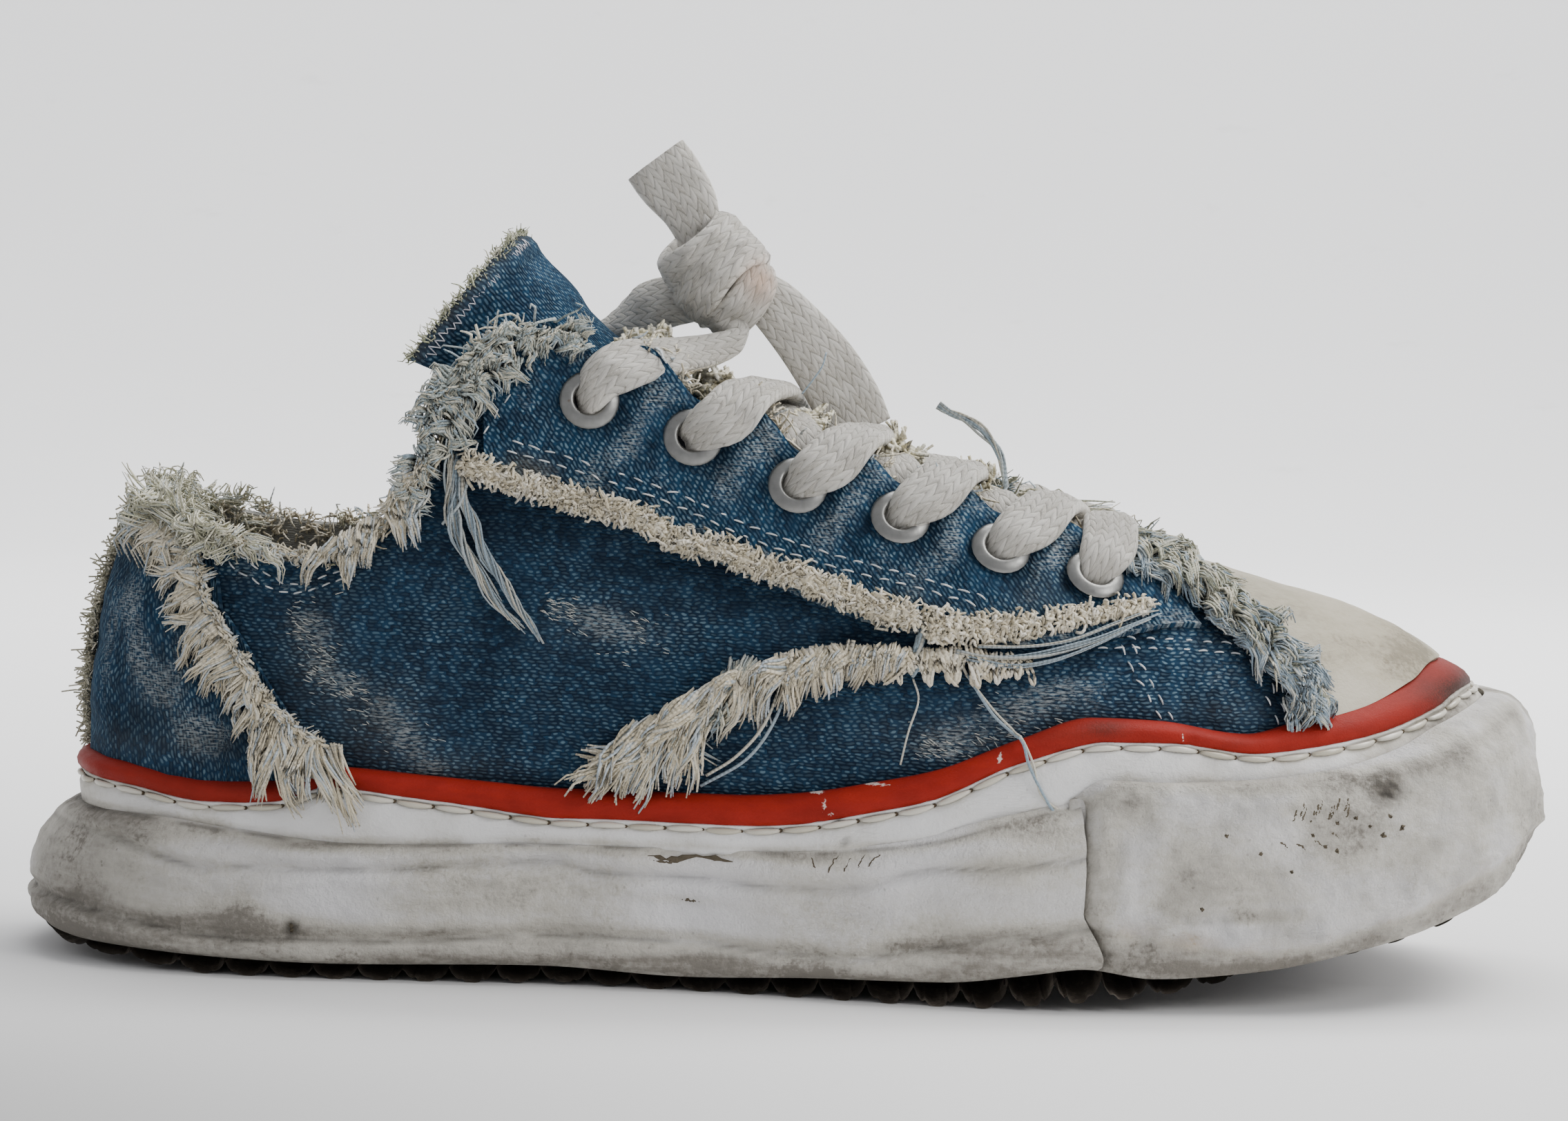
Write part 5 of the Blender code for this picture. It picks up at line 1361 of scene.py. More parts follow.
shell = {
    "columns": 400, "rows": 60, "wall": 1.8,
    # line of x, height; width; depth, negative for a trough
    "folds": [([(100, 92), (97, 78), (91, 62), (86, 48)], 5.5, -0.9),
              ([(86, 86), (82, 70), (76, 56)], 5.0, 0.7),
              ([(112, 70), (122, 66), (134, 70)], 4.0, 0.6), ([(100, 60), (120, 54), (140, 56)], 5.0, -0.5),
              ([(60, 66), (72, 54), (80, 42)], 4.5, 0.5), ([(48, 66), (56, 54), (62, 44)], 3.5, -0.5),
              ([(150, 48), (166, 50), (182, 54)], 3.6, 0.6), ([(158, 42), (172, 46), (186, 52)], 3.0, -0.5),
              ([(186, 60), (196, 57), (206, 60)], 3.0, 0.6), ([(214, 66), (220, 58), (226, 54)], 3.0, -0.6),
              ([(222, 72), (230, 64), (236, 56)], 4.0, 0.6), ([(196, 70), (206, 68), (218, 70)], 2.6, -0.5)],
    # x, height, half length, half height, strength
    "wear": [(57.5, 66, 4.5, 3.8, 0.95), (60, 58.5, 4, 4, 0.8), (66, 55, 4.5, 3, 0.8), (72, 50, 4, 3, 0.75),
             (77, 45, 4, 3.5, 0.75), (82, 39.5, 4, 2.4, 0.7), (112, 68.5, 7, 3.4, 0.55),
             (120, 66.5, 7, 3.4, 0.5),
             (106, 71, 4, 2, 0.5), (184, 50, 10, 4, 0.5), (192, 55, 8, 3.4, 0.65), (177, 47.5, 6, 2.6, 0.75),
             (199, 59, 6, 3, 0.5), (150, 52, 12, 5, 0.22), (225, 60, 9, 7, 0.25), (231, 70, 8, 5, 0.25),
             (44, 76, 5, 3, 0.5), (54, 73, 8, 2.0, 0.4), (68, 80, 6, 4, 0.3), (140, 40, 22, 5, 0.18),
             (208, 58, 5, 8, 0.3), (118, 47, 20, 8, 0.12), (98, 52, 10, 9, 0.12)],
    # painted shadow under the rolled edge, the hanging bundles and the torn band's tufts, and beside the
    # stripe, toe cap and heel panel
    "dark": [(101, 85, 13, 3.6, 0.45), (122, 79, 14, 3.2, 0.5), (142, 73.5, 12, 3.0, 0.5),
             (160, 66.5, 9, 2.4, 0.55),
             (90, 88, 5, 8, 0.35), (92, 62, 6, 12, 0.22), (106, 36, 26, 3, 0.25), (242, 60, 4, 7, 0.5),
             (135, 50, 5, 7, 0.2), (49, 55, 4, 9, 0.35), (150, 60, 6, 4, 0.3)],
    "dirt": [(70, 48, 10, 8, 0.9), (58, 60, 7, 10, 0.7), (84, 40, 12, 4, 0.7), (48, 46, 8, 7, 0.6),
             (180, 50, 14, 4, 0.6), (200, 54, 10, 4, 0.5), (230, 55, 12, 3, 0.6), (112, 68, 12, 5, 0.4)],
}


def shellRelief(points, side):
    near = points[..., 1] * side > 0
    relief = sum(depth * nearLine(sideView(points), line, width) for line, width,
                 depth in shell["folds"]) * near
    return relief + 0.4 * waves(points, 42, 71) + 0.16 * waves(points, 15, 72)


def spots(points, table, side=-1):
    # blobs on one side, fading out round the toe and heel
    return blobs(sideView(points), table) * bumpBetween(points[..., 1] * side, -2, 6)


def makeShell():
    # outer face, over the collar and throat edge, and back down the lining, one closed hoop
    place = np.linspace(0, around, shell["columns"], endpoint=False)
    shares, inShares = np.linspace(0, 1, shell["rows"]), np.linspace(1, 0, 18)
    face = upperPoint(place[None], shares[:, None])
    relief = shellRelief(face, -1) + shellRelief(face, 1) * 0.8 - 0.4 * waves(face, 42, 71)
    relief *= (bumpBetween(shares, 0.0, 0.25) * (1 - 0.8 * bumpBetween(shares, 0.9, 1.0)))[:, None]
    face += upperNormal(place[None], np.clip(shares, 0.01, 0.99)[:, None]) * relief[..., None]
    inner = upperPoint(place[None], inShares[:, None])
    inner -= upperNormal(place[None], np.clip(inShares, 0.01, 0.99)[:, None]) * shell["wall"]
    rise = scallop(face[-1, :, 0])[:, None] * unit(face[-1] - face[-4])
    face += rise * bumpBetween(shares, 0.82, 1.0)[:, None, None]
    inner += rise * bumpBetween(inShares, 0.82, 1.0)[:, None, None]
    edge = (face[-1] + inner[0]) / 2 + (0, 0, 0.5)
    rows = np.concatenate([face, edge[None], inner])
    outside = rows[..., 1] < 2
    across, up = runAlong(upperPoint(place, 0.5)), runAlong(rows).mean(1)
    uvs = np.stack(np.broadcast_arrays(across[None], up[:, None]), -1)
    uvs = np.where(outside[..., None], sideView(rows), uvs)
    swell, lining = np.zeros(rows.shape[:2]), np.zeros(rows.shape[:2])
    swell[:shell["rows"]], lining[shell["rows"]:] = relief, 1
    wear = 0.08 + spots(rows, shell["wear"]) + 0.5 * spots(rows, shell["wear"], 1)
    wear += 0.25 * bumpBetween(swell, 0.2, 1.2) - 0.2 * bumpBetween(-swell, 0.2, 1.2)
    dark = spots(rows, shell["dark"]) + spots(rows, shell["dark"], 1)
    # painted shade along the joint above the stripe
    dark += 0.4 * bell(rows[..., 2] - level("stripeHigh", rows[..., 0]), 1.6) * outside
    dirt = 0.25 + spots(rows, shell["dirt"]) + 0.6 * spots(rows, shell["dirt"], 1)
    addPiece("denimShell", rows, gridQuads(*rows.shape[:2], True, True),
             makeDenim("denim", 2.0, 0.68, 1.7, 0.36),
             uvs, {"wear": wear, "dark": dark, "dirt": dirt, "lining": lining}, ["upper"], 60)


def panelPoints(place, low, high, rows, lift):
    shares = low + (high - low) * np.linspace(0, 1, rows)[:, None]
    normal = upperNormal(np.broadcast_to(place, shares.shape), np.clip(shares, 0.01, 0.995))
    return upperPoint(place[None], shares) + normal * lift, normal


def addPanel(name, face, normal, finish, uvs, marks, replaced, thick, holes=(), sharp=55, lined=0):
    # the face, its edge turned down and a back of a few rows, closed; faces over a hole are left out of the
    # front
    rows, count = face.shape[:2]
    pick = np.linspace(rows - 1, 0, lined or 8 + rows % 2).astype(int)

    def wrapped(front, back=None):
        front = np.broadcast_to(front, (rows, count) + np.shape(front)[2:])
        return np.swapaxes(np.concatenate([front, front[pick] if back is None else back]), 0, 1)

    points = wrapped(face, face[pick] - normal[pick] * thick)
    loop = points.shape[1]
    quads = closedTube(count, loop)
    centre = points.reshape(-1, 3)[quads].mean(1)
    over = sum(np.linalg.norm(centre - hole, axis=1) < 4.5 for hole in holes) > 0
    quads = quads[~(over & ((quads % loop).max(1) < rows))]
    marks = {key: wrapped(value) for key, value in marks.items()}
    if lined:
        marks["lining"] = wrapped(np.zeros((rows, count)), np.ones((lined, count)))
    return addPiece(name, points, quads, finish, wrapped(uvs), marks, replaced, sharp)


eyestay = {"columns": 180, "rows": 46, "lift": 2.15, "first": 6.08, "last": 11.42,
           # x, height, half length, half height, strength
           "dirt": [(100, 96.5, 4.5, 2.4, 1.6), (97, 98.5, 3, 2, 1.0), (196, 76, 6, 4, 0.8),
                    (170, 75, 8, 3, 0.6)]}


def shareAtTable(place, name):
    # share where each column rises past a level table
    shares = np.linspace(0, 1, 321)
    points = upperPoint(place[None], shares[:, None])
    below = points[..., 2] < level(name, points[..., 0])
    return shares[np.minimum(below.sum(0), 320)]


def makeEyestay(side):
    place = np.linspace(eyestay["first"], eyestay["last"], eyestay["columns"])
    place = place if side < 0 else around - place[::-1]
    face, normal = panelPoints(place, shareAtTable(place, "eyestayLow"), 1.0, eyestay["rows"],
                               eyestay["lift"])
    seen, share = sideView(face), np.linspace(0, 1, eyestay["rows"])[:, None]
    ridge, hollow = 0, 0
    for (x, z), (nextX, nextZ) in zip(eyelets[:-1], eyelets[1:]):
        x, z = (x + nextX) / 2 + 4.5, (z + nextZ) / 2 + 6.0
        ridge += nearLine(seen, [(x, z), (x - 6.5, z - 8.5), (x - 12, z - 17)], 3.2)
        hollow += nearLine(seen, [(x - 5.5, z + 1.5), (x - 13, z - 9)], 1.8) * 0.6
        hollow += nearLine(seen, [(x + 4, z - 3), (x - 2.5, z - 11), (x - 7, z - 17)], 1.9)
    ring = sum(bell((np.linalg.norm(seen - spot, axis=-1) / 7.5) ** 2) for spot in eyelets)
    fade = bumpBetween(share, 0.05, 0.55)
    relief = (1.35 * ridge - 0.75 * hollow) * fade * (1 - 0.85 * ring)
    relief += 0.35 * waves(face, 16, 81) + 0.12 * waves(face, 5, 82)
    face = face + normal * relief[..., None]
    along = unit(face[-1] - face[-5])
    face = face + along * scallop(face[-1, :, 0])[:, None] * bumpBetween(share, 0.6, 1.0)[..., None]
    seen = sideView(face)
    wear = 0.26 + 0.42 * ridge * fade - 0.25 * hollow - 0.2 * ring + 0.16 * waves(face, 9, 83)
    wear += 0.35 * bumpBetween(1 - share, 0.72, 1.0)
    # painted shade in the hollows between pleats and on the toe side of each eyelet
    dark = 0.35 * hollow * fade + blobs(seen, [(x + 5.5, z - 2.5, 3.5, 5, 0.45) for x, z in eyelets])
    poses = [eyeletPose(number, side) for number in range(1, 7)]
    name = sideNames[side]
    addPanel("eyestay" + name, face, normal, makeDenim("denimFacing" + name, 52.0, 0.72, 1.5, 0.3, 0.1),
             seen, {"wear": wear, "dark": dark, "dirt": 0.15 + blobs(seen, eyestay["dirt"])},
             ["eyestay_" + name.lower()], 1.5, [centre + out * eyestay["lift"] for centre, out in poses])


def shareAtEdge(place, line, ahead):
    # last share of each column on one side of a line of x, height
    x, z = np.array(sorted(line, key=lambda spot: spot[1]), float).T
    shares = np.linspace(0, 1, 321)
    points = upperPoint(place[None], shares[:, None])
    lineX = np.interp(points[..., 2], z, x)
    inside = points[..., 0] > lineX if ahead else points[..., 0] < lineX
    return shares[np.where(inside.any(0), 320 - inside[::-1].argmax(0), 0)]


heel = {"reach": 3.42, "columns": 140, "rows": 54, "lift": 1.7,
        "edge": [(38.6, 86), (39.2, 78.3), (40.3, 69.4), (46.1, 61.9), (51.1, 53.9), (55.3, 48.3),
                 (64.6, 38)],
        # x, height, half length, half height, strength
        "wear": [(21.7, 68.2, 3, 5, 0.8), (24.1, 58.7, 3, 5, 0.75), (29, 52.6, 4, 4, 0.8),
                 (36, 45, 5, 4, 0.7),
                 (34, 60, 6, 8, 0.4), (30, 75, 6, 5, 0.5), (17, 60, 2, 14, 0.5), (40, 44, 5, 4, 0.6)],
        "dark": [(24, 46, 7, 4, 0.4), (44, 42, 6, 2, 0.4), (19, 76, 3, 5, 0.3)],
        "dirt": [(38, 43, 8, 3, 0.9), (28, 52, 6, 7, 0.6), (22, 42, 8, 3, 0.7)]}


def makeHeelPanel():
    place = np.linspace(-heel["reach"], heel["reach"], heel["columns"])
    low = shareAtHeight(place, level("stripeHigh", lastX(place)) - 0.8)
    high = np.minimum(shareAtEdge(place % around, heel["edge"], False), 0.88 + 0.04 * abs(place))
    face, normal = panelPoints(place % around, low, np.maximum(high, low + 0.01), heel["rows"], heel["lift"])
    relief = 0.45 * waves(face, 19, 91) + 0.15 * waves(face, 6, 92) - 0.7 * bell(place, 0.8)
    relief += 0.7 * nearLine(sideView(face), [(24, 74), (28, 60), (36, 48)], 4) * (face[..., 1] < 0)
    face = face + normal * relief[..., None]
    # painted shadow down each side of the heel's back strip, beside the olive fuzz, and dark spots
    dark = spots(face, heel["dark"]) + 0.75 * bell(abs(place) - 0.36, 0.12)
    uvs = np.stack(np.broadcast_arrays(runAlong(face[20])[None], face[..., 2]), -1)
    addPanel("heelPanel", face, normal, makeDenim("denimHeel", 82.0, 0.72, 1.8, 0.34, 0.05),
             uvs, {"wear": 0.12 + spots(face, heel["wear"]) + 0.35 * (face[..., 1] > 0), "dark": dark,
              "dirt": 0.2 + spots(face, heel["dirt"])}, ["heel_counter"], 1.5)


toeCap = {"reach": 2.05, "columns": 125, "rows": 46, "lift": 1.75,
          "edge": [(252.5, 44), (250.5, 55), (246.5, 63), (240, 70), (230, 76.5), (221, 80.5), (215, 84)],
          # x, height, half length, half height, strength
          "dirt": [(262, 66, 12, 4, 0.6), (272, 64, 8, 5, 0.7), (252, 70, 8, 4, 0.5), (244, 74, 8, 3, 0.5),
                   (281, 62, 5, 4, 0.5), (236, 77, 8, 3, 0.5), (256, 58, 12, 4, -0.3)]}
capLook = dict(rubberLook, clean=(0.51, 0.474, 0.38), warm=(0.40, 0.365, 0.275), dirty=(0.19, 0.17, 0.12),
               roughness=0.45, bump=0.15)


def makeToeCap():
    place = np.linspace(tip - toeCap["reach"], tip + toeCap["reach"], toeCap["columns"])
    low = shareAtHeight(place, level("stripeHigh", lastX(place)) - 0.8)
    high = np.maximum(shareAtEdge(place, toeCap["edge"], True), low + 0.01)
    face, normal = panelPoints(place, low, high, toeCap["rows"], toeCap["lift"])
    face = face + normal * (0.4 * waves(face, 26, 101) + 0.1 * waves(face, 7, 102))[..., None]
    dirt = 0.3 + 0.2 * waves(face, 20, 103) + spots(face, toeCap["dirt"]) + 0.35 * (face[..., 1] > 0)
    addPanel("toeCapRubber", face, normal, makeRubber("ivoryRubber", capLook), sideView(face),
             {"dirt": dirt, "tan": 0.25 * bell(face[..., 0] - 262, 14)}, ["toe_cap"], 1.3)


tongueLook = {"rows": 90, "columns": 54, "backRows": 40, "thick": 3.0, "band": 4.4}


def tongueGrid():
    # rows of half-round arches, their ends dropped and set back by the table
    rows = smoothRows(np.insert(np.array(tongueRows, float), 1, 0, axis=1), tongueLook["rows"])
    turn = np.radians(np.linspace(-88, 88, tongueLook["columns"]))
    fall = 1 - np.cos(turn)
    x, _, crest, half, drop, back = rows.T[..., None]
    return np.stack([x - back * fall, half * np.sin(turn), crest - drop * fall], -1)


def makeTongue():
    face = tongueGrid()
    normal = unit(np.cross(np.gradient(face, axis=1), np.gradient(face, axis=0)))
    normal *= np.sign(normal[..., 2:3].mean())
    fromTop = runAlong(face[::-1])[::-1]
    band = bumpBetween(tongueLook["band"] + 0.6 * waves(face, 9, 113) - fromTop, 0, 0.8)
    relief = 0.5 * waves(face, 22, 111) + 0.15 * waves(face, 7, 112)
    relief += 0.5 * band - 1.0 * bumpBetween(1.0 - fromTop, 0, 1.2)
    face = face + normal * relief[..., None]
    uvs = np.stack(np.broadcast_arrays(np.linspace(0, 70, tongueLook["columns"]), fromTop), -1)
    wear = 0.1 + 0.1 * bell(fromTop - 7, 4) + 0.1 * waves(face, 13, 114)
    addPanel("tongueCloth", face, normal, makeDenim("denimTongue", 84.0, 0.66, 1.5, 0.3, 0.12), uvs,
             {"wear": wear, "dark": 0.4 * bell(fromTop - 5.4, 0.8), "dirt": 0.1 + 1.6 * bell(fromTop, 2.2)},
             ["tongue"], tongueLook["thick"], sharp=60, lined=tongueLook["backRows"])
    return face[-1], normal[-1], unit(face[-9] - face[-1])


def threadFinish(name, dark, light, rough=0.55):
    finish, tree, inputs = newFinish(name, Roughness=rough, Sheen_Weight=0.2, Specular_IOR_Level=0.4)
    blended(markShade(tree), dark, light).to(inputs["Base Color"])
    return finish


def makeOverlock(edge, out, inward):
    # zigzag of white thread over the tongue's edge and its binding stitches
    run = runAlong(edge)
    count = int(run[-1] / 0.8)
    at = np.linspace(0, run[-1], count)
    dice = np.random.default_rng(9)
    swing = np.where(np.arange(count) % 2, 1.6, 3.4) + dice.normal(0, 0.3, count)
    out = picked(out, at, run)
    points = picked(edge, at, run) + picked(inward, at, run) * swing[:, None] + out * 0.55
    steps = np.linspace(0, 1, 4)[None, :, None]
    paths = points[:-1, None] * (1 - steps) + points[1:, None] * steps
    paths += out[:-1, None] * 0.25 * np.sin(math.pi * steps)
    paths = paths[abs(points[:-1, 1]) > 5.5]
    thread = threadFinish("whiteThread", (0.4, 0.4, 0.46), (0.66, 0.66, 0.72))
    addStrands("overlockZigzag", paths, 0.12, thread, dice.uniform(0, 1, len(paths)), 4)


eyelet = {"sides": 24,
          # radius, height
          "profile": [(2.95, -1.9), (2.95, 0.0), (3.1, 0.55), (3.5, 0.85), (4.1, 0.8), (4.8, 0.55),
                      (5.4, 0.2), (5.7, -0.1), (5.65, -0.35), (5.35, -0.5), (3.7, -0.55), (3.5, -2.0)]}


def makeEyelets():
    sides = eyelet["sides"]
    radius, height = smoothRows(eyelet["profile"], 26).T[..., None, None]
    turn = np.linspace(0, 2 * math.pi, sides, endpoint=False)[:, None]
    finish, tree, inputs = newFinish("agedMetal", Metallic=1.0, Roughness=0.36)
    place = objectMm(tree)
    tone = blended(noise(place, 0.5, 3.0), (0.17, 0.17, 0.165), (0.31, 0.31, 0.3))
    rust = useGroup("grime", place, Size=4.0, Amount=0.4)["Specks"]
    tone = blended(rust * 0.8, tone, (0.16, 0.08, 0.035))
    # the dark mark turns the disc inside each eyelet near black: painted shade in the hole
    blended(markOf(tree, "dark"), tone, (0.012, 0.012, 0.014)).to(inputs["Base Color"])
    (noise(place, 1.6, 3.0) * 0.4 + 0.2).to(inputs["Roughness"])
    hoops = len(height)
    one = np.vstack([gridQuads(hoops, sides, True, True)[:, ::-1],
                     capQuads(np.arange(sides) + hoops * sides)])
    for side, name in sideNames.items():
        points = []
        for number in range(1, 7):
            centre, out = eyeletPose(number, side)
            right = unit(np.cross((0.02, 0.03, 1.0), out))
            spokes = np.cos(turn) * right + np.sin(turn) * np.cross(out, right)
            ring = centre + out * (eyestay["lift"] + 0.75 + height) + radius * spokes
            # a disc inside the hole, coloured by the dark mark: painted shade
            floor = centre + out * (eyestay["lift"] - 1.0) + 3.05 * spokes
            points.append(np.concatenate([ring, floor[None]]))
        starts = np.arange(6)[:, None, None] * (hoops + 1) * sides
        addPiece("eyelets" + name, points, (one + starts).reshape(-1, 4), finish, None,
                 {"dark": np.tile(np.arange((hoops + 1) * sides) >= hoops * sides, 6)},
                 [f"eyelet_{name.lower()}_{number}" for number in range(1, 7)], 50)


makeShell()
makeEyestay(-1)
makeEyestay(1)
makeHeelPanel()
makeToeCap()
tongueEdge = makeTongue()
makeOverlock(*tongueEdge)
makeEyelets()
print("upper made")


# Frayed edges, threads and stitches


def alongLine(line, count, jitter=0.0, seed=1):
    # count points spread along a line of x, height, with the line's direction at each
    smooth = smoothRows(line, max(200, count))
    at = np.linspace(0, 1, count) + np.random.default_rng(seed).normal(0, jitter / max(count, 1), count)
    spot = np.clip(at, 0, 1) * (len(smooth) - 1)
    return picked(smooth, spot), unit(picked(unit(np.gradient(smooth, axis=0)), spot))


def rotated(ways, degrees):
    # turn directions of x, height anticlockwise as seen from the outer side
    c, s = np.cos(np.radians(degrees)), np.sin(np.radians(degrees))
    return np.stack([ways[..., 0] * c - ways[..., 1] * s, ways[..., 0] * s + ways[..., 1] * c], -1)


def squareTo(ways):
    return np.stack([-ways[..., 1], ways[..., 0]], -1)


def sharedDraw(dice, number, shape, share=0.8):
    # normal draws that yarns of one tuft mostly have in common
    own = dice.normal(0, 1, (len(number), *shape))
    share = 0.5 + 0.5 * share
    return own * (1 - share) + dice.normal(0, 1, (number.max() + 1, *shape))[number] * share


def yarnPaths(roots, ways, lengths, dice, steps, sag, curl, lift, side=-1, number=None):
    # yarns lying over the upper: root + way * length * t, sagging by sag * length * t^2 and curling by sines;
    # lifted by a curve through three heights at the root, middle and end
    number = np.arange(len(roots)) if number is None else number
    t = np.linspace(0, 1, steps)[None]
    lengths = np.broadcast_to(lengths, len(roots))[:, None]
    phase = sharedDraw(dice, number, (3, 1)) * 3
    size = sharedDraw(dice, number, (3, 1), 0.7) * 1.3
    swing = curl * lengths * t**0.8 * (size[:, 0] * 0.6 * np.sin(t * 3.0 + phase[:, 0])
                                      + size[:, 1] * 0.4 * np.sin(t * 7.0 + phase[:, 1]))
    x, z = np.moveaxis(roots[:, None] + ways[:, None] * (lengths * t)[..., None]
                       + squareTo(ways)[:, None] * swing[..., None], -1, 0)
    low, mid, end = (np.asarray(value, float).reshape(-1, 1) for value in lift)
    height = low * (1 - t) ** 2 + (4 * mid - low - end) * t * (1 - t) + end * t**2
    height = height + curl * lengths * t * 0.6 * size[:, 2] * np.sin(t * 5 + phase[:, 2])
    return onUpper(x, z - sag * lengths * t**2, np.maximum(height, 0.25), side)


def freeYarns(roots, ways, lengths, dice, steps, curl, sag=0.1, number=None):
    # curly yarns standing free: root + way * length * t, sagging, with sines in random directions
    number = np.arange(len(roots)) if number is None else number
    t = np.linspace(0, 1, steps)[None, :, None]
    lengths = np.broadcast_to(lengths, len(roots))[:, None, None]
    paths = roots[:, None] + ways[:, None] * lengths * t
    for rate, share in ((3.0, 0.8), (6.0, 0.35), (11.0, 0.13)):
        swing = sharedDraw(dice, number, (1, 3), 0.6) * 1.4 * share
        paths = paths + curl * lengths * t**0.7 * swing * np.sin(t * rate + sharedDraw(dice, number, (1, 1),
                                                                                       0.7) * 4)
    paths[..., 2] -= (sag * lengths * t**2)[..., 0]
    return paths


def locks(line, count, each, dice, lean, length, wide=1.3, fan=-9.0, seed=1):
    # combed locks of yarn: the yarns of one lock start side by side and lean together towards its tip
    centres, ways = alongLine(line, count, 0.6, seed)
    number = np.repeat(np.arange(count), each)
    across = np.tile(np.linspace(-1, 1, each), count) + dice.normal(0, 0.12, count * each)
    own = rotated(ways, np.broadcast_to(lean, count) + dice.normal(0, 9, count))
    reach = dice.uniform(0.75, 1.25, count) * wide
    roots = centres[number] + squareTo(own)[number] * (across * reach[number])[:, None]
    roots += dice.normal(0, 0.22, (len(number), 2))
    leans = rotated(own[number], across * fan + dice.normal(0, 2.2, len(number)))
    low, high = (np.broadcast_to(value, count) for value in length)
    lengths = dice.uniform(low, high)[number] * (1 - 0.22 * across**2) * dice.uniform(0.86, 1.06, len(number))
    return roots, leans, number, lengths


def tapered(paths, radius, dice, ending=0.45):
    # the paths with their radii, thinner towards the end by the cube of the way along
    t = np.linspace(0, 1, paths.shape[1])
    return paths, radius * dice.uniform(0.75, 1.25, (len(paths), 1)) * (1 - (1 - ending) * t**3)[None]


def combed(dice, line, count, each, lean, length, wide, sag, curl, lift, radius, fan=-9.0, seed=1, steps=6,
           side=-1, ending=0.45):
    # locks of tapered yarn lying over the upper
    roots, ways, number, lengths = locks(line, count, each, dice, lean, length, wide, fan, seed)
    return tapered(yarnPaths(roots, ways, lengths, dice, steps, sag, curl, lift, side, number), radius, dice,
                   ending)


def yarnFinish(name, first, second, third):
    # three tones by the strand's shade, dirtier in patches, with ridges across the yarn every 0.9 mm
    finish, tree, inputs = newFinish(name, Roughness=0.8, Sheen_Weight=0.35, Specular_IOR_Level=0.25)
    shade = markShade(tree)
    tone = blended(smoothMask(shade, 0.2, 0.5), first, second)
    tone = blended(smoothMask(shade, 0.62, 0.95), tone, third)
    grime = useGroup("grime", objectMm(tree), Size=7.0, Amount=0.45)["Dirt"]
    blended(grime * 0.4, tone, (0.2, 0.17, 0.12)).to(inputs["Base Color"])
    run = addNode(tree, "SeparateXYZ", {0: uvMm(tree)})[0]
    giveBump(inputs, (run * (2 * math.pi / 0.9)).maths("SINE"), 0.12, 0.7)
    return finish


cream, creamDeep = (0.78, 0.71, 0.555), (0.60, 0.53, 0.385)
creamYarn = yarnFinish("creamYarn", creamDeep, cream, (0.84, 0.79, 0.68))
mixedYarn = yarnFinish("mixedYarn", creamDeep, cream, (0.50, 0.57, 0.62))
blueYarn = yarnFinish("blueYarn", (0.58, 0.55, 0.46), (0.28, 0.36, 0.42), (0.44, 0.49, 0.5))
mossYarn = yarnFinish("mossYarn", (0.50, 0.49, 0.34), (0.74, 0.71, 0.56), (0.56, 0.60, 0.58))
terryYarn = yarnFinish("terryYarn", (0.72, 0.66, 0.46), (0.86, 0.81, 0.64), (0.88, 0.86, 0.76))
paleYarn = yarnFinish("paleYarn", (0.37, 0.42, 0.40), (0.64, 0.61, 0.49), (0.32, 0.41, 0.47))
coldYarn = yarnFinish("coldYarn", (0.22, 0.29, 0.35), (0.36, 0.43, 0.47), (0.55, 0.55, 0.48))
frayYarn = yarnFinish("frayYarn", (0.3, 0.36, 0.38), (0.46, 0.48, 0.45), (0.6, 0.58, 0.52))
dullYarn = yarnFinish("dullYarn", (0.33, 0.34, 0.26), (0.56, 0.53, 0.41), (0.28, 0.35, 0.40))
edgeYarn = yarnFinish("edgeYarn", (0.36, 0.38, 0.24), (0.5, 0.5, 0.36), (0.64, 0.62, 0.5))
oliveYarn = yarnFinish("oliveYarn", (0.36, 0.34, 0.24), (0.52, 0.48, 0.36), (0.6, 0.57, 0.46))
whiteStitch = threadFinish("whiteStitch", (0.42, 0.45, 0.47), (0.72, 0.73, 0.73), 0.4)


def addYarns(name, bunches, finish, dice, sides=3):
    # bunches of paths and radii with the same number of steps, in one piece
    paths, radius = (np.concatenate(values) for values in zip(*bunches))
    radius = radius * (1.1 if sides == 3 else 1)
    return addStrands(name, paths, radius, finish, dice.uniform(0, 1, len(paths)), sides)


heelBand = {"locks": 54, "each": {-1: 17, 1: 6},
            "line": [(29, 86.5), (33.5, 82), (37, 76.5), (38.4, 70.2), (42.4, 64), (46.8, 57.6), (51.6, 51),
                     (56.5, 46.5), (63, 43)],
            "lowLine": [(50, 47), (55, 45.5), (60, 44), (64, 43.5)]}


def makeHeelBand(side, seed):
    dice = np.random.default_rng(seed)
    count, line = heelBand["locks"], heelBand["line"]
    lean = np.interp(np.linspace(0, 1, count), [0, 0.55, 0.8, 1], [-84, -74, -52, -36]) + dice.normal(0, 13,
                                                                                                      count)
    roots, ways, number, lengths = locks(line, count, heelBand["each"][side], dice, lean, (7.5, 11.5), 1.5)
    high = dice.uniform(3.0, 5.0, count)[number]
    paths = yarnPaths(roots, ways, lengths, dice, 6, 0.12, 0.2, (2.2, high, 2.1), side, number)
    bunches = [tapered(paths, 0.24, dice),
               # ruffled top edge of the band, and long yarns at its lower end
               combed(dice, line, 60, 7, dice.normal(165, 22, 60), (1.8, 3.4), 0.8, 0.1, 0.3, (2.6, 4.0, 2.4),
                      0.22, side=side),
               combed(dice, heelBand["lowLine"], 9, 16, -70 + dice.normal(0, 8, 9), (11, 17), 1.4, 0.0, 0.12,
                      (3.2, 6.6, 5.8), 0.25, -5, side=side)]
    addYarns("heelFringe" + sideNames[side], bunches, mixedYarn, dice)


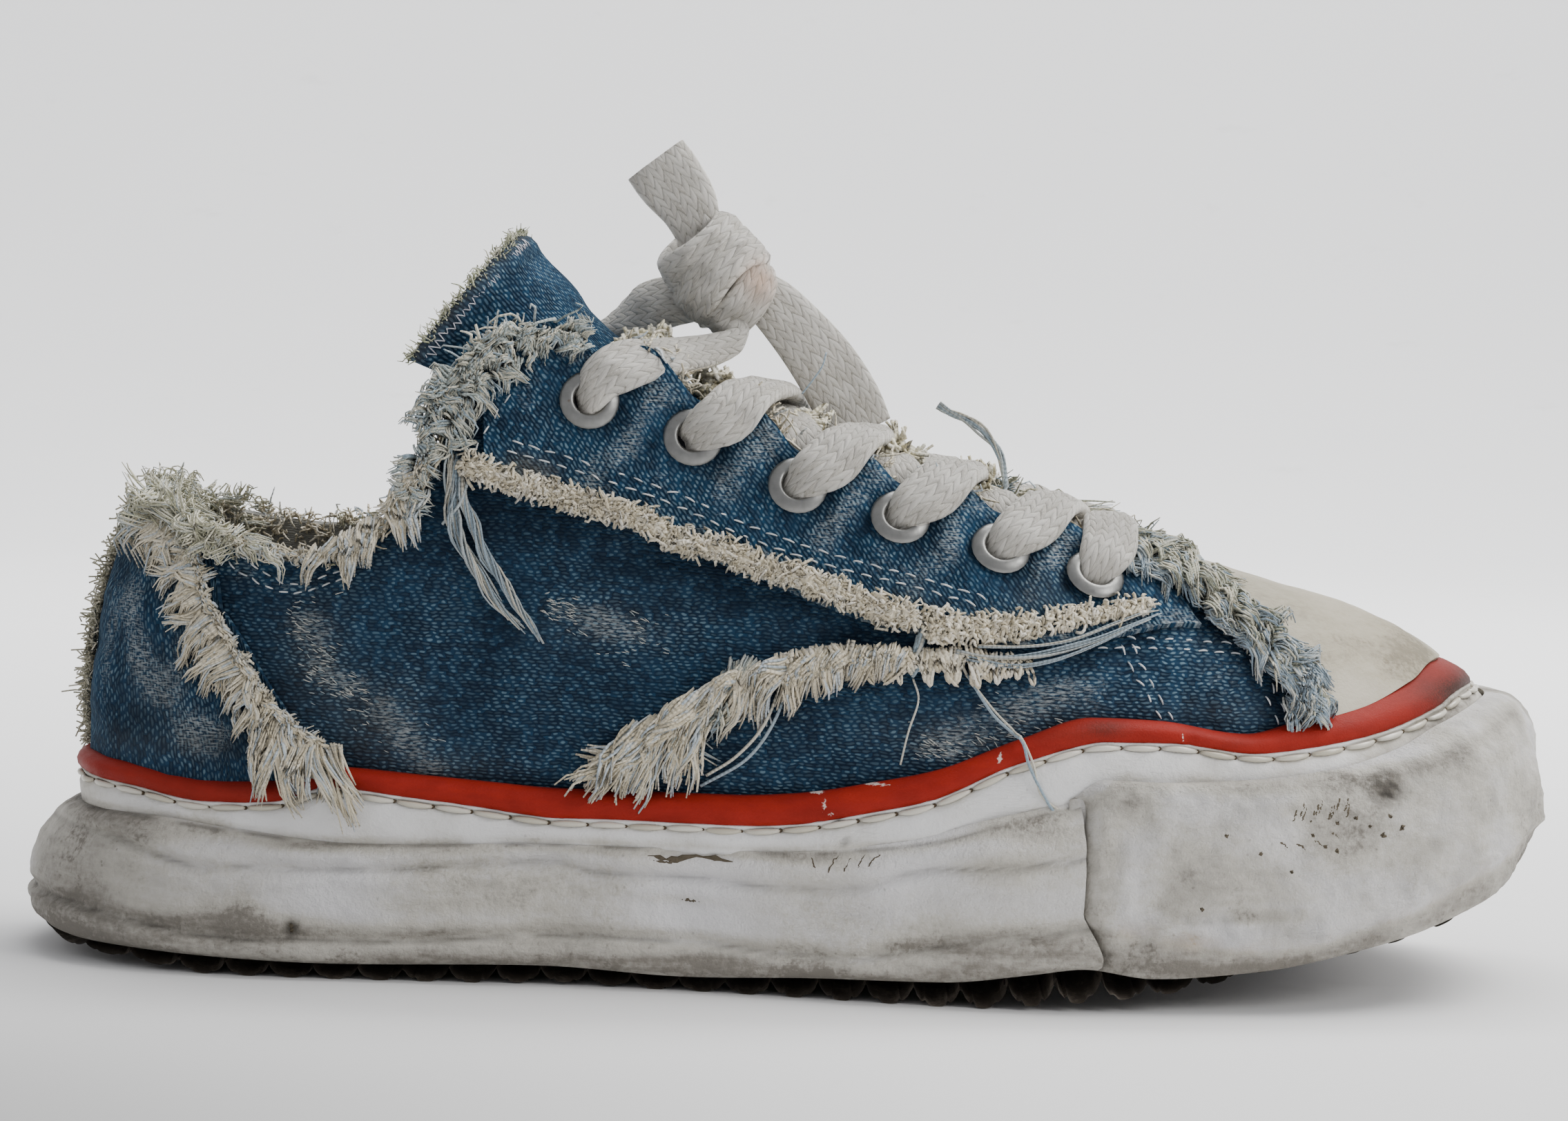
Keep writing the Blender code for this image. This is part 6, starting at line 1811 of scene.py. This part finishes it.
heelFluff = {
    "tufts": 120, "wideTufts": 60, "each": 10, "pile": 700,
    # line of x, height; locks; lean; lengths; width
    "streamers": [([(20.5, 84), (24, 88), (29, 89), (35, 85), (39, 81)], 24, -75, (4.0, 7.5), 1.5),
                  ([(22, 86), (27, 89), (32, 87.5)], 6, -95, (5, 8), 1.4),
                  ([(28, 88.5), (34, 86.5), (40, 83)], 8, 0, (4, 8), 1.4),
                  ([(36, 85), (43, 82), (51, 79.5)], 12, 14, (3, 5), 1.1)],
}


def makeHeelFluff():
    # matted yarn rolled over the heel's top edge, thickest at the back; each tuft one curl
    dice = np.random.default_rng(5)
    tufts = heelFluff["tufts"] + heelFluff["wideTufts"]
    place = np.concatenate([dice.uniform(-2.4, 2.4, heelFluff["tufts"]),
                            dice.uniform(-3.5, 3.5, heelFluff["wideTufts"])])
    number = np.repeat(np.arange(tufts), heelFluff["each"])
    out = upperNormal(place % around, 0.99)
    thick = bell(place, 2.2)[:, None]
    turn = dice.uniform(-0.4, 2 * math.pi - 0.4, tufts)[:, None]
    reach = (1.2 + 3.6 * thick) * dice.uniform(0.35, 1.0, tufts)[:, None]
    bulge = out * np.cos(turn) + np.array([0, 0, 1.25]) * np.sin(turn)
    centre = upperPoint(place % around, 1.0) - out * 3.4 * thick - np.array([0, 0,
                                                                             2.6]) * thick + bulge * reach
    lean = unit(np.cross(bulge, dice.normal(0, 1, (tufts, 3))) + bulge * 0.35)
    ways = unit(lean[number] + dice.normal(0, 0.12, (len(number), 3)))
    roots = centre[number] + dice.normal(0, 0.7, (len(number), 3))
    lengths = dice.uniform(2.4, 5.6, tufts)[number] * (0.6 + 0.4 * thick[number, 0])
    paths = freeYarns(roots, ways, lengths, dice, 6, 0.42, 0.1, number)
    addYarns("heelFluff", [tapered(paths, 0.2, dice)], mossYarn, dice)
    # cream yarns streaming down from it over the heel panel and forward along the collar
    bunches = [combed(dice, line, count, 8, lean + dice.normal(0, 34, count), length, wide, 0.1, 0.6,
                      (2.2, 4.8, 2.4), 0.2, seed=7)
               for line, count, lean, length, wide in heelFluff["streamers"]]
    addYarns("heelStreamers", bunches, mossYarn, dice)
    # pile of the lining inside the collar
    count = heelFluff["pile"]
    place = around - dice.uniform(1.2, 5.6, count)
    share = 1 - 0.3 * dice.uniform(0, 1, count) ** 1.6
    out = upperNormal(place, np.minimum(share, 0.99))
    ways = unit(-out + dice.normal(0, 0.7, (count, 3)) + (0, 0, 0.2))
    paths = freeYarns(upperPoint(place, share) - out * 2.0, ways, dice.uniform(1.5, 4.0, count), dice, 5,
                      0.35)
    addYarns("liningPile", [tapered(paths, 0.26, dice)], creamYarn, dice)


collar = {
    "edge": {-1: 420, 1: 280}, "front": {-1: 90, 1: 220},
    # line of x, height; locks; yarns in each; lean; lengths
    "hanging": [([(64, 82.5), (69, 86), (74, 89.5), (79, 93)], 8, 16, -118, (6.5, 11)),
                ([(60, 80.5), (66, 84), (70, 87)], 5, 14, -138, (4, 8)),
                ([(75, 93), (79, 97), (82, 100)], 6, 14, -165, (5, 9))],
    # line of x, height; locks; yarns in each; width; lengths; lift
    "column": [([(76, 90), (77.2, 96), (78.6, 102), (80, 108), (83, 113)], 36, 13, 1.3, (3.2, 6),
                (1.0, 4.4, 2.0)),
               ([(82, 110), (86, 115), (91.5, 119.6), (97, 122.4), (104, 123), (109, 120.8)], 42, 13, 1.3,
                (3.2, 6), (1.2, 4.0, 1.8)),
               ([(83, 99), (84.5, 106), (88, 111.6), (92.6, 115.6), (98.4, 118.6)], 28, 12, 1.1, (3.4, 6.4),
                (2.4, 4.4, 2.4))],
}


def makeCollarFringe():
    dice = np.random.default_rng(12)
    bunches = []
    # short matted yarn lying along the whole collar edge, both sides
    for side, count in collar["edge"].items():
        place = dice.uniform(2.4, 6.3, count)
        place = place if side < 0 else around - place
        root, out = upperPoint(place, 1.0), upperNormal(place, 0.99)
        ahead = unit(upperPoint(place + 0.05, 1.0) - upperPoint(place - 0.05, 1.0))
        ways = unit(out * dice.normal(0.2, 0.8, (count, 1)) + ahead * dice.normal(0, 0.9, (count, 1))
                    + (0, 0, 0.45))
        roots = root + dice.normal(0, 0.8, root.shape) + out * -0.6 + (0, 0, 0.5)
        paths = freeYarns(roots, ways, dice.uniform(2.0, 4.4, count), dice, 6, 0.4, 0.2)
        bunches.append(tapered(paths, 0.24, dice))
    # yarns hanging from the collar onto the quarter
    for line, count, each, lean, length in collar["hanging"]:
        bunches.append(combed(dice, line, count, each, lean + dice.normal(0, 8, count), length, 1.6, 0.1,
                              0.26, (1.6, 4.2, 1.4), 0.26))
    addYarns("collarFringe", bunches, mixedYarn, dice)
    # paler and bluer fluff up the front column and over the facing's back corner
    bunches = []
    for line, count, each, wide, length, lift in collar["column"]:
        lean = dice.choice([-1, 1], count, p=[0.7, 0.3]) * dice.normal(120, 30, count)
        bunches.append(combed(dice, line, count, each, lean, length, wide, 0.14, 0.4, lift, 0.2))
    for side, count in collar["front"].items():
        place = dice.uniform(5.2, 7.0, count)
        place = place if side < 0 else around - place
        root = upperPoint(place, 1.0)
        ways = unit(dice.normal(0, 0.8, (count, 3)) + upperNormal(place, 0.99) * 0.4 + (0, 0, 0.3))
        roots = root + dice.normal(0, 1.0, root.shape)
        bunches.append(tapered(freeYarns(roots, ways, dice.uniform(3, 7, count), dice, 6, 0.3), 0.3, dice))
    addYarns("facingFluff", bunches, paleYarn, dice)


def twistedBundle(line, yarns, wide, turns, lift, dice, steps=18):
    # yarns that wind round one line: offset by wide * (cos, sin) of the turn along it
    centre = smoothRows(line, steps)
    square = squareTo(unit(np.gradient(centre, axis=0)))
    start = np.linspace(0, 2 * math.pi, yarns, endpoint=False)[:, None] + dice.normal(0, 0.2, (yarns, 1))
    t = np.linspace(0, 1, steps)[None] * dice.uniform(0.84, 1.0, (yarns, 1))
    angle = start + 2 * math.pi * turns * t
    reach = wide * dice.uniform(0.4, 1.15, (yarns, 1)) * (0.7 + 0.3
                                                          * np.sin(t * 9 + dice.uniform(0, 6, (yarns, 1))))
    reach = reach * (1 - 0.55 * t**3)
    spot = t * (steps - 1)
    x, z = np.moveaxis(picked(centre, spot) + picked(square, spot) * (reach * np.cos(angle))[..., None], -1,
                       0)
    return onUpper(x, z, lift + 0.75 * reach * (1 + np.sin(angle)))


bundles = {
    # line of x, height; yarns; width; turns
    "hanging": [([(84.2, 99), (84.6, 94), (84.6, 89.1), (86.2, 83.5), (89.6, 77.5), (94.4, 71), (99.8, 65.8)],
                 22, 1.4, 1.6),
                ([(85, 98), (86.2, 93), (87.9, 88), (91, 81.6), (94.9, 75), (99.2, 69), (103, 63.8)], 18, 1.3,
                 1.9),
                ([(84.6, 99), (85, 92), (86.2, 85), (90.2, 78), (95.4, 71)], 8, 0.9, 0.9)],
    "overThroat": [(176.9, 111.2), (179.4, 109.6), (184, 107.6), (188, 103.6), (189.8, 99.4), (190.4, 94.5),
                   (189, 91)],
    "lowEdge": [([(180, 64.6), (187, 63.6), (196, 64.2), (205, 66.4), (212, 69.2), (219, 71.6)], 6, 0.6, 0.4),
                ([(182, 63.4), (190, 62.2), (199, 63.6), (208, 67.0), (214, 69.8), (218.4, 71.4)], 4, 0.45,
                 0.4),
                ([(184, 65.6), (192, 65.6), (201, 66.8), (209, 69.4), (215, 71.4), (219.4, 72.0)], 3, 0.35,
                 0.4)],
    "short": [(172.3, 72.6), (173.6, 68), (172.7, 63.5), (172.0, 60)],
    # line of x, height; radius
    "loose": [([(172.3, 60), (173.4, 56), (171.8, 50.4), (170.4, 44.2)], 0.2),
              ([(182.2, 61), (187.2, 53.8), (192.3, 49.1), (193.8, 44.9), (196.8, 39.3), (199.7, 35.2)], 0.3),
              ([(178.9, 66), (182.2, 61)], 0.3), ([(148.5, 60.5), (145.1, 50.8), (140, 44.6), (134.2, 40.6)],
                                                  0.3),
              ([(149.5, 60.5), (147.1, 51.8), (142, 44.2), (133.2, 38.6)], 0.3),
              ([(182, 61), (187.6, 54.3), (192.0, 49.9), (194.6, 44.9), (196.2, 39.6), (200.4, 36.4)], 0.22),
              ([(150, 112.6), (153.4, 117.4), (154.4, 120.6)], 0.16),
              ([(88, 96), (86.4, 90), (83, 86)], 0.3)],
}


def makeBundles():
    dice = np.random.default_rng(21)
    bunches = [tapered(twistedBundle(*row, 1.2, dice), 0.23, dice, 0.5) for row in bundles["hanging"]]
    paths = twistedBundle(bundles["overThroat"], 8, 0.9, 1.2, 0.8, dice)
    paths[..., 1] = -4.0 + 0.35 * (paths[..., 1] - paths[..., 1].mean()) - np.linspace(4, 14, 18)[None] * 0.6
    bunches.append((paths, np.full(paths.shape[:2], 0.3)))
    bunches += [tapered(twistedBundle(*row, 3.0, dice), 0.19, dice, 0.6) for row in bundles["lowEdge"]]
    paths = twistedBundle(bundles["short"], 6, 1.3, 0.6, 1.6, dice)
    bunches.append((paths, np.full(paths.shape[:2], 0.36)))
    addYarns("yarnBundles", bunches, blueYarn, dice)
    bunches = []
    for line, radius in bundles["loose"]:
        x, z = smoothRows(line, 30).T
        lift = 1.0 + 1.2 * np.sin(np.linspace(0, math.pi, 30)) + 3.4 * (z < 50) * (x > 185)
        bunches.append((onUpper(x, z, lift)[None], np.full((1, 30), radius)))
    addYarns("looseThreads", bunches, blueYarn, dice, 6)


roll = {"fibres": {-1: 1700, 1: 350}, "radius": 1.5, "steps": 150,
        "line": [(87.0, 97.0), (95.4, 94.0), (103.4, 91.8), (112.5, 89.4), (119.4, 87.6), (127.2, 83.6),
                 (135.2, 82.0), (142.0, 79.4), (150.2, 77.2), (158.6, 74.2), (165.6, 71.6), (172.4, 70.4)]}


def makeRoll(side, seed):
    # rolled and brushed edge of the facing: a lumpy cord under short curly yarn ends
    dice = np.random.default_rng(seed)
    step = np.arange(roll["steps"])
    centre, way = alongLine(roll["line"], len(step))
    path = onUpper(centre[:, 0], centre[:, 1], 2.2 + 0.3 * np.sin(step * 0.23), side)
    bulge = roll["radius"] * (1 + 0.22 * np.sin(step * 0.9 + np.sin(step * 0.31) * 2))
    bulge *= np.interp(step, [0, 6, 120, 149], [0.5, 1, 1.15, 1.2])
    addYarns("rollCore" + sideNames[side], [(path[None], bulge[None])], creamYarn, dice, 12)
    count = roll["fibres"][side]
    spot = dice.uniform(0, step[-1], count)
    below = dice.uniform(size=count) < 0.55
    lean = np.where(below, dice.normal(-70, 50, count), dice.normal(60, 50, count))
    length = np.where(below, dice.uniform(1.2, 2.2, count), dice.uniform(1.4, 3.2, count))
    paths = yarnPaths(picked(centre, spot) + dice.normal(0, 0.5, (count, 2)),
                      rotated(unit(picked(way, spot)), lean),
                      length, dice, 5, 0.0, 0.75, (2.6, 4.2, np.where(below, 2.6, 3.0)), side)
    addYarns("rollFibres" + sideNames[side], [tapered(paths, 0.3, dice, 0.9)], creamYarn, dice)


torn = {
    "leafTop": [(170, 65.8), (161, 64.4), (153.6, 62.8), (146, 61.2), (139.5, 59.0), (133.4, 55.8),
                (128.6, 52.4), (124, 48.6), (120, 44.8), (115.4, 41.8)],
    # roots and ends of the long tufts in front, and of the bluer ones under them
    "tufts": [((122, 49), (108.8, 39)), ((125, 50), (113, 37.6)), ((127, 50), (117.5, 35.6)),
              ((129, 51), (121.5, 35.8)), ((131, 53), (126, 37.2)), ((134, 55), (130, 38.6))],
    "underTufts": [((140, 62), (136, 46)), ((138, 60), (133.5, 42)), ((135, 57), (131, 40.4)),
                   ((142, 63), (139, 52))],
    "combTop": [(147, 63.2), (155, 65.2), (163, 65.6), (171.4, 64.8), (180, 65.4), (187.6, 64.4),
                (193, 64.0)],
    # count, lengths, width, lean of the comb's loops
    "combs": [(78, (5.0, 8.6), 1.4, -88), (54, (3.0, 6.0), 1.3, -74)],
    "upperLow": [(175, 66.0), (183, 65.6), (192, 66.6), (201, 68.6), (209, 70.4), (216, 71.6)], "pile": 460,
}


def hairpins(tops, ways, lengths, wide, dice, steps=9, lift=(1.2, 2.6, 1.4)):
    # loops of yarn: down one side, round the end and back up
    t = np.linspace(0, 1, steps)[None]
    down = np.sin(math.pi * t) ** 0.75
    across = -np.cos(math.pi * t) * wide * 0.5 * (0.6 + 0.4 * down)
    across = across + dice.normal(0, 0.12, (len(tops), 1)) * lengths[:, None] * down**2
    x, z = np.moveaxis(tops[:, None] + ways[:, None] * (lengths[:, None] * down)[..., None]
                       + squareTo(ways)[:, None] * across[..., None], -1, 0)
    low, mid, end = lift
    height = low + (mid - low) * np.sin(math.pi * np.clip(down, 0, 1)) + (end - low) * down
    return onUpper(x, z, height + dice.uniform(0, 0.7, (len(tops), 1)))


def tornTuft(root, end, shortest, wide, sag, curl, lift, radius, fan, dice):
    # three locks side by side from root towards end
    root, end = np.array(root), np.array(end)
    length = np.linalg.norm(end - root)
    return combed(dice, [root, root + (end - root) * 0.12], 3, 14, 0.0, (length * shortest, length), wide,
                  sag, curl, lift, radius, fan, steps=7, ending=0.6)


def makeTornBand():
    dice = np.random.default_rng(31)
    # the feathered lower band: yarns sweeping down and back from its top edge
    share = np.linspace(0, 1, 50)
    lean = np.interp(share, [0, 0.25, 0.4, 0.6, 0.85, 1], [62, 50, 26, 12, 4, -6])
    long = np.interp(share, [0, 0.2, 0.35, 0.6, 0.85, 1], [5.5, 8, 12.5, 14, 10, 6])
    bunches = [combed(dice, torn["leafTop"], 50, 16, lean, (long * 0.8, long * 1.1), 1.5, 0.16, 0.24,
                      (1.2, 5.2, 1.2), 0.28, -7, steps=7, ending=0.6)]
    bunches += [tornTuft(*tuft, 0.75, 1.7, 0.05, 0.2, (1.4, 4.6, 4.0), 0.27, -9, dice)
                for tuft in torn["tufts"]]
    # a lower layer, bluer and hanging more steeply
    lower = [tornTuft(*tuft, 0.7, 1.6, -0.1, 0.3, (0.8, 3.2, 1.2), 0.25, -6, dice)
             for tuft in torn["underTufts"]]
    addYarns("tornUnder", lower, paleYarn, dice)
    addYarns("tornBand", bunches, mixedYarn, dice)
    # comb of loops, and the shorter upper row
    bunches = []
    for count, length, wide, lean in torn["combs"]:
        tops, ways = alongLine(torn["combTop"], count, 0.8, 3)
        tops = tops + dice.normal(0, 0.4, tops.shape)
        ways = rotated(ways, dice.normal(lean, 17, count))
        lengths = dice.uniform(*length, count) * dice.uniform(0.7, 1.05, count)
        lengths = lengths * np.interp(np.linspace(0, 1, count), [0, 0.1, 0.8, 1], [0.7, 1, 0.9, 0.45])
        bunches.append((hairpins(tops, ways, lengths, wide, dice),
                        np.full((count, 9), 0.4) * dice.uniform(0.75, 1.2, (count, 1))))
    # curly pile in a wedge above the comb, narrowing towards the toe
    count = torn["pile"]
    share = dice.uniform(0, 1, count) ** 1.3
    roots = alongLine(torn["upperLow"], count)[0][np.minimum((share * count).astype(int), count - 1)]
    roots[:, 1] += np.interp(share, [0, 0.3, 1], [5.2, 4.0, 0.6]) * dice.uniform(0, 1, count)
    ways = rotated(np.tile([0.0, 1.0], (count, 1)), dice.normal(10, 40, count))
    paths = yarnPaths(roots, ways, dice.uniform(1.3, 2.8, count), dice, 9, 0.0, 0.7, (2.0, 3.4, 2.4))
    addYarns("tornLoops", bunches + [tapered(paths, 0.3, dice, 0.9)], creamYarn, dice)


toeFringe = {"locks": 120, "each": {-1: 15, 1: 5}, "lowLine": [(243, 62), (245.5, 60), (248, 58.5)],
             "line": [(209, 88.2), (215, 86.4), (221.2, 83.8), (227.4, 79.6), (233.2, 75.2), (239, 70.8),
                      (244, 66.2), (247.4, 61), (249, 56.4)]}


def makeToeFringe(side, seed):
    dice = np.random.default_rng(seed)
    count = toeFringe["locks"]
    lean = dice.normal(-10, 15, count)
    roots, ways, number, lengths = locks(toeFringe["line"], count, toeFringe["each"][side], dice, lean,
                                         (4.6, 8.6), 1.1, -6)
    offset = dice.uniform(-6.2, 0.4, count)[number]
    roots = roots + squareTo(ways) * offset[:, None]
    high = np.interp(abs(offset + 2.9), [0, 3.3], [5.6, 3.0])
    paths = yarnPaths(roots, ways, lengths, dice, 6, 0.0, 0.26, (1.8, high, 2.2), side, number)
    blue = (roots[:, 0] + dice.normal(0, 5, len(roots)) > 238) | (offset < -4.6)
    paths, radius = tapered(paths, 0.22, dice)
    addYarns("toeBlue" + sideNames[side], [(paths[blue], radius[blue])], coldYarn, dice)
    low = combed(dice, toeFringe["lowLine"], 8, 12, -38.0, (4.5, 7.5), 1.1, 0.0, 0.2, (1.8, 4.2, 2.8), 0.24,
                 side=side)
    addYarns("toeFringe" + sideNames[side], [(paths[~blue], radius[~blue]), low], dullYarn, dice)


throat = {"pileSpots": [(132, 114), (151, 105.6), (169, 101), (185, 94.4), (117, 121.4)], "pile": 34,
          "front": 34}


def makeThroatFluff():
    # cream and blue ends of the facings' edges, between the laces and where the laces go under
    dice = np.random.default_rng(41)
    bunches = []
    for side in (-1, 1):
        for number, (x, _) in enumerate(eyelets, 1):
            places = dice.uniform(x + 7.5, x + 19.0, 46)
            if number == len(eyelets):
                places = dice.uniform(x + 4, x + 12, 40)
            edge = facingEdge(places, side)
            edge[:, 2] += scallop(places) * 0.85
            roots = edge + dice.normal(0, 0.9, edge.shape) + (0, side * -0.6, 0.6)
            ways = unit(dice.normal(0, 0.8, roots.shape) + (0.3, -side * 0.5, 0.35))
            paths = freeYarns(roots, ways, dice.uniform(2.6, 6.0, len(roots)), dice, 6, 0.3)
            bunches.append(tapered(paths, 0.3, dice))
    roots = np.column_stack([dice.uniform(185, 212, 150), dice.normal(0, 9, 150), np.zeros(150)])
    roots[:, 2] = tongueCrest(roots[:, 0]) - 0.02 * roots[:, 1] ** 2 + dice.uniform(1, 3.5, 150)
    ways = unit(dice.normal(0, 0.9, roots.shape) + (0.5, 0, 0.35))
    bunches.append(tapered(freeYarns(roots, ways, dice.uniform(4, 9, 150), dice, 6, 0.3), 0.3, dice))
    # looped cream pile inside the throat, beside each lace
    pile, count = [], throat["pile"]
    for x, z in throat["pileSpots"]:
        number = np.repeat(np.arange(count), 6)
        centre = np.column_stack([dice.normal(x, 2.4, count), dice.uniform(-14, -5, count),
                                  dice.normal(z - 0.8, 1.7, count)])
        ways = unit(dice.normal(0, 0.8, (count, 3)) + (0.2, -0.5, 0.3))[number]
        roots = centre[number] + dice.normal(0, 0.5, (len(number), 3))
        paths = freeYarns(roots, ways, dice.uniform(1.6, 3.0, count)[number], dice, 5, 0.7, 0.1, number)
        pile.append(tapered(paths, 0.4, dice, 0.9))
    addYarns("throatPile", pile, terryYarn, dice)
    # blue and cream ends lying over the front laces
    count = throat["front"]
    number = np.repeat(np.arange(count), 14)
    centre = np.column_stack([dice.uniform(184, 214, count), dice.uniform(-15, 4, count), np.zeros(count)])
    centre[:, 2] = tongueCrest(centre[:, 0]) + 5.6 - 0.035 * centre[:, 1] ** 2
    ways = unit(dice.normal(0, 0.45, (count, 3)) + (0.9, -0.2, -0.25))[number]
    roots = centre[number] + dice.normal(0, 0.8, (len(number), 3))
    paths = freeYarns(roots, ways, dice.uniform(4.5, 9, count)[number], dice, 6, 0.35, 0.15, number)
    addYarns("frontFluff", [tapered(paths, 0.22, dice)], dullYarn, dice)
    addYarns("throatFluff", bunches, mixedYarn, dice)


def makeTongueFuzz(edge, out, inward, count=900):
    # green-grey ends of cloth along the tongue's cut edge
    dice = np.random.default_rng(45)
    spot = dice.uniform(0, len(edge) - 1, count)
    out, inward = picked(out, spot), picked(inward, spot)
    roots = picked(edge, spot) + inward * dice.uniform(-0.2, 1.5, (count, 1)) + out * dice.uniform(-1.6, 0.4,
                                                                                                   (count, 1))
    ways = unit(out * 0.5 - inward * 0.8 + dice.normal(0, 0.6, (count, 3)))
    paths = freeYarns(roots, ways, dice.uniform(0.8, 2.2, count), dice, 4, 0.4, 0.05)
    addYarns("tongueFuzz", [tapered(paths, 0.17, dice)], edgeYarn, dice)


fuzz = {"rubbedSpots": [*shell["wear"][:9], (184, 51, 8, 3, 1), (192, 55.5, 6, 3, 1), (177, 47.5, 5, 2, 1)],
        "each": 40, "heel": 900}


def makeWornFuzz():
    # short broken white yarns on the rubbed places, olive fuzz down the heel's back
    dice = np.random.default_rng(51)
    bunches, count = [], fuzz["each"]
    for x, z, long, tall, _ in fuzz["rubbedSpots"]:
        roots = np.column_stack([dice.normal(x, long * 0.6, count), dice.normal(z, tall * 0.6, count)])
        ways = rotated(np.tile([1.0, 0.0], (count, 1)), dice.normal(-16, 12, count))
        paths = yarnPaths(roots, ways, dice.uniform(0.7, 1.7, count), dice, 4, 0.0, 0.06, (0.1, 0.4, 0.1))
        bunches.append(tapered(paths, 0.1, dice, 0.6))
    addYarns("rubbedYarn", bunches, frayYarn, dice)
    count = fuzz["heel"]
    place = dice.normal(0, 0.15, count) % around
    share = dice.uniform(0.22, 0.96, count)
    out = upperNormal(place, share)
    ways = unit(out + dice.normal(0, 0.7, (count, 3)))
    paths = freeYarns(upperPoint(place, share) + out * 1.8, ways, dice.uniform(1.4, 3.0, count), dice, 4, 0.4,
                      0.2)
    addYarns("heelFuzz", [(paths, np.full((count, 4), 0.17))], oliveYarn, dice)


stitchRows = [  # line of x, height; pitch, stitch length, lift
    ([(96.5, 101.4), (107.6, 98.4), (125.8, 92.8), (141, 86.6), (156.2, 81.8), (171.2, 78.2), (184.5, 74.6)],
     3.2, 2.1, 2.55),
    ([(95.5, 99.6), (107.2, 96.5), (125.3, 90.8), (140.4, 84.6), (155.6, 79.8), (170.8, 76.4), (182.5, 73.4)],
     3.2, 2.1, 2.55),
    ([(209.6, 68.6), (217.9, 68.3), (226.1, 67.9), (235.5, 67.5)], 2.9, 1.8, 0.45),
    ([(204.6, 66.4), (212, 66.6), (219.9, 66.5), (228.1, 66.1), (236.6, 65.5)], 2.9, 1.8, 0.45),
    ([(210.6, 69.4), (212.5, 64.3), (215.4, 59.4), (218.3, 54.6)], 2.6, 1.9, 0.45),
    ([(212.6, 69.6), (214.6, 64.6), (217.4, 59.6), (220.6, 54.4)], 2.6, 1.9, 0.45),
    ([(234.7, 67.2), (237.4, 61.7), (241, 53.9)], 2.6, 1.7, 0.45),
    ([(236.9, 66.5), (239.3, 61.7), (242.2, 56.1)], 2.6, 1.7, 0.45),
    ([(39.9, 78.4), (45.5, 74.6), (54.4, 72.0), (63.6, 74.9)], 2.5, 1.7, 0.4),
    ([(41.9, 80.0), (47.5, 76.3), (54.4, 73.7), (62.9, 76.3)], 2.5, 1.7, 0.4),
    ([(89, 100.5), (91.5, 105.5), (94.2, 109.6)], 2.6, 1.8, 2.5)]


def makeStitches():
    dice = np.random.default_rng(61)
    t = np.linspace(-0.5, 0.5, 7)[None]
    paths = []
    for side in (-1, 1):
        for line, pitch, length, lift in stitchRows:
            count = int(runAlong(np.array(line))[-1] / pitch)
            centre, way = alongLine(line, count)
            way = rotated(way, dice.normal(0, 7, count))
            size = length * dice.uniform(0.8, 1.1, (count, 1))
            x, z = np.moveaxis(centre[:, None] + way[:, None] * (size * t)[..., None], -1, 0)
            height = lift - 0.3 + 0.42 * np.cos(math.pi * t * 0.98) ** 0.5 + dice.normal(0, 0.05, (count, 1))
            paths.append(onUpper(x, z, height, side))
    paths = np.concatenate(paths)
    radius = np.full(paths.shape[:2], 0.18) * (0.7 + 0.3 * np.cos(math.pi * t))
    addStrands("stitches", paths, radius, whiteStitch, dice.uniform(0, 1, len(paths)), 6)


makeHeelBand(-1, 71)
makeHeelBand(1, 72)
makeHeelFluff()
makeCollarFringe()
makeBundles()
makeRoll(-1, 73)
makeRoll(1, 74)
makeTornBand()
makeToeFringe(-1, 75)
makeToeFringe(1, 76)
makeThroatFluff()
makeTongueFuzz(*tongueEdge)
makeWornFuzz()
makeStitches()
print("frays and stitches made")
